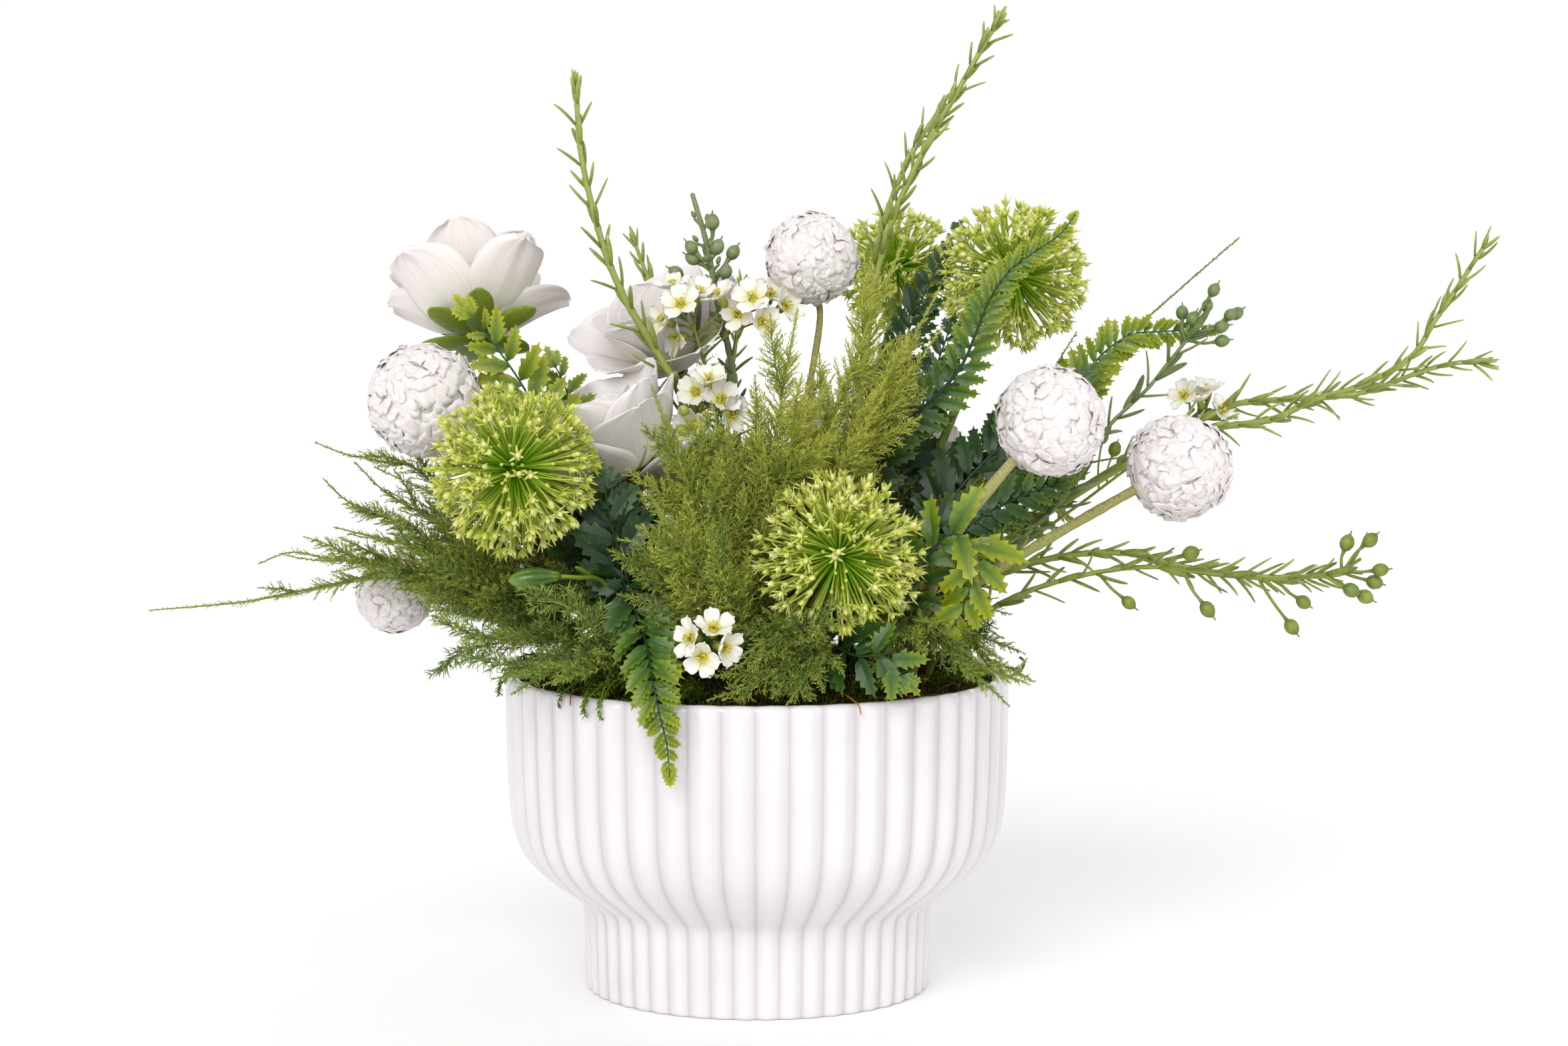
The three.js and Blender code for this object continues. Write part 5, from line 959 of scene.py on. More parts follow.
def make_pompom(i):
    """A ball of small florets, each a cluster of fringed fan petals that lean out and meet their neighbours'."""
    name = f"pompom_head_{i}"
    p = P[f"pompom_{i}"]
    c, ax, R = np.array(p["head"]), unit(p["axis"]), p["R"]
    g = gen(name)
    b = Build()
    n = 8 if R > 21 else 6
    dirs = fib(n)
    # turn the pattern at random
    q, _ = np.linalg.qr(g.normal(size=(3, 3)))
    dirs = unit(dirs @ q.T + g.normal(0, 0.09, (n, 3)))
    ns, nt = 9, 23
    S = np.linspace(0, 1, ns)[:, None]
    T = np.linspace(-1, 1, nt)[None]
    cell = R * 2.15 / math.sqrt(n) * 1.22
    for k in range(n):
        d = dirs[k]
        y, z = across(d, (0.3, 0.2, 0.9))
        others = [unit(dirs[m] - (dirs[m] @ d) * d) for m in range(n) if m != k and dirs[m] @ d > 0.1]
        gaps = [R * math.acos(min(1, dirs[m] @ d)) / 2 for m in range(n) if m != k and dirs[m] @ d > 0.1]
        turn = g.uniform(0, 6.28)
        lift_k = g.uniform(-0.006, 0.012)
        for layer, (count, reach, top, foot, fan) in enumerate(((7, 1.06, 0.962, 0.90, 0.62), (6, 0.80, 0.982, 0.90, 0.66), (4, 0.55, 0.998, 0.91, 0.92), (3, 0.32, 1.006, 0.92, 1.15))):
            for j in range(count):
                phi = turn + 0.5 * layer + 2 * math.pi * (j + g.uniform(-0.14, 0.14)) / count
                e0 = math.cos(phi) * y + math.sin(phi) * z
                lim = cell
                for t, gap in zip(others, gaps):
                    cs = e0 @ t
                    if cs > 0.25:
                        lim = min(lim, gap / cs * 1.26)
                out = lim * reach * g.uniform(0.88, 1.1)
                ph = g.uniform(0, 6.28, 5)
                half = fan * g.uniform(0.85, 1.12) * (0.34 + 0.66 * S**0.6)
                ang = phi + half * T
                # a fan's outline: round, with a frayed edge
                fray = np.zeros((ns, nt))
                fray[-1] = g.uniform(-0.22, 0.22, nt)
                fray[-1, ::2] += 0.6
                reach_s = (0.08 + 0.92 * S) * (1 - 0.16 * np.abs(T) ** 2.6 * S**2)
                a = out * reach_s * (1 + 0.05 * np.sin(2.3 * math.pi * T + ph[2]) * S**2) + 0.75 * fray
                # soft pleats that deepen towards the edge
                wave = 0.030 * np.sin(1.3 * math.pi * T + ph[0]) + 0.016 * np.sin(2.9 * math.pi * T + ph[1]) + 0.005 * np.sin(7.0 * math.pi * T + ph[3])
                rad = foot + (top + lift_k - foot) * np.sin(np.clip(S * 1.7, 0, 1) * math.pi / 2) ** (0.8 if layer < 3 else 0.5)
                rad = rad + S**1.6 * wave - 0.012 * (j % 2) * S - g.uniform(0, 0.012) * S
                # edges curl up a little, as the petals press together
                curl = g.uniform(0.2, 1.0)
                rad = rad + 0.013 * curl * S**4 + 0.006 * S**3 * T**2
                if layer >= 3:
                    rad = rad + 0.03 * S**2
                rad = np.minimum(rad * R, R * 1.065)
                aa = a / R
                e = np.cos(ang)[..., None] * y + np.sin(ang)[..., None] * z
                grid = c + (np.cos(aa)[..., None] * d + np.sin(aa)[..., None] * e) * rad[..., None]
                tone = g.uniform(0.05, 0.9)
                v = tone + 0.02 * (T + 1) * np.ones_like(S)
                u = (0.12 + 0.865 * S) * np.ones_like(T)
                sheet(b, grid, 0.26, u, v, 0)
    # ball behind the florets
    core, faces, uu = turned_body(
        (1 - np.cos(np.linspace(0, math.pi, 13))) / 2, np.sin(np.linspace(0, math.pi, 13)) * 0.5, np.sin(np.linspace(0, math.pi, 13)) * 0.5, 20)
    copies(b, (core, faces, uu), [c - ax * R * 0.925], [ax], (0.2, 0.1, 1), R * 1.85, R * 1.85, R * 1.85, [0.5], 0.0, 0, u0=0.4, u1=0.6)
    return b.make("look_" + name, [M["pompom_petals"]], [name])


def make_allium(i):
    name = f"allium_head_{i}"
    p = P[f"allium_{i}"]
    c, ax, R = np.array(p["head"]), unit(p["axis"]), p["R"]
    g = gen(name)
    b = Build()
    n = int(440 * (R / 38.0) ** 1.6)
    d = unit(fib(n) + g.normal(0, 0.075, (n, 3)))
    d = d[d @ ax > -0.96]
    # the stalks show where the ball is open
    look = unit({1: (0.46, -0.86, 0.16), 2: (-0.05, -0.92, -0.28), 3: (0.15, -0.9, -0.25), 4: (-0.3, -0.8, 0.3), 5: (0.3, 0.9, 0.2)}[i])
    open_ = np.clip((d @ look - 0.74) / 0.2, 0, 1)
    d = d[g.uniform(size=len(d)) > 0.86 * open_]
    n = len(d)
    o = c + d * 2.2 - ax * 1.0
    y, z = across(d, g.normal(size=(n, 3)))
    bend = g.uniform(-0.5, 0.5, n)
    ln = R * g.uniform(0.70, 0.92, n) * np.where(g.uniform(size=n) < 0.2, 0.84, 1.0)
    tone = g.uniform(0, 1, n)
    copies(b, ROD, o, d, z, ln, g.uniform(0.95, 1.25, n), 1.05, tone, bend, 0, yz=(y, z))
    tip, td = far_end(o, d, z, ln, bend)
    lit = np.clip(0.5 + 0.3 * g.normal(size=n), 0, 1)
    # bud at the end of each stalk
    copies(b, OVOID, tip - td * 0.5, td, (0.1, 0.3, 0.9), g.uniform(3.4, 4.9, n) * R / 36, g.uniform(2.1, 2.8, n), g.uniform(2.1, 2.8, n), np.clip(lit + 0.32, 0, 1), 0.0, 1)
    # pointed tepals round it
    shut = g.uniform(size=n) < 0.3
    for k in range(6):
        ang = k * math.pi / 3 + g.uniform(-0.25, 0.25, n)
        y2, z2 = across(td, (0.3, 0.5, 0.7))
        side = np.cos(ang)[:, None] * y2 + np.sin(ang)[:, None] * z2
        lean = g.uniform(0.30, 1.0, n)
        lean = np.where(shut, 0.22, lean)
        dd = td * np.cos(lean)[:, None] + side * np.sin(lean)[:, None]
        keep = g.uniform(size=n) < 0.9
        copies(b, TEPAL, (tip - td * 0.6)[keep], dd[keep], td[keep], (g.uniform(4.4, 7.4, n) * R / 36 * np.where(shut, 0.8, 1.0))[keep], 1.5, 0.7, lit[keep], g.uniform(-0.35, 0.5, keep.sum()), 1)
    # unopened shorter florets deeper in
    m = n // 4
    d2 = unit(fib(m) + g.normal(0, 0.1, (m, 3)))
    l2 = R * g.uniform(0.45, 0.68, m)
    y2, z2 = across(d2, g.normal(size=(m, 3)))
    b2 = g.uniform(-0.3, 0.3, m)
    copies(b, ROD, c + d2 * 2, d2, z2, l2, 0.8, 0.8, g.uniform(0, 1, m), b2, 0, yz=(y2, z2))
    t2, e2 = far_end(c + d2 * 2, d2, z2, l2, b2)
    copies(b, OVOID, t2 - e2 * 0.4, e2, (0.1, 0.3, 0.9), 3.0, 1.7, 1.7, g.uniform(0.2, 0.6, m), 0.0, 1)
    core, faces, uu = turned_body(
        (1 - np.cos(np.linspace(0, math.pi, 9))) / 2, np.sin(np.linspace(0, math.pi, 9)) * 0.5, np.sin(np.linspace(0, math.pi, 9)) * 0.5, 12)
    copies(b, (core, faces, uu), [c - ax * 4.2], [ax], (0.2, 0.1, 1), 7.5, 7.5, 7.5, [0.3], 0.0, 0, u0=0.02, u1=0.2)
    return b.make("look_" + name, [M["allium_green"], M["allium_florets"]], [name])


def petal(b, c, ax, e1, e2, phi, L, W, a0, a1, g, cup=0.6, wave=1.0, pointed=0.0, base=2.0, up=0.0, tipcurl=0.0, bow=1.3, mat=0, thick=0.4, nu=18, nv=15, twist=0.0, tones=(0.03, 0.88)):
    s = 1 - (1 - np.linspace(0, 1, nu)) ** 1.4
    t = np.linspace(-1, 1, nv)
    ang = a0 + (a1 - a0) * s**bow + tipcurl * s**4
    ds = L * np.diff(s)
    r = base + np.r_[0, np.cumsum((np.sin(ang)[1:] + np.sin(ang)[:-1]) / 2 * ds)]
    h = up + np.r_[0, np.cumsum((np.cos(ang)[1:] + np.cos(ang)[:-1]) / 2 * ds)]
    m = 0.56 + 0.04 * pointed
    lower = np.clip(1 - ((m - s) / m) ** 2, 0, 1) ** (0.62)
    x = np.clip((s - m) / (1 - m), 0, 1)
    pw, qw = 2.6 - 1.1 * pointed, 0.5 + 0.42 * pointed
    upper = np.clip(1 - x**pw, 0, 1) ** qw
    half = W / 2 * np.maximum(0.13, np.where(s < m, lower, upper))
    half[-1] = W / 2 * (0.12 + 0.14 * (1 - pointed))
    ph = g.uniform(0, 6.28, 6)
    # the edge's own outline, uneven on each side
    edge = 1 + 0.035 * np.sin(7 * s[:, None] + ph[0] + 2 * np.sign(t)[None]) * np.abs(t)[None]
    lat0 = half[:, None] * t[None] * edge
    rc = W * cup
    beta = lat0 / rc
    lat = rc * np.sin(beta)
    off = rc * (1 - np.cos(beta))
    S, T = s[:, None], t[None]
    ripple = wave * (
        0.9 * np.abs(T) ** 2 * np.sin(5.0 * S + ph[1] + 1.4 * np.sign(T))
        + 0.55 * S**2 * np.sin(5.2 * T + ph[2])
        + 0.35 * S**1.5 * np.sin(11.0 * T + ph[3])
        + 0.14 * np.sin(26 * T + ph[4]) * S * (1 - 0.6 * S)
    )
    off = off + ripple * np.minimum(1, S * 3)
    # a soft fold down the middle
    off = off - 0.9 * np.exp(-((T / 0.16) ** 2)) * np.sin(math.pi * np.minimum(1, S * 1.05)) * 0.5
    ph0 = phi + twist * s
    rad = np.cos(ph0)[:, None] * e1 + np.sin(ph0)[:, None] * e2
    tan = -np.sin(ph0)[:, None] * e1 + np.cos(ph0)[:, None] * e2
    nrm = np.cos(ang)[:, None] * rad - np.sin(ang)[:, None] * ax
    grid = (
        c
        + (h[:, None] * ax + r[:, None] * rad)[:, None]
        + tan[:, None] * lat[..., None]
        - nrm[:, None] * off[..., None]
    )
    # the outline near the tip bends round: pull the corners back
    pull = (S**8) * (T**2) * 0.012 * L
    dirv = np.sin(ang)[:, None] * rad + np.cos(ang)[:, None] * ax
    grid = grid - dirv[:, None] * pull[..., None]
    tone = g.uniform(*tones)
    v = tone + 0.045 * (T + 1) * np.ones_like(S)
    u = (0.02 + 0.96 * S) * np.ones_like(T)
    th = thick * (1 - 0.45 * np.abs(T) ** 2) * (1 - 0.35 * S)
    sheet(b, grid, th, u, v, mat)


def stamens(b, c, ax, e1, e2, n, ln, g, mat, spread=0.45, wide=0.5):
    a = g.uniform(0, 6.28, n)
    k = spread * np.sqrt(g.uniform(0.02, 1, n))
    d = unit(ax + k[:, None] * (np.cos(a)[:, None] * e1 + np.sin(a)[:, None] * e2))
    o = np.repeat(c[None], n, 0) + d * 1.0
    y, z = across(d, g.normal(size=(n, 3)))
    bend = g.uniform(-0.3, 0.3, n)
    l = ln * g.uniform(0.75, 1.1, n)
    copies(b, ROD, o, d, z, l, wide, wide, g.uniform(0, 0.5, n), bend, mat, yz=(y, z))
    p, q = far_end(o, d, z, l, bend)
    copies(b, OVOID, p - q * 0.4, unit(q + 0.4 * g.normal(size=(n, 3))), (0, 0.2, 1), 2.2, 1.1, 1.1, g.uniform(0.5, 1, n), 0.0, mat)


# the way each bloom looks
TURN = {1: (-0.10, 0.56, 0.82), 2: (-0.42, -0.10, 0.90), 3: (-0.34, -0.42, 0.84), 4: (0.28, 0.20, 0.94), 5: (-0.2, 0.25, 0.95)}


def make_bloom(i):
    name = f"bloom_head_{i}"
    p = P[f"bloom_{i}"]
    c0, R = np.array(p["head"]), p["R"]
    ax = unit(p["axis"])
    g = gen(name, 5)
    ax = unit(TURN[i])
    e2, e1 = across(ax, (0, -1, 0.2))
    e1, e2 = -e2, e1
    # e1 and e2 lie in the plane across the flower's axis; e2 looks towards the front
    foot = np.array(c0) - unit(p["axis"]) * R * 0.74 + np.array({1: (0, 0, 0), 2: (3, -2, -3), 3: (-1, -4, 6), 4: (0, 0, 2), 5: (0, 0, 0)}[i])
    k = R / 30.0 * {1: 1.0, 2: 1.2, 3: 1.3, 4: 1.15, 5: 1.0}[i]
    b = Build()
    r = math.radians
    if i == 1:
        rows = [(5, 44, 35, 82, 36, 0.80, 1.9, 0.02, 0.85, 44, 54), (5, 46, 36, 58, 18, 0.74, 1.8, 0.22, 0.9, 38, 18), (4, 41, 30, 36, 6, 0.6, 1.2, 0.4, 0.9, 20, 10)]
        foot = foot + np.array([0.5, 0, 6.5])
    elif i == 2:
        rows = [(5, 45, 46, 84, 14, 0.66, 0.8, 0.0, 0.8, 34, 0), (5, 43, 42, 64, 6, 0.60, 0.7, 0.0, 0.8, 30, 34), (3, 32, 34, 44, -4, 0.5, 0.5, 0.0, 0.8, 16, 8)]
    elif i == 3:
        rows = [(5, 45, 43, 78, 30, 0.70, 0.9, 0.0, 0.85, 34, 0), (5, 42, 40, 58, 12, 0.62, 0.8, 0.0, 0.85, 30, 34), (4, 34, 31, 34, 0, 0.5, 0.6, 0.05, 0.9, 14, 10)]
    elif i == 4:
        rows = [(6, 45, 40, 76, 16, 0.62, 1.2, 0.1, 0.85, 22, 0), (5, 41, 37, 54, 0, 0.56, 1.1, 0.1, 0.85, 16, 30), (4, 34, 30, 30, -10, 0.5, 1.0, 0.1, 0.9, 8, 10)]
    else:
        rows = [(6, 44, 38, 74, 20, 0.65, 1.4, 0.25, 0.9, 26, 0), (5, 41, 35, 52, 4, 0.6, 1.3, 0.3, 0.9, 20, 30), (5, 35, 29, 30, -4, 0.55, 1.1, 0.35, 0.9, 12, 10)]
    # painted light: blooms 2 and 3 get lighter petal tones to lift their shaded petals
    tones = {1: (0.15, 0.5), 2: (0.75, 0.9), 3: (0.7, 0.9)}.get(i, (0.3, 0.8))
    for j, (n, L, W, a0, a1, cup, wave, pt, bow, curl, off) in enumerate(rows):
        for q in range(n):
            phi = 2 * math.pi * (q + g.uniform(-0.08, 0.08)) / n + r(off) + 0.2 * j
            s = g.uniform(0.93, 1.05)
            petal(
                b, foot, ax, e1, e2, phi, L * s * k, W * g.uniform(0.93, 1.06) * k,
                r(a0 + g.uniform(-7, 7)), r(a1 + g.uniform(-9, 9)), g, cup, wave * k, np.clip(pt + g.uniform(-0.12, 0.12), 0, 1),
                base=2.0 * k, up=1.2 * j, tipcurl=r(curl * g.uniform(0.3, 1.2)), bow=bow, twist=g.uniform(-0.1, 0.1), tones=tones)
    if i == 2:
        # an outer petal fallen open towards the front
        petal(b, foot, ax, e1, e2, r(48), 42 * k, 36 * k, r(98), r(62), g, 0.8, 1.3, 0.0, base=3, up=-1.4, tipcurl=r(-14), tones=tones)
        petal(b, foot, ax, e1, e2, r(150), 44 * k, 38 * k, r(92), r(44), g, 0.7, 1.3, 0.0, base=3, up=-0.9, tipcurl=r(10), tones=tones)
    stamens(b, foot + ax * 4 * k, ax, e1, e2, 26, 17 * k, g, 1, 0.5)
    copies(b, OVOID, [foot + ax * 1.0], [ax], (0.2, -0.3, 0.5), 13 * k, 8 * k, 8 * k, [0.85], 0.0, 2)
    return b.make("look_" + name, [M["white_petals"], M["stamens"], M["berries"]], [name])


def bloom_stem(i):
    def sepals(b, p):
        g = gen("sepals", i)
        c0, R, ax0 = np.array(p["head"]), p["R"], unit(p["axis"])
        ax = unit(TURN[i])
        e2, e1 = across(ax, (0, -1, 0.2))
        e1, e2 = -e2, e1
        foot = c0 - ax0 * R * 0.80 + np.array({1: (0.5, 0, 6.5), 2: (3, -2, -3), 3: (-1, -4, 6), 4: (0, 0, 2), 5: (0, 0, 0)}[i])
        k = R / 30.0
        n = 6 if i == 1 else 5
        for q in range(n):
            phi = 2 * math.pi * q / n + g.uniform(-0.15, 0.15) + 0.3
            petal(
                b, foot, ax, e1, e2, phi, (28 if i == 1 else 17) * k * g.uniform(0.85, 1.12), (13 if i == 1 else 8.5) * k, math.radians(92 if i == 1 else 84), math.radians(64 if i == 1 else 46), g,
                1.2, 0.35, 0.15, base=1.5, up=-0.8 - 0.8 * (q % 2), tipcurl=math.radians(10), mat=1, thick=1.1, nu=10, nv=7)
        x = np.linspace(0, 1, 6)
        pts = foot + ax * (-6 + 8 * x)[:, None]
        tube(b, pts, [2.2, 2.6, 3.4, 4.4, 5.2, 5.4], 12, 0.6, 1)
    return stem(f"bloom_stem_{i}", [M["green_stem"], M["sepal"]], sepals)


def allium_stem(i):
    def bract(b, p):
        # runs on to the middle of the head
        c, ax, R = np.array(p["head"]), unit(p["axis"]), p["R"]
        pts = np.array([c - ax * R * 0.36, c - ax * R * 0.2, c - ax * 3.0])
        tube(b, curve(pts, 2.0)[0], p["r"] * 0.95, 10, 0.8, 0)
    return stem(f"allium_stem_{i}", [M["green_stem"]], bract)


def pompom_stem(i):
    def calyx(b, p):
        g = gen("calyx", i)
        c, ax, R = np.array(p["head"]), unit(p["axis"]), p["R"]
        end = np.array(p["paths"][0][-1])
        d = unit(c - end)
        n = 12
        a = np.arange(n) * 2 * math.pi / n
        y, z = across(d, (0.2, 0.3, 0.9))
        side = np.cos(a)[:, None] * y + np.sin(a)[:, None] * z
        copies(b, TEPAL, end - d * 1.5 + side * 1.4, unit(side + d * 0.35), d, 7.5, 3.2, 1.2, g.uniform(0.3, 1, n), -0.8, 0)
    return stem(f"pompom_stem_{i}", [M["olive_stem"]], calyx, sides=14)


# ------------------------------------------------------------------ foliage
def look_of(p, path):
    tip = np.array(path[-1])
    if p["kind"] == "fern" and tip[1] < 70:
        return np.array([0, -1, 0.35])
    out = unit([tip[0], tip[1], 0.0])
    return out * 0.8 + np.array([0, 0, 0.6])


def clear_from(x):
    k = (x[:, 2] > 172) | (np.hypot(x[:, 0], x[:, 1]) > 96)
    return int(np.argmax(k)) if k.any() else len(x) // 3


def in_wall(p):
    """True for points inside the pot's wall or its rim."""
    r = np.hypot(p[..., 0], p[..., 1])
    return (r > 110.8) & (r < 121.2) & (p[..., 2] < 151.6) & (p[..., 2] > 60)


def fern(b, path, half, key, hint, tone0=0.1, tone1=0.9, r0=1.1, pitch=6.2, first=None, wide=0.40, curl=0.55, power=1.25, taper=4.2):
    """A leather fern frond: a rachis with pairs of toothed leaflets."""
    g = gen("fern", *key)
    x, s = curve(path, 1.2)
    i0 = clear_from(x) if first is None else first
    t, n, w = facing(x, hint)
    s0, s1 = s[i0] + 3.0, s[-1]
    span = s1 - s0
    rad = r0 * np.clip(1 - 0.72 * np.clip((s - s0) / span, 0, 1), 0.2, 1)
    tone_s = np.clip((s - s0) / span, 0, 1)
    tube(b, x, rad, 6, float(np.clip(tone0 * 0.6 + 0.05, 0.02, 0.9)), 0, u=0.05 + 0.5 * tone_s)
    q = s0
    rows = []
    while q < s1 - 4.0:
        f = (q - s0) / span
        rows.append((q, f))
        q += pitch * (1.0 - 0.30 * f**2) * (1.0 if taper > 3 else max(0.42, 1 - f**taper)) * g.uniform(0.92, 1.08)
    if not rows:
        return
    q, f = np.array(rows).T
    shape = np.minimum(1.0, (f + 0.10) / 0.28) ** 0.55 * np.clip(1 - f**taper, 0, 1) ** 0.8
    for side in (1.0, -1.0):
        m = len(q)
        qq = np.clip(q + side * pitch * 0.12 + g.normal(0, 0.25, m), 0, s1 - 2)
        T, N, W = at(s, t, qq), at(s, n, qq), at(s, w, qq) * side
        a = np.radians(62 - 22 * f + g.normal(0, 5, m))
        d = T * np.cos(a)[:, None] + W * np.sin(a)[:, None] + N * g.normal(0.03, 0.14, m)[:, None]
        ln = np.maximum(3.2, half * shape / np.maximum(np.sin(a), 0.55) * g.uniform(0.93, 1.07, m))
        wd = np.maximum(2.8, ln * wide * (1 + 0.15 * f))
        face = N + g.normal(0, 0.16, (m, 3))
        tone = np.clip(tone0 + (tone1 - tone0) * f**power + g.normal(0, 0.05, m), 0, 1)
        pick = g.integers(0, 3, m)
        for k in range(3):
            z = pick == k
            copies(b, SERRATED[k], at(s, x, qq)[z] + W[z] * 0.2, d[z], face[z], ln[z], wd[z], (wd * 0.40)[z], tone[z], (curl * g.uniform(0.5, 1.3, m))[z], 0)
    # the tip's own leaflets
    end = t[-1]
    for k, (sd, l, a) in enumerate(((0, 9.5, 0.0), (1, 6.5, 0.55), (-1, 6.5, -0.55))):
        if taper < 3:
            l = l * (0.62 if k == 0 else 0.4)
        d = end * math.cos(a) + w[-1] * math.sin(a)
        copies(b, SERRATED[k], [x[-1] - end * (4.5 if k == 0 else 3.5)], [d], [n[-1]], l * half / 14, 4.0 * half / 14, 0.9, [min(1.0, tone1 + 0.05)], [0.3], 0)


def plume(b, path, half, key, hint, tone=0.45, r0=1.2, gap=1.7, needle=4.2, dense=1.0, wisp=0.16, first=None, branch_shade=0.10, spread=0.75, mat=0, wide=0.52, fold=0.0, subs=0):
    """An asparagus plume: a rachis with fine side branches that carry thread-like needles."""
    g = gen("plume", *key)
    x, s = curve(path, 1.2)
    i0 = clear_from(x) if first is None else first
    hit = in_wall(x)
    if hit.any():
        x, s = x[: int(np.argmax(hit))], s[: int(np.argmax(hit))]
        if len(x) < i0 + 8:
            return
    t, n, w = facing(x, hint)
    s0, s1 = s[i0] + 2.0, s[-1]
    span = s1 - s0
    fs = np.clip((s - s0) / span, 0, 1)
    rad = r0 * np.clip(1 - 0.75 * fs, 0.2, 1)
    tube(b, x, rad, 5, float(np.clip(tone * 0.55, 0.04, 0.9)), mat, u=0.05 + 0.9 * fs)
    q = np.arange(s0, s1 - 1.0, gap / 2 / dense)
    m = len(q)
    q = np.clip(q + g.normal(0, gap * 0.15, m), s0, s1 - 0.8)
    f = (q - s0) / span
    body = np.minimum(1.0, (f + 0.12) / 0.26) ** 0.6 * np.clip((1 - f) / (1 - 0.35), 0, 1) ** 0.72
    body = np.where(f > 1 - wisp, body * 0.5 + 0.04, body)
    ln = np.maximum(1.6, half * body * g.uniform(0.72, 1.12, m))
    side = np.where(np.arange(m) % 2 == 0, 1.0, -1.0)
    roll = g.normal(0, spread, m)
    T, N, W = at(s, t, q), at(s, n, q), at(s, w, q)
    a = np.radians(56 - 20 * f + g.normal(0, 6, m))
    out = W * (side * np.cos(roll))[:, None] + N * (np.sin(roll) + fold)[:, None]
    d = unit(T * np.cos(a)[:, None] + unit(out) * np.sin(a)[:, None])
    o = at(s, x, q)
    y, z = across(d, -T)
    bend = -g.uniform(0.15, 0.6, m)
    # a branch ends where it would meet the pot's wall
    walk = np.linspace(0, 1.05, 15)
    hit = in_wall(o[:, None] + d[:, None] * (ln[:, None] * walk)[..., None])
    ln = np.where(hit.any(1), ln * np.maximum(0.06, walk[np.argmax(hit, 1)] - 0.12), ln)
    frond = np.clip(tone + g.normal(0, 0.05, m) + 0.12 * f, 0, 1)
    # painted shade: each side branch is coloured darker than its needles, to deepen the shade inside the plume
    copies(b, NEEDLE, o, d, z, ln, 0.62, 0.55, np.clip(frond - branch_shade, 0, 1), bend * 0 + 0.0, mat, False, yz=(y, z))
    # needles along every branch
    per = 0.80 / dense
    cnt = np.maximum(2, (ln / per).astype(int))
    idx = np.repeat(np.arange(m), cnt)
    k = np.concatenate([np.arange(c) for c in cnt])
    fr = (k + g.uniform(0.2, 0.9, len(k))) / cnt[idx]
    fr = np.clip(fr, 0, 0.99)
    po = o[idx] + d[idx] * (fr * ln[idx])[:, None]
    ang = g.uniform(0, 2 * math.pi, len(idx))
    lean = g.uniform(0.45, 1.15, len(idx))
    sd = np.cos(ang)[:, None] * y[idx] + np.sin(ang)[:, None] * z[idx]
    # lie mostly in the frond's plane
    nd = unit(d[idx] * np.cos(lean)[:, None] + sd * np.sin(lean)[:, None] + 0.25 * T[idx])
    tip_small = np.clip(1.15 - 0.55 * f[idx], 0.3, 1) * np.where(f[idx] > 1 - wisp, 0.5, 1.0)
    nl = needle * g.uniform(0.6, 1.15, len(idx)) * tip_small * (1 - 0.35 * fr)
    v = np.clip(frond[idx] + g.normal(0, 0.17, len(idx)) + 0.16 * fr - 0.07, 0, 1)
    k = ~(in_wall(po) | in_wall(po + nd * nl[:, None]) | in_wall(po + nd * nl[:, None] * 0.5))
    copies(b, NEEDLE, po[k], nd[k], sd[k], nl[k], wide, wide, v[k], 0.0, mat, False)
    # smaller plumes branching off the main one
    for k in range(subs):
        f0 = 0.08 + 0.66 * (k + g.uniform(0.1, 0.9)) / subs
        q0 = s0 + span * f0
        T0, N0, W0 = at(s, t, [q0])[0], at(s, n, [q0])[0], at(s, w, [q0])[0]
        sd0 = (1 if k % 2 else -1) * W0 * g.uniform(0.6, 1.0) + N0 * g.uniform(-0.55, 0.75)
        l0 = (half * 1.7 + 9) * (1.1 - 0.6 * f0) * g.uniform(0.85, 1.2)
        p0 = at(s, x, [q0])[0]
        d0 = unit(T0 + 0.85 * sd0)
        d1 = unit(T0 * 1.2 + 0.5 * sd0)
        sub = [p0, p0 + d0 * l0 * 0.36, p0 + d0 * l0 * 0.62 + d1 * l0 * 0.12, p0 + d0 * l0 * 0.72 + d1 * l0 * 0.42]
        plume(b, sub, half * 0.5, key + ("sub", k), N0, float(np.clip(tone + g.normal(0, 0.07), 0.05, 0.95)), 0.6, gap * 1.05, needle * 0.92, dense, wisp, 0, branch_shade, spread, mat, wide)
    # short scales on the rachis
    e = np.arange(s0, s1, 1.5)
    TT, NN, WW = at(s, t, e), at(s, n, e), at(s, w, e)
    an = g.uniform(0, 2 * math.pi, len(e))
    dd = unit(TT + 0.6 * (np.cos(an)[:, None] * NN + np.sin(an)[:, None] * WW))
    copies(b, NEEDLE, at(s, x, e), dd, NN, 2.4 * np.clip(1.2 - (e - s0) / span, 0.35, 1), 0.5, 0.5, np.clip(tone - 0.15 + 0 * e, 0, 1), 0.0, mat, False)


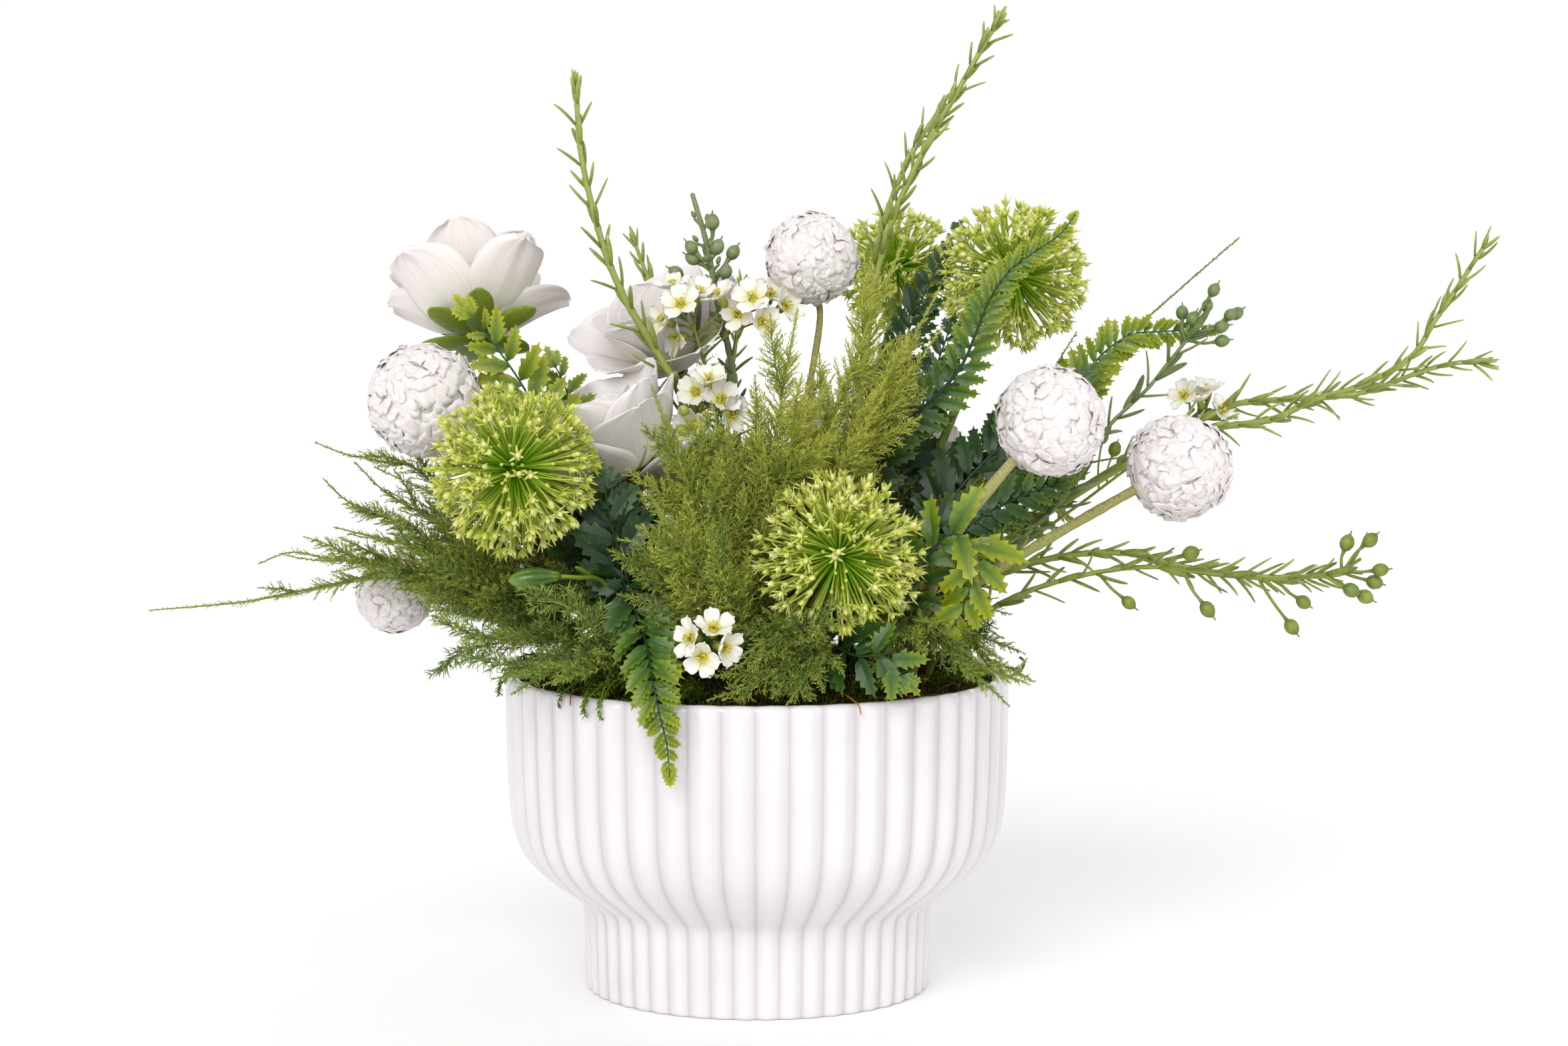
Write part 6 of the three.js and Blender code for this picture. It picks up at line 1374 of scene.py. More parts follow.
def tuft_frond(b, path, half, key, hint, tone=0.3, r0=1.0, gap=4.4, needle=7.5, mat=0, first=None):
    """A looser asparagus spray: longer, sparser needles in whorls on its side shoots."""
    g = gen("tuft", *key)
    x, s = curve(path, 1.2)
    i0 = clear_from(x) if first is None else first
    t, n, w = facing(x, hint)
    s0, s1 = s[i0] + 2.0, s[-1]
    span = s1 - s0
    tube(b, x, r0 * np.clip(1 - 0.7 * np.clip((s - s0) / span, 0, 1), 0.25, 1), 5, 0.3, mat)
    q = np.arange(s0, s1 - 1, gap)
    for i, qq in enumerate(q):
        f = (qq - s0) / span
        T, N, W = at(s, t, [qq])[0], at(s, n, [qq])[0], at(s, w, [qq])[0]
        for side in (1, -1):
            a = math.radians(50 - 14 * f + g.normal(0, 6))
            d = unit(T * math.cos(a) + W * side * math.sin(a) + N * g.normal(0.1, 0.3))
            l = half * (1 - 0.65 * f) * g.uniform(0.8, 1.2) + 3
            o = at(s, x, [qq])[0]
            y, z = across(d[None], -T[None])
            copies(b, NEEDLE, [o], [d], z, l, 0.7, 0.6, [max(0.05, tone - 0.1)], 0.0, mat, False, yz=(y, z))
            c = max(3, int(l / 1.9))
            fr = np.repeat((np.arange(c) + 0.5) / c, 4)
            m = len(fr)
            an = g.uniform(0, 2 * math.pi, m)
            sd = np.cos(an)[:, None] * y + np.sin(an)[:, None] * z
            lean = g.uniform(0.5, 1.1, m)
            nd = d * np.cos(lean)[:, None] + sd * np.sin(lean)[:, None]
            copies(b, TEPAL, o + d * (fr * l)[:, None], nd, sd, needle * g.uniform(0.55, 1.05, m) * (1 - 0.3 * fr), 0.55, 0.45, np.clip(tone + g.normal(0, 0.12, m) + 0.1 * fr, 0, 1), g.uniform(-0.4, 0.4, m), mat, False)


def rosemary(b, path, key, pitch=11.5, leaf=17.0, r0=1.7, length=190.0, tone=0.5, start=None, wide=2.3, lean0=40):
    g = gen("rosemary", *key)
    x, s = curve(path, 1.0)
    t, n, w = transport(x)
    first = max(s[-1] - length, s[int(np.argmax(x[:, 2] > 168))]) if start is None else start
    nodes = []
    q = first
    while q < s[-1] - 3.0:
        nodes.append(q)
        f = (q - first) / (s[-1] - first)
        q += pitch * (1.0 - 0.30 * f) * g.uniform(0.88, 1.12)
    nodes = np.array(nodes)
    r = r0 * (1 - 0.42 * np.clip((s - first) / (s[-1] - first), 0, 1))
    for q in nodes:
        r = r * (1 + 0.20 * np.exp(-(((s - q) / 0.9) ** 2)))
    tube(b, x, r, 8, float(np.clip(tone + 0.05, 0, 1)), 0, u=0.25 + 0.5 * s / s[-1])
    m = len(nodes)
    f = (nodes - first) / (s[-1] - first)
    T, N, W = at(s, t, nodes), at(s, n, nodes), at(s, w, nodes)
    turn = np.arange(m) * (math.pi / 2) + g.uniform(0, 6.28) + g.normal(0, 0.25, m)
    for k in (0, 1):
        a = turn + k * math.pi + g.normal(0, 0.12, m)
        side = np.cos(a)[:, None] * N + np.sin(a)[:, None] * W
        lean = np.radians(lean0 - 10 * f + g.normal(0, 6, m))
        d = T * np.cos(lean)[:, None] + side * np.sin(lean)[:, None]
        ln = leaf * g.uniform(0.82, 1.12, m) * np.where(f < 0.15, 0.8, 1.0) * (1 - 0.28 * f)
        bend = g.uniform(-0.45, 0.55, m)
        copies(b, LEAF, at(s, x, nodes) + side * r0 * 0.5, d, side, ln, wide * (1 - 0.15 * f), 1.25, np.clip(tone + g.normal(0, 0.14, m) + 0.12 * f, 0, 1), bend, 0)
        # small leaves in the axils
        z = g.uniform(size=m) < 0.25
        copies(b, LEAF, (at(s, x, nodes) + side * r0 * 0.4)[z], (T * 0.95 + side * 0.3)[z], side[z], ln[z] * 0.42, wide * 0.7, 0.9, np.clip(tone + 0.2, 0, 1), 0.1, 0)
    # tip tuft
    k = 5
    a = np.arange(k) * 2 * math.pi / k + g.uniform(0, 6)
    side = np.cos(a)[:, None] * n[-1] + np.sin(a)[:, None] * w[-1]
    lean = g.uniform(0.15, 0.55, k)
    d = t[-1] * np.cos(lean)[:, None] + side * np.sin(lean)[:, None]
    copies(b, LEAF, np.repeat(x[-1][None] - t[-1] * 1.5, k, 0), d, side, leaf * g.uniform(0.5, 0.78, k), wide * 0.85, 1.1, np.clip(tone + g.normal(0.15, 0.1, k), 0, 1), g.uniform(-0.3, 0.3, k), 0)


def near_point(p, q, back):
    best = None
    for path in p["paths"]:
        x, s = curve(path, 1.0)
        ok = x[:, 2] > 160
        d = np.where(ok, np.linalg.norm(x - q, axis=1), 1e9)
        k = int(np.argmin(d))
        if best is None or d[k] < best[0]:
            j = max(0, k - int(back))
            tt = unit(np.gradient(x, axis=0))
            best = (d[k], x[j], tt[j])
    return best[1], best[2]


def berries(b, p, tone, mat_stem, mat_berry, stalk=0.55, stretch=1.28, key="b", calyx=True):
    g = gen("berries", p["name"], key)
    for q in p.get("berries", []):
        q = np.array(q)
        r = p["br"] * g.uniform(1.05, 1.25)
        d0 = np.linalg.norm(near_point(p, q, 0)[0] - q)
        o, t = near_point(p, q, min(14, 3 + d0 * 0.6))
        e = unit(q - o)
        mid = (o + q) / 2 + t * 0.18 * np.linalg.norm(q - o) * -0.3 + g.normal(0, 0.5, 3)
        c, _ = curve([o, mid, q - e * r * 0.8], 1.0)
        tt = unit(c[-1] - c[-2])
        rr = np.linspace(stalk * 1.15, stalk, len(c)) * (1 + 0.5 * np.exp(-(((np.arange(len(c)) - len(c) + 1) / 1.5) ** 2)))
        tube(b, c, rr, 7, float(np.clip(tone + g.normal(0, 0.05), 0.02, 0.95)), mat_stem)
        L = 2 * r * stretch
        copies(b, OVOID, [c[-1] - tt * 0.3], [tt], (0.1, 0.2, 1), L, 2 * r, 2 * r, [float(np.clip(tone + g.normal(0, 0.06), 0, 1))], 0.0, mat_berry)
        copies(b, TEPAL, [c[-1] + tt * (L * 0.93)], [tt], (0.1, 0.2, 1), 2.2, 0.8, 0.8, [float(np.clip(tone, 0, 1))], 0.0, mat_berry)


def make_berry(i):
    p = P[f"berry_sprig_{i}"]
    g = gen("berry", i)
    b = Build()
    x, s = curve(p["paths"][0], 1.2)
    tone = (0.06, 0.30, 0.72)[i - 1]
    r0 = (2.5, 1.6, 1.6)[i - 1]
    f = s / s[-1]
    r = r0 * (1 - 0.5 * f) * (1 + 0.06 * np.sin(s * 0.8))
    tube(b, x, r, 9, tone, 0, u=0.1 + 0.7 * f)
    berries(b, p, tone, 0, 0, stalk=(0.95, 0.7, 0.7)[i - 1])
    t, n, w = transport(x)
    # narrow leaves and side shoots up the stem
    z0 = s[int(np.argmax(x[:, 2] > 175))]
    if i == 3:
        q = np.arange(z0 + 12, s[-1] - 4, 6.0)
    elif i == 2:
        q = np.arange(z0 + 6, s[-1] - 10, 5.2)
    else:
        q = np.arange(z0 + 4, s[-1] - 34, 7.5)
    m = len(q)
    a = np.arange(m) * 2.4 + g.uniform(0, 6)
    T, N, W = at(s, t, q), at(s, n, q), at(s, w, q)
    side = np.cos(a)[:, None] * N + np.sin(a)[:, None] * W
    lean = g.uniform(0.45, 0.85, m)
    d = T * np.cos(lean)[:, None] + side * np.sin(lean)[:, None]
    ln = {1: 14, 2: 19, 3: 17}[i] * g.uniform(0.75, 1.15, m)
    copies(b, LEAF, at(s, x, q), d, side, ln, {1: 3.2, 2: 3.8, 3: 3.0}[i], 1.1, np.clip(tone + g.normal(0, 0.06, m), 0, 1), g.uniform(-0.5, 0.4, m), 0)
    if i == 1:
        # knobby side shoots under the berries
        for k in range(12):
            qq = s[-1] - g.uniform(14, 70)
            o = at(s, x, [qq])[0]
            an = g.uniform(0, 6.28)
            T1 = at(s, t, [qq])[0]
            sd = math.cos(an) * at(s, n, [qq])[0] + math.sin(an) * at(s, w, [qq])[0]
            d1 = unit(T1 * 0.8 + sd * 0.7)
            l = g.uniform(5, 9)
            copies(b, LEAF, [o], [d1], [sd], l, 2.2, 1.6, [tone], [-0.4], 0)
            copies(b, OVOID, [o + d1 * l * 0.8], [unit(d1 + T1 * 0.4)], (0.2, 0.1, 1), 4.2, 2.4, 2.4, [tone], 0.0, 0)
    return b.make("look_" + p["name"], [M["berries"]], [p["name"]])


def wax_petal():
    """A rounded cupped petal as one closed body, 1 long."""
    nu, nv = 8, 7
    s = np.linspace(0, 1, nu)[:, None]
    t = np.linspace(-1, 1, nv)[None]
    half = 0.5 * np.maximum(0.22, np.where(s < 0.58, np.clip(1 - ((0.58 - s) / 0.58) ** 2, 0, 1) ** 0.6, np.clip(1 - (np.maximum(s - 0.58, 0) / 0.42) ** 2.6, 0, 1) ** 0.5))
    x = s - 0.10 * (s**8) * t**2
    y = half * t
    z = 0.22 * s**2 + 0.30 * (half * 2 * t) ** 2 * (0.5 + 0.5 * s) + 0.03 * np.sin(9 * t + 5 * s) * s
    g = np.stack([x * np.ones_like(t), y, z * np.ones_like(t)], -1)
    nrm = unit(np.cross(np.gradient(g, axis=0), np.gradient(g, axis=1)))
    th = 0.055 * (1 - 0.5 * np.abs(t))[..., None]
    top, bot = (g + nrm * th / 2).reshape(-1, 3), (g - nrm * th / 2).reshape(-1, 3)
    idx = np.arange(nu * nv).reshape(nu, nv)
    a, c, d, e = idx[:-1, :-1], idx[:-1, 1:], idx[1:, 1:], idx[1:, :-1]
    q = np.stack([a, e, d, c], -1).reshape(-1, 4)
    m = nu * nv
    loop = np.concatenate([idx[0, :-1], idx[:-1, -1], idx[-1, :0:-1], idx[:0:-1, 0]])
    nx = np.roll(loop, -1)
    rim = np.stack([loop, nx, nx + m, loop + m], -1)
    u = np.stack([(0.02 + 0.94 * s) * np.ones_like(t), 0.5 + 0.42 * t * np.ones_like(s)], -1).reshape(-1, 2)
    return np.concatenate([top, bot]), [q, q[:, ::-1] + m, rim], np.concatenate([u, u * 0.99 + 0.005])


WAX = wax_petal()


def wax_flower(b, q, d, g, size=1.0, mats=(0, 1, 2), open_=1.0):
    y, z = across(d[None], (0.2, 0.3, 0.9))
    y, z = y[0], z[0]
    n = 5
    a = np.arange(n) * 2 * math.pi / n + g.uniform(0, 6.28) + g.normal(0, 0.07, n)
    side = np.cos(a)[:, None] * y + np.sin(a)[:, None] * z
    lift = g.uniform(0.18, 0.42, n) * open_
    x = unit(side * np.cos(lift)[:, None] + d * np.sin(lift)[:, None])
    zz = unit(d - (x @ d)[:, None] * x)
    yy = np.cross(zz, x)
    copies(b, WAX, q + side * 1.3 * size, x, zz, g.uniform(7.4, 8.4, n) * size, g.uniform(6.2, 7.0, n) * size, 6.4 * size, g.uniform(0.02, 0.96, n), g.uniform(-0.35, 0.25, n), mats[0], (True, True, False), yz=(yy, zz))
    # yellow-green cup and stamens
    th = np.linspace(0, math.pi, 8)
    body = turned_body((1 - np.cos(th)) / 2, np.sin(th) * 0.5, np.sin(th) * 0.5, 10)
    copies(b, body, [q - d * 2.4 * size], [d], y, 3.0 * size, 3.6 * size, 3.6 * size, [0.6], 0.0, mats[1])
    copies(b, body, [q - d * 5.2 * size], [d], y, 5.4 * size, 4.0 * size, 4.0 * size, [0.88], 0.0, mats[2])
    k = 14
    an = g.uniform(0, 6.28, k)
    dd = unit(d + 0.55 * np.sqrt(g.uniform(0.1, 1, k))[:, None] * (np.cos(an)[:, None] * y + np.sin(an)[:, None] * z))
    copies(b, NEEDLE, np.repeat(q[None], k, 0) + dd * 0.6, dd, d, 3.0 * size, 0.42, 0.42, g.uniform(0, 0.6, k), 0.0, mats[1])
    copies(b, OVOID, q + dd * 3.0 * size, dd, y, 1.1, 0.9, 0.9, g.uniform(0.6, 1, k), 0.0, mats[1])


FACE = {
    "waxflower_sprig_1": [(-0.75, -0.5, 0.35), (-0.2, -0.2, 0.95), (0.15, -0.5, 0.85), (-0.35, -0.85, 0.2), (0.3, -0.55, 0.8), (-0.3, -0.85, 0.4), (0.3, -0.8, 0.5), (-0.5, -0.8, -0.1), (0.3, -0.9, 0.2)],
    "waxflower_sprig_2": [(0.15, -0.6, 0.75), (-0.25, -0.9, -0.25), (-0.75, -0.6, 0.1), (0.75, -0.6, -0.15)],
    "waxflower_sprig_3": [(-0.3, -0.3, 0.9), (0.5, -0.5, 0.65)],
}


MORE = {
    "waxflower_sprig_1": [
        ((-36.0, -3.0, 326.0), (-0.1, -0.75, 0.6)),
        ((-17.5, -1.0, 329.5), (-0.5, -0.3, 0.85)),
        ((-2.0, -2.0, 329.0), (-0.2, -0.8, 0.55)),
        ((2.0, -4.0, 318.0), (0.5, -0.8, 0.1)),
        ((13.0, 4.0, 325.0), (0.7, -0.6, 0.4)),
        ((-22.5, -27.0, 291.0), (0.0, -0.4, 0.9)),
        ((-12.0, -28.0, 275.5), (0.6, -0.75, 0.1)),
        ((-38.0, 10.0, 310.0), (-0.8, -0.5, -0.1)),
    ],
    "waxflower_sprig_3": [((206.0, 27.0, 281.0), (-0.5, -0.6, 0.6)), ((218.0, 34.0, 283.0), (0.1, -0.1, 1.0))],
}


def make_wax(i):
    p = P[f"waxflower_sprig_{i}"]
    g = gen("wax", i)
    b = Build()
    x, s = curve(p["paths"][0], 1.2)
    tube(b, x, 1.0 * (1 - 0.35 * s / s[-1]), 7, 0.82, 2)
    size = (1.18, 1.16, 1.05)[i - 1]
    middle = np.mean(p["flowers"], axis=0)
    more = MORE.get(p["name"], [])
    for k, q in enumerate(list(p["flowers"]) + [m[0] for m in more]):
        q = np.array(q)
        if i == 2:
            q = middle + (q - middle) * 0.78
        d = unit((FACE[p["name"]] + [m[1] for m in more])[k])
        o, t = near_point(p, q, 10)
        foot = q - d * 5.0 * size
        mid = o * 0.45 + foot * 0.55 - d * 2.0 + t * 2.0
        c, _ = curve([o, mid, foot], 1.2)
        tube(b, c, 0.5, 6, 0.8, 2)
        wax_flower(b, q, d, g, size, open_=0.8 if k % 3 else 1.25)
        # two narrow leaves on the flower's stalk
        m = 2
        an = g.uniform(0, 6.28, m)
        y, z = across(np.repeat(unit(foot - o)[None], m, 0), g.normal(size=(m, 3)))
        j = len(c) // 2
        dd = unit(foot - o)[None] * 0.8 + z * 0.7
        copies(b, LEAF, np.repeat(c[j][None], m, 0), dd, z, g.uniform(7, 11, m), 1.5, 0.8, np.full(m, 0.5), g.uniform(-0.3, 0.5, m), 2)
    berries(b, p, 0.93, 2, 2, stalk=0.5, stretch=1.35)
    return b.make("look_" + p["name"], [M["waxflower_petals"], M["stamens"], M["berries"]], [p["name"]])


def make_bud():
    p = P["bud_sprig"]
    b = Build()
    g = gen("bud")
    x, s = curve(p["paths"][0], 1.2)
    tube(b, x, 1.25 * (1 - 0.25 * s / s[-1]), 8, 0.6, 1)
    tip, d = x[-1], unit(x[-1] - x[-4])
    # a ribbed bud: six shallow lobes
    xs = np.r_[0, np.sin(np.linspace(0.09, math.pi / 2, 9)) ** 1.2 * 0.5, 1 - (np.sin(np.linspace(math.pi / 2, 0.12, 9)) ** 1.2 * 0.5)[1:], 1.02]
    prof = np.sin(np.clip(xs, 0, 1) ** 1.1 * math.pi) ** 0.5
    prof[0] = prof[-1] = 0
    a = np.arange(48) * 2 * math.pi / 48
    v, u = [[xs[0], 0, 0]], [[0.01, 0.5]]
    for i in range(1, len(xs) - 1):
        for q in a:
            r = prof[i] * 0.5 * (1 - 0.13 * abs(math.cos(3 * q)) ** 5)
            v.append([xs[i], r * math.cos(q), r * math.sin(q)])
            u.append([0.02 + 0.95 * xs[i], 0.5 + 0.5 * math.sin(q + 0.03)])
    v.append([xs[-1], 0, 0])
    u.append([0.99, 0.5])
    n = len(xs) - 2
    tri, quad = [], []
    for j in range(48):
        k = (j + 1) % 48
        tri += [[0, 1 + k, 1 + j], [len(v) - 1, 1 + (n - 1) * 48 + j, 1 + (n - 1) * 48 + k]]
        for i in range(n - 1):
            o = 1 + i * 48
            quad.append([o + j, o + k, o + 48 + k, o + 48 + j])
    body = (np.array(v), [np.array(quad), np.array(tri)], np.array(u))
    copies(b, body, [tip - d * 12.0], [d], (0, -0.3, 1), 22.5, 10.2, 10.0, [0.4], 0.0, 0)
    k = 6
    an = np.arange(k) * 2 * math.pi / k
    y, z = across(d[None], (0, 0, 1))
    side = np.cos(an)[:, None] * y + np.sin(an)[:, None] * z
    copies(b, TEPAL, tip - d * 13.0 + side * 0.8, d * 0.8 + side * 0.55, side, 5.5, 2.6, 0.8, g.uniform(0.2, 0.9, k), 0.5, 1)
    m = 3
    q = np.linspace(s[-1] * 0.62, s[-1] * 0.88, m)
    t, nn, w = transport(x)
    an = g.uniform(0, 6.28, m)
    side = np.cos(an)[:, None] * at(s, nn, q) + np.sin(an)[:, None] * at(s, w, q)
    copies(b, LEAF, at(s, x, q), at(s, t, q) * 0.75 + side * 0.6, side, 12, 2.6, 0.9, g.uniform(0.2, 0.9, m), 0.3, 1)
    return b.make("look_bud_sprig", [M["green_bud"], M["sepal"]], ["bud_sprig"])


# tone at the base and tip of each leather fern frond, and how its leaflets are set
FERN = {
    "leather_fern_1": [(0.32, 0.95, 12.4, 0.37, 0.7, 1.5), (0.25, 0.8, 11.0, 0.37, 1.0, 1.9)],
    "leather_fern_2": [(0.0, 1.08, 9.8, 0.35, 1.1, 1.6), (0.0, 0.12, 9.0, 0.36, 1.0, 1.4)],
    "leather_fern_3": [(0.0, 1.0, 9.8, 0.33, 1.2, 1.45)],
    "leather_fern_4": [(0.25, 1.0, 10.8, 0.33, 0.8, 1.5)],
    "leather_fern_5": [(0.10, 1.05, 10.8, 0.38, 0.7, 2.1), (0.10, 0.55, 9.6, 0.40, 1.0, 1.6)],
    "leather_fern_6": [(0.0, 0.14, 7.8, 0.32, 1.0, 1.25), (0.0, 0.28, 7.8, 0.32, 1.2, 1.2), (0.02, 0.5, 7.6, 0.34, 1.2, 1.25)],
    "leather_fern_7": [(0.1, 0.9, 9.6, 0.40, 1.0, 1.25), (0.02, 0.35, 9.4, 0.38, 1.0, 1.25)],
    "leather_fern_8": [(0.1, 0.55, 9.6, 0.38, 1.0, 1.25), (0.2, 1.0, 9.6, 0.40, 0.9, 1.25)],
}

# fronds that run out to a point
TAPER = {("leather_fern_2", 0): 1.5, ("leather_fern_3", 0): 2.3, ("leather_fern_4", 0): 2.3}

# more fronds of the same fern, between the ones above: path, half width, then as above
MORE_FERN = {
    "leather_fern_6": [
        ([(30, 6, 150), (36, 10, 190), (56, 40, 262), (78, 54, 322), (98, 60, 362)], 14, (0.02, 0.22, 7.6, 0.34, 1.4, 1.0)),
        ([(32, 2, 150), (38, 4, 186), (50, 14, 236), (64, 26, 282)], 15, (0.0, 0.16, 7.8, 0.34, 1.2, 1.0)),
        ([(34, -2, 150), (48, -4, 180), (76, -4, 212), (112, 0, 234)], 15, (0.0, 0.2, 7.8, 0.34, 1.2, 1.0)),
        ([(36, 8, 150), (54, 14, 190), (92, 26, 238), (126, 34, 270)], 15, (0.0, 0.12, 7.8, 0.34, 1.2, 1.0)),
    ],
    "leather_fern_2": [
        ([(-40, -8, 150), (-52, -18, 178), (-72, -34, 204), (-94, -46, 216)], 15, (0.0, 0.1, 8.4, 0.36, 1.0, 1.0)),
        ([(-40, -10, 150), (-46, -28, 176), (-58, -54, 196), (-72, -74, 206)], 14, (0.0, 0.2, 8.4, 0.36, 1.0, 1.0)),
        ([(-38, -6, 150), (-42, -20, 186), (-52, -34, 220), (-66, -40, 244)], 13, (0.0, 0.1, 8.4, 0.36, 1.0, 1.0)),
    ],
}


def make_fern(i):
    name = f"leather_fern_{i}"
    p = P[name]
    b = Build()
    for k, path in enumerate(p["paths"]):
        t0, t1, pitch, wide, power, size = FERN[name][k]
        fern(b, path, p["hw"][k] * size, (name, k), look_of(p, path), t0, min(1.0, t1), p["r"], pitch, wide=wide, power=power, taper=TAPER.get((name, k), 4.2))
    for k, (path, half, (t0, t1, pitch, wide, power, size)) in enumerate(MORE_FERN.get(name, [])):
        fern(b, path, half * size, (name, "more", k), look_of(p, path), t0, t1, 1.0, pitch, wide=wide, power=power)
    return b.make("look_" + name, [M["fern_leaf"]], [name])


def beside(path, g, share, dx, dy, dz):
    """A copy of a frond's path that ends sooner and leans another way."""
    x, s = curve(path, 2.0)
    m = int(len(x) * share)
    x = x[:m].copy()
    i0 = clear_from(x)
    f = np.clip((np.arange(m) - i0 * 0.8) / max(1, m - i0 * 0.8), 0, 1) ** 1.3
    x += f[:, None] * np.array([g.normal(0, dx), g.normal(0, dy), g.normal(0, dz)])
    return x[::6] if (m - 1) % 6 == 0 else np.concatenate([x[::6], x[-1:]])


# stems of the same plant that have lost their needles
BARE = {"asparagus_right": [[(98, -16, 150), (93.8, -14.0, 176.2), (102.8, -14.0, 165.3), (110.9, -14.0, 154.5), (118.0, -14.0, 150.7), (123.9, -14.0, 151.8), (126.8, -14.0, 157.2), (124.6, -14.0, 159.6)]]}


def make_asparagus(name, tones, extra=0, lean=(16, 9, 10), also=(), full=1.0, **k):
    p = P[name]
    b = Build()
    ge = gen("extra", name)
    for j, (path, half, tone, kw) in enumerate(also):
        plume(b, path, half, (name, "also", j), look_of(p, path), tone, 0.9, **kw)
    for j, path in enumerate(p["paths"]):
        kw = dict(k)
        kw.update((tones[j][1] if isinstance(tones[j], tuple) else {}))
        tone = tones[j][0] if isinstance(tones[j], tuple) else tones[j]
        if kw.pop("loose", False):
            tuft_frond(b, path, p["hw"][j], (name, j), look_of(p, path), tone)
        else:
            plume(b, path, p["hw"][j] * full, (name, j), look_of(p, path), tone, p["r"], **kw)
            for e in range(kw.get("subs", 0) and extra):
                q = beside(path, ge, ge.uniform(0.62, 0.93), *lean)
                plume(b, q, p["hw"][j] * full * ge.uniform(0.6, 0.9), (name, j, "e", e), look_of(p, path) + ge.normal(0, 0.4, 3), float(np.clip(tone + ge.normal(0, 0.08), 0.1, 0.95)), 0.7, **dict(kw, subs=max(0, kw.get("subs", 0) - 3)))
    for pts in BARE.get(name, []):
        x, s = curve(pts, 1.2)
        tube(b, x, np.linspace(0.85, 0.6, len(x)), 6, 0.03, 0, u=np.linspace(0.02, 0.3, len(x)))
        q = np.arange(2.0, s[-1], 2.6)
        t, n, w = facing(x, (0, -1, 0.3))
        sd = np.where(np.arange(len(q)) % 2 == 0, 1.0, -1.0)[:, None]
        copies(b, STRAND, at(s, x, q), at(s, t, q) + 0.5 * sd * at(s, w, q), at(s, n, q), 2.0, 0.6, 0.5, 0.08, 0.3, 0)
    return b.make("look_" + name, [M["asparagus_needles"]], [name])


def make_rosemary(i):
    name = f"rosemary_{i}"
    p = P[name]
    b = Build()
    setup = {1: (12.0, 19.0, 2.0, 175), 2: (9.4, 18.0, 1.9, 200), 3: (8.4, 18.0, 1.75, 185), 4: (8.0, 18.5, 1.75, 190), 5: (11, 17, 1.7, 150)}[i]
    for k, path in enumerate(p["paths"]):
        rosemary(b, path, (name, k), setup[0], setup[1], setup[2], setup[3], tone={1: 0.5, 2: 0.55, 3: 0.5, 4: 0.42, 5: 0.5}[i], wide={1: 2.9, 2: 2.7, 3: 2.5, 4: 2.6, 5: 2.6}[i])
    return b.make("look_" + name, [M["rosemary_leaf"]], [name])


# ------------------------------------------------------------------ the arrangement
make_pot()
make_moss()
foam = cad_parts["floral_foam"]
foam.data.materials.clear()
foam.data.materials.append(M["foam"])

for i in range(1, 6):
    make_pompom(i)
    pompom_stem(i)
    make_allium(i)
    allium_stem(i)
    make_bloom(i)
    bloom_stem(i)
    make_rosemary(i)
for i in (1, 2, 3):
    make_berry(i)
    make_wax(i)
for i in range(1, 9):
    make_fern(i)
def ring(name, angles, r1, z1, tones, half=11, subs=3, drop=8):
    """Low fronds that spread out over the moss."""
    g = gen("ring", name)
    out = []
    for a in angles:
        a = a + g.uniform(-0.07, 0.07)
        e = np.array([math.cos(a), math.sin(a)])
        side = np.array([-e[1], e[0]])
        r2 = r1 * g.uniform(0.86, 1.08)
        z2 = z1 + g.uniform(-8, 10)
        w = g.uniform(-16, 16)
        out.append(([np.r_[e * 44, 150], np.r_[e * 56, 166], np.r_[e * (56 + r2) / 2 + side * w * 0.3, z2 + 4], np.r_[e * r2 + side * w, z2 - g.uniform(0, drop)]], half * g.uniform(0.85, 1.15), float(g.uniform(*tones)), {"subs": subs}))
    return out


make_asparagus("asparagus_left", [(0.50, {"wisp": 0.42, "needle": 3.4, "subs": 3}), (0.48, {"wisp": 0.25}), (0.44, {}), (0.42, {}), (0.40, {}), (0.42, {})], subs=6, extra=3, dense=1.1, full=1.3, lean=(10, 12, 12),
    also=ring("asparagus_left", (3.0, 3.2, 3.4, 3.6), 112, 196, (0.3, 0.5), 12, 4) + [
        ([(-50, 6, 150), (-60, 4, 176), (-84, 0, 204), (-122, -6, 232)], 15, 0.46, {"subs": 5}),
        ([(-50, -6, 150), (-62, -14, 176), (-88, -30, 200), (-128, -46, 214)], 14, 0.42, {"subs": 5}),
        ([(-46, 10, 150), (-52, 16, 182), (-66, 26, 226), (-84, 34, 262)], 14, 0.40, {"subs": 4}),
        ([(-44, 6, 150), (-48, 10, 182), (-56, 16, 220), (-62, 20, 252)], 13, 0.34, {"subs": 4}),
        ([(-46, -10, 150), (-52, -26, 176), (-68, -50, 190), (-92, -76, 200)], 12, 0.38, {"subs": 4}),
        ([(-52, -2, 150), (-60, -10, 178), (-125.2, -23.2, 224.4), (-178.5, -34, 251.5)], 12, 0.44, {"subs": 5}),
        ([(-52, -2, 150), (-60, -15, 178), (-117.5, -34.2, 214), (-164.6, -50, 232.6)], 12, 0.48, {"subs": 5}),
        ([(-52, -2, 150), (-60, -3, 178), (-111.1, -6.8, 221.3), (-152.9, -10, 245.8)], 12, 0.42, {"subs": 5}),
        ([(-52, -2, 150), (-60, -12, 178), (-102.8, -27.4, 212.7), (-137.8, -40, 230.1)], 12, 0.44, {"subs": 4}),
        ([(-52, -2, 150), (-60, -17, 178), (-92.8, -38.5, 199.9), (-119.6, -56, 206.9)], 12, 0.4, {"subs": 4}),
        ([(-52, -2, 150), (-60, -18, 178), (-130.5, -41.1, 208.6), (-188.1, -60, 222.7)], 11, 0.44, {"subs": 5})])
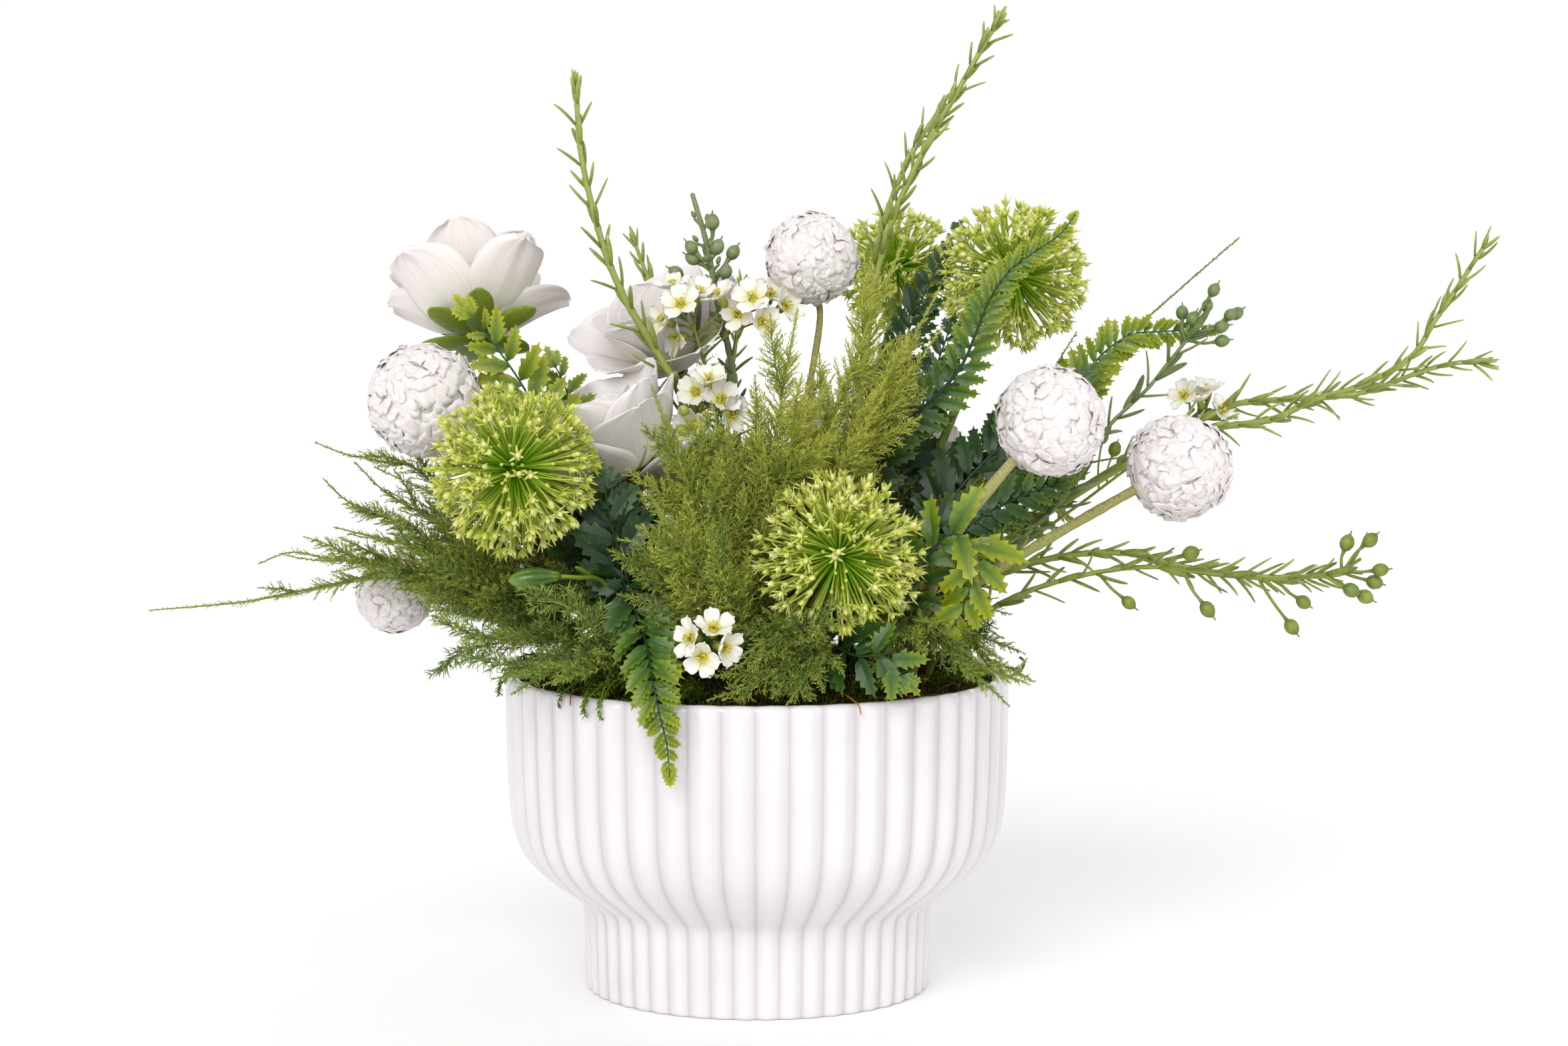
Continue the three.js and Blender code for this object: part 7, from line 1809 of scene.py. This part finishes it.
make_asparagus("asparagus_lower_left", [(0.36, {"loose": True}), (0.28, {"loose": True}), (0.32, {}), (0.36, {}), (0.30, {"loose": True}), (0.26, {"loose": True})], subs=5, extra=1, lean=(8, 8, 6),
    also=ring("asparagus_lower_left", (3.55, 3.75, 3.95, 4.15, 4.35), 104, 178, (0.22, 0.42), 11, 4))
make_asparagus("asparagus_centre", [(0.56, {}), (0.60, {}), (0.74, {}), (0.80, {}), (0.76, {}), (0.50, {}), (0.66, {}), (0.54, {})], dense=1.2, subs=7, needle=4.4, extra=2, lean=(17, 9, 13))
make_asparagus("asparagus_right", [0.40, 0.42, 0.36, 0.40], subs=5, dense=1.1, extra=1, lean=(8, 7, 7), also=ring("asparagus_right", (5.55, 5.8, 6.05, 6.3), 104, 188, (0.25, 0.45), 11, 4) + [
        ([(48, 4, 150), (58, 6, 182), (82, 10, 220), (112, 14, 252)], 14, 0.34, {"subs": 5}),
        ([(44, 12, 150), (50, 18, 190), (62, 30, 240), (76, 40, 282)], 13, 0.38, {"subs": 5}),
        ([(50, -6, 150), (64, -8, 178), (96, -10, 206), (136, -10, 224)], 12, 0.32, {"subs": 5}),
        ([(50, 14, 150), (68, 20, 182), (106, 28, 220), (146, 30, 264)], 11, 0.26, {"subs": 5}),
        ([(30, 20, 150), (34, 26, 200), (44, 40, 262), (52, 46, 312)], 15, 0.52, {"subs": 6}),
        ([(50, 14, 150), (70, 20, 186), (112, 28, 244), (154, 30, 312)], 9, 0.16, {"subs": 4, "needle": 5.0}),
        ([(50, 12, 150), (68, 20, 186), (104, 26, 240), (134, 28, 292)], 11, 0.2, {"subs": 4})])
make_asparagus("asparagus_front", [0.42, 0.38, 0.36, 0.36], subs=5, dense=1.1, extra=1, lean=(8, 6, 6))
make_asparagus("asparagus_back_left", [0.5, 0.42, 0.6, 0.36], subs=6, extra=1, lean=(12, 12, 12), also=ring("asparagus_back_left", (1.65, 1.95, 2.25, 2.55, 2.85), 120, 186, (0.25, 0.55), 14, 5, 14))
make_asparagus("asparagus_back_right", [0.5, 0.56, 0.66, 0.36, (0.3, {"wisp": 0.8, "needle": 3.4, "subs": 0})], subs=6, extra=1, lean=(12, 12, 12), also=ring("asparagus_back_right", (0.25, 0.55, 0.85, 1.1, 1.35), 120, 186, (0.25, 0.55), 14, 5, 14))
make_bud()


# ------------------------------------------------------------------ floor, light, camera
def plane(name, size, z, mat):
    n = 16
    a = np.linspace(-size, size, n + 1)
    x, y = np.meshgrid(a, a, indexing="ij")
    v = np.stack([x, y, np.full_like(x, z)], -1).reshape(-1, 3)
    me = bpy.data.meshes.new(name)
    idx = np.arange((n + 1) ** 2).reshape(n + 1, n + 1)
    q = np.stack([idx[:-1, :-1], idx[1:, :-1], idx[1:, 1:], idx[:-1, 1:]], -1).reshape(-1, 4)
    me.from_pydata(v.tolist(), [], q.tolist())
    me.materials.append(mat)
    o = bpy.data.objects.new(name, me)
    bpy.context.scene.collection.objects.link(o)
    return o


plane("floor", 14.0, 0.0, M["floor"])

world = bpy.data.worlds.new("studio")
bpy.context.scene.world = world
world.use_nodes = True
tree = world.node_tree
bg = tree.nodes["Background"]
# white round the horizon, softer overhead
place = tree.nodes.new("ShaderNodeTexCoord")
axes = tree.nodes.new("ShaderNodeSeparateXYZ")
fade = tree.nodes.new("ShaderNodeMapRange")
fade.inputs["From Min"].default_value = 0.20
fade.inputs["From Max"].default_value = 0.55
fade.inputs["To Min"].default_value = 1.02
fade.inputs["To Max"].default_value = 0.50
tree.links.new(place.outputs["Generated"], axes.inputs[0])
tree.links.new(axes.outputs["Z"], fade.inputs["Value"])
bg.inputs[0].default_value = (1.0, 1.0, 1.0, 1.0)
tree.links.new(fade.outputs[0], bg.inputs[1])


def sun(name, towards, power, spread):
    d = bpy.data.lights.new(name, "SUN")
    d.energy = power
    d.angle = math.radians(spread)
    o = bpy.data.objects.new(name, d)
    from mathutils import Vector

    o.rotation_euler = (-Vector(towards)).to_track_quat("-Z", "Y").to_euler()
    bpy.context.scene.collection.objects.link(o)
    return o


sun("key", (-0.36, -1.2, 0.78), 1.75, 40)
sun("fill", (0.85, -0.62, 0.7), 0.5, 60)
sun("back", (0.25, 1.0, 1.15), 0.75, 70)

cam = bpy.data.cameras.new("camera")
cam.sensor_width = 36.0
cam.lens = 5387.0 / 2351.0 * 36.0
cam.clip_start, cam.clip_end = 0.05, 60.0
co = bpy.data.objects.new("camera", cam)
co.location = (0.0128, -1.704, 0.3781)
co.rotation_euler = (math.radians(84.77), 0.0, 0.0)
bpy.context.scene.collection.objects.link(co)
bpy.context.scene.camera = co

bpy.context.scene.view_settings.view_transform = "Standard"
bpy.context.scene.view_settings.look = "None"
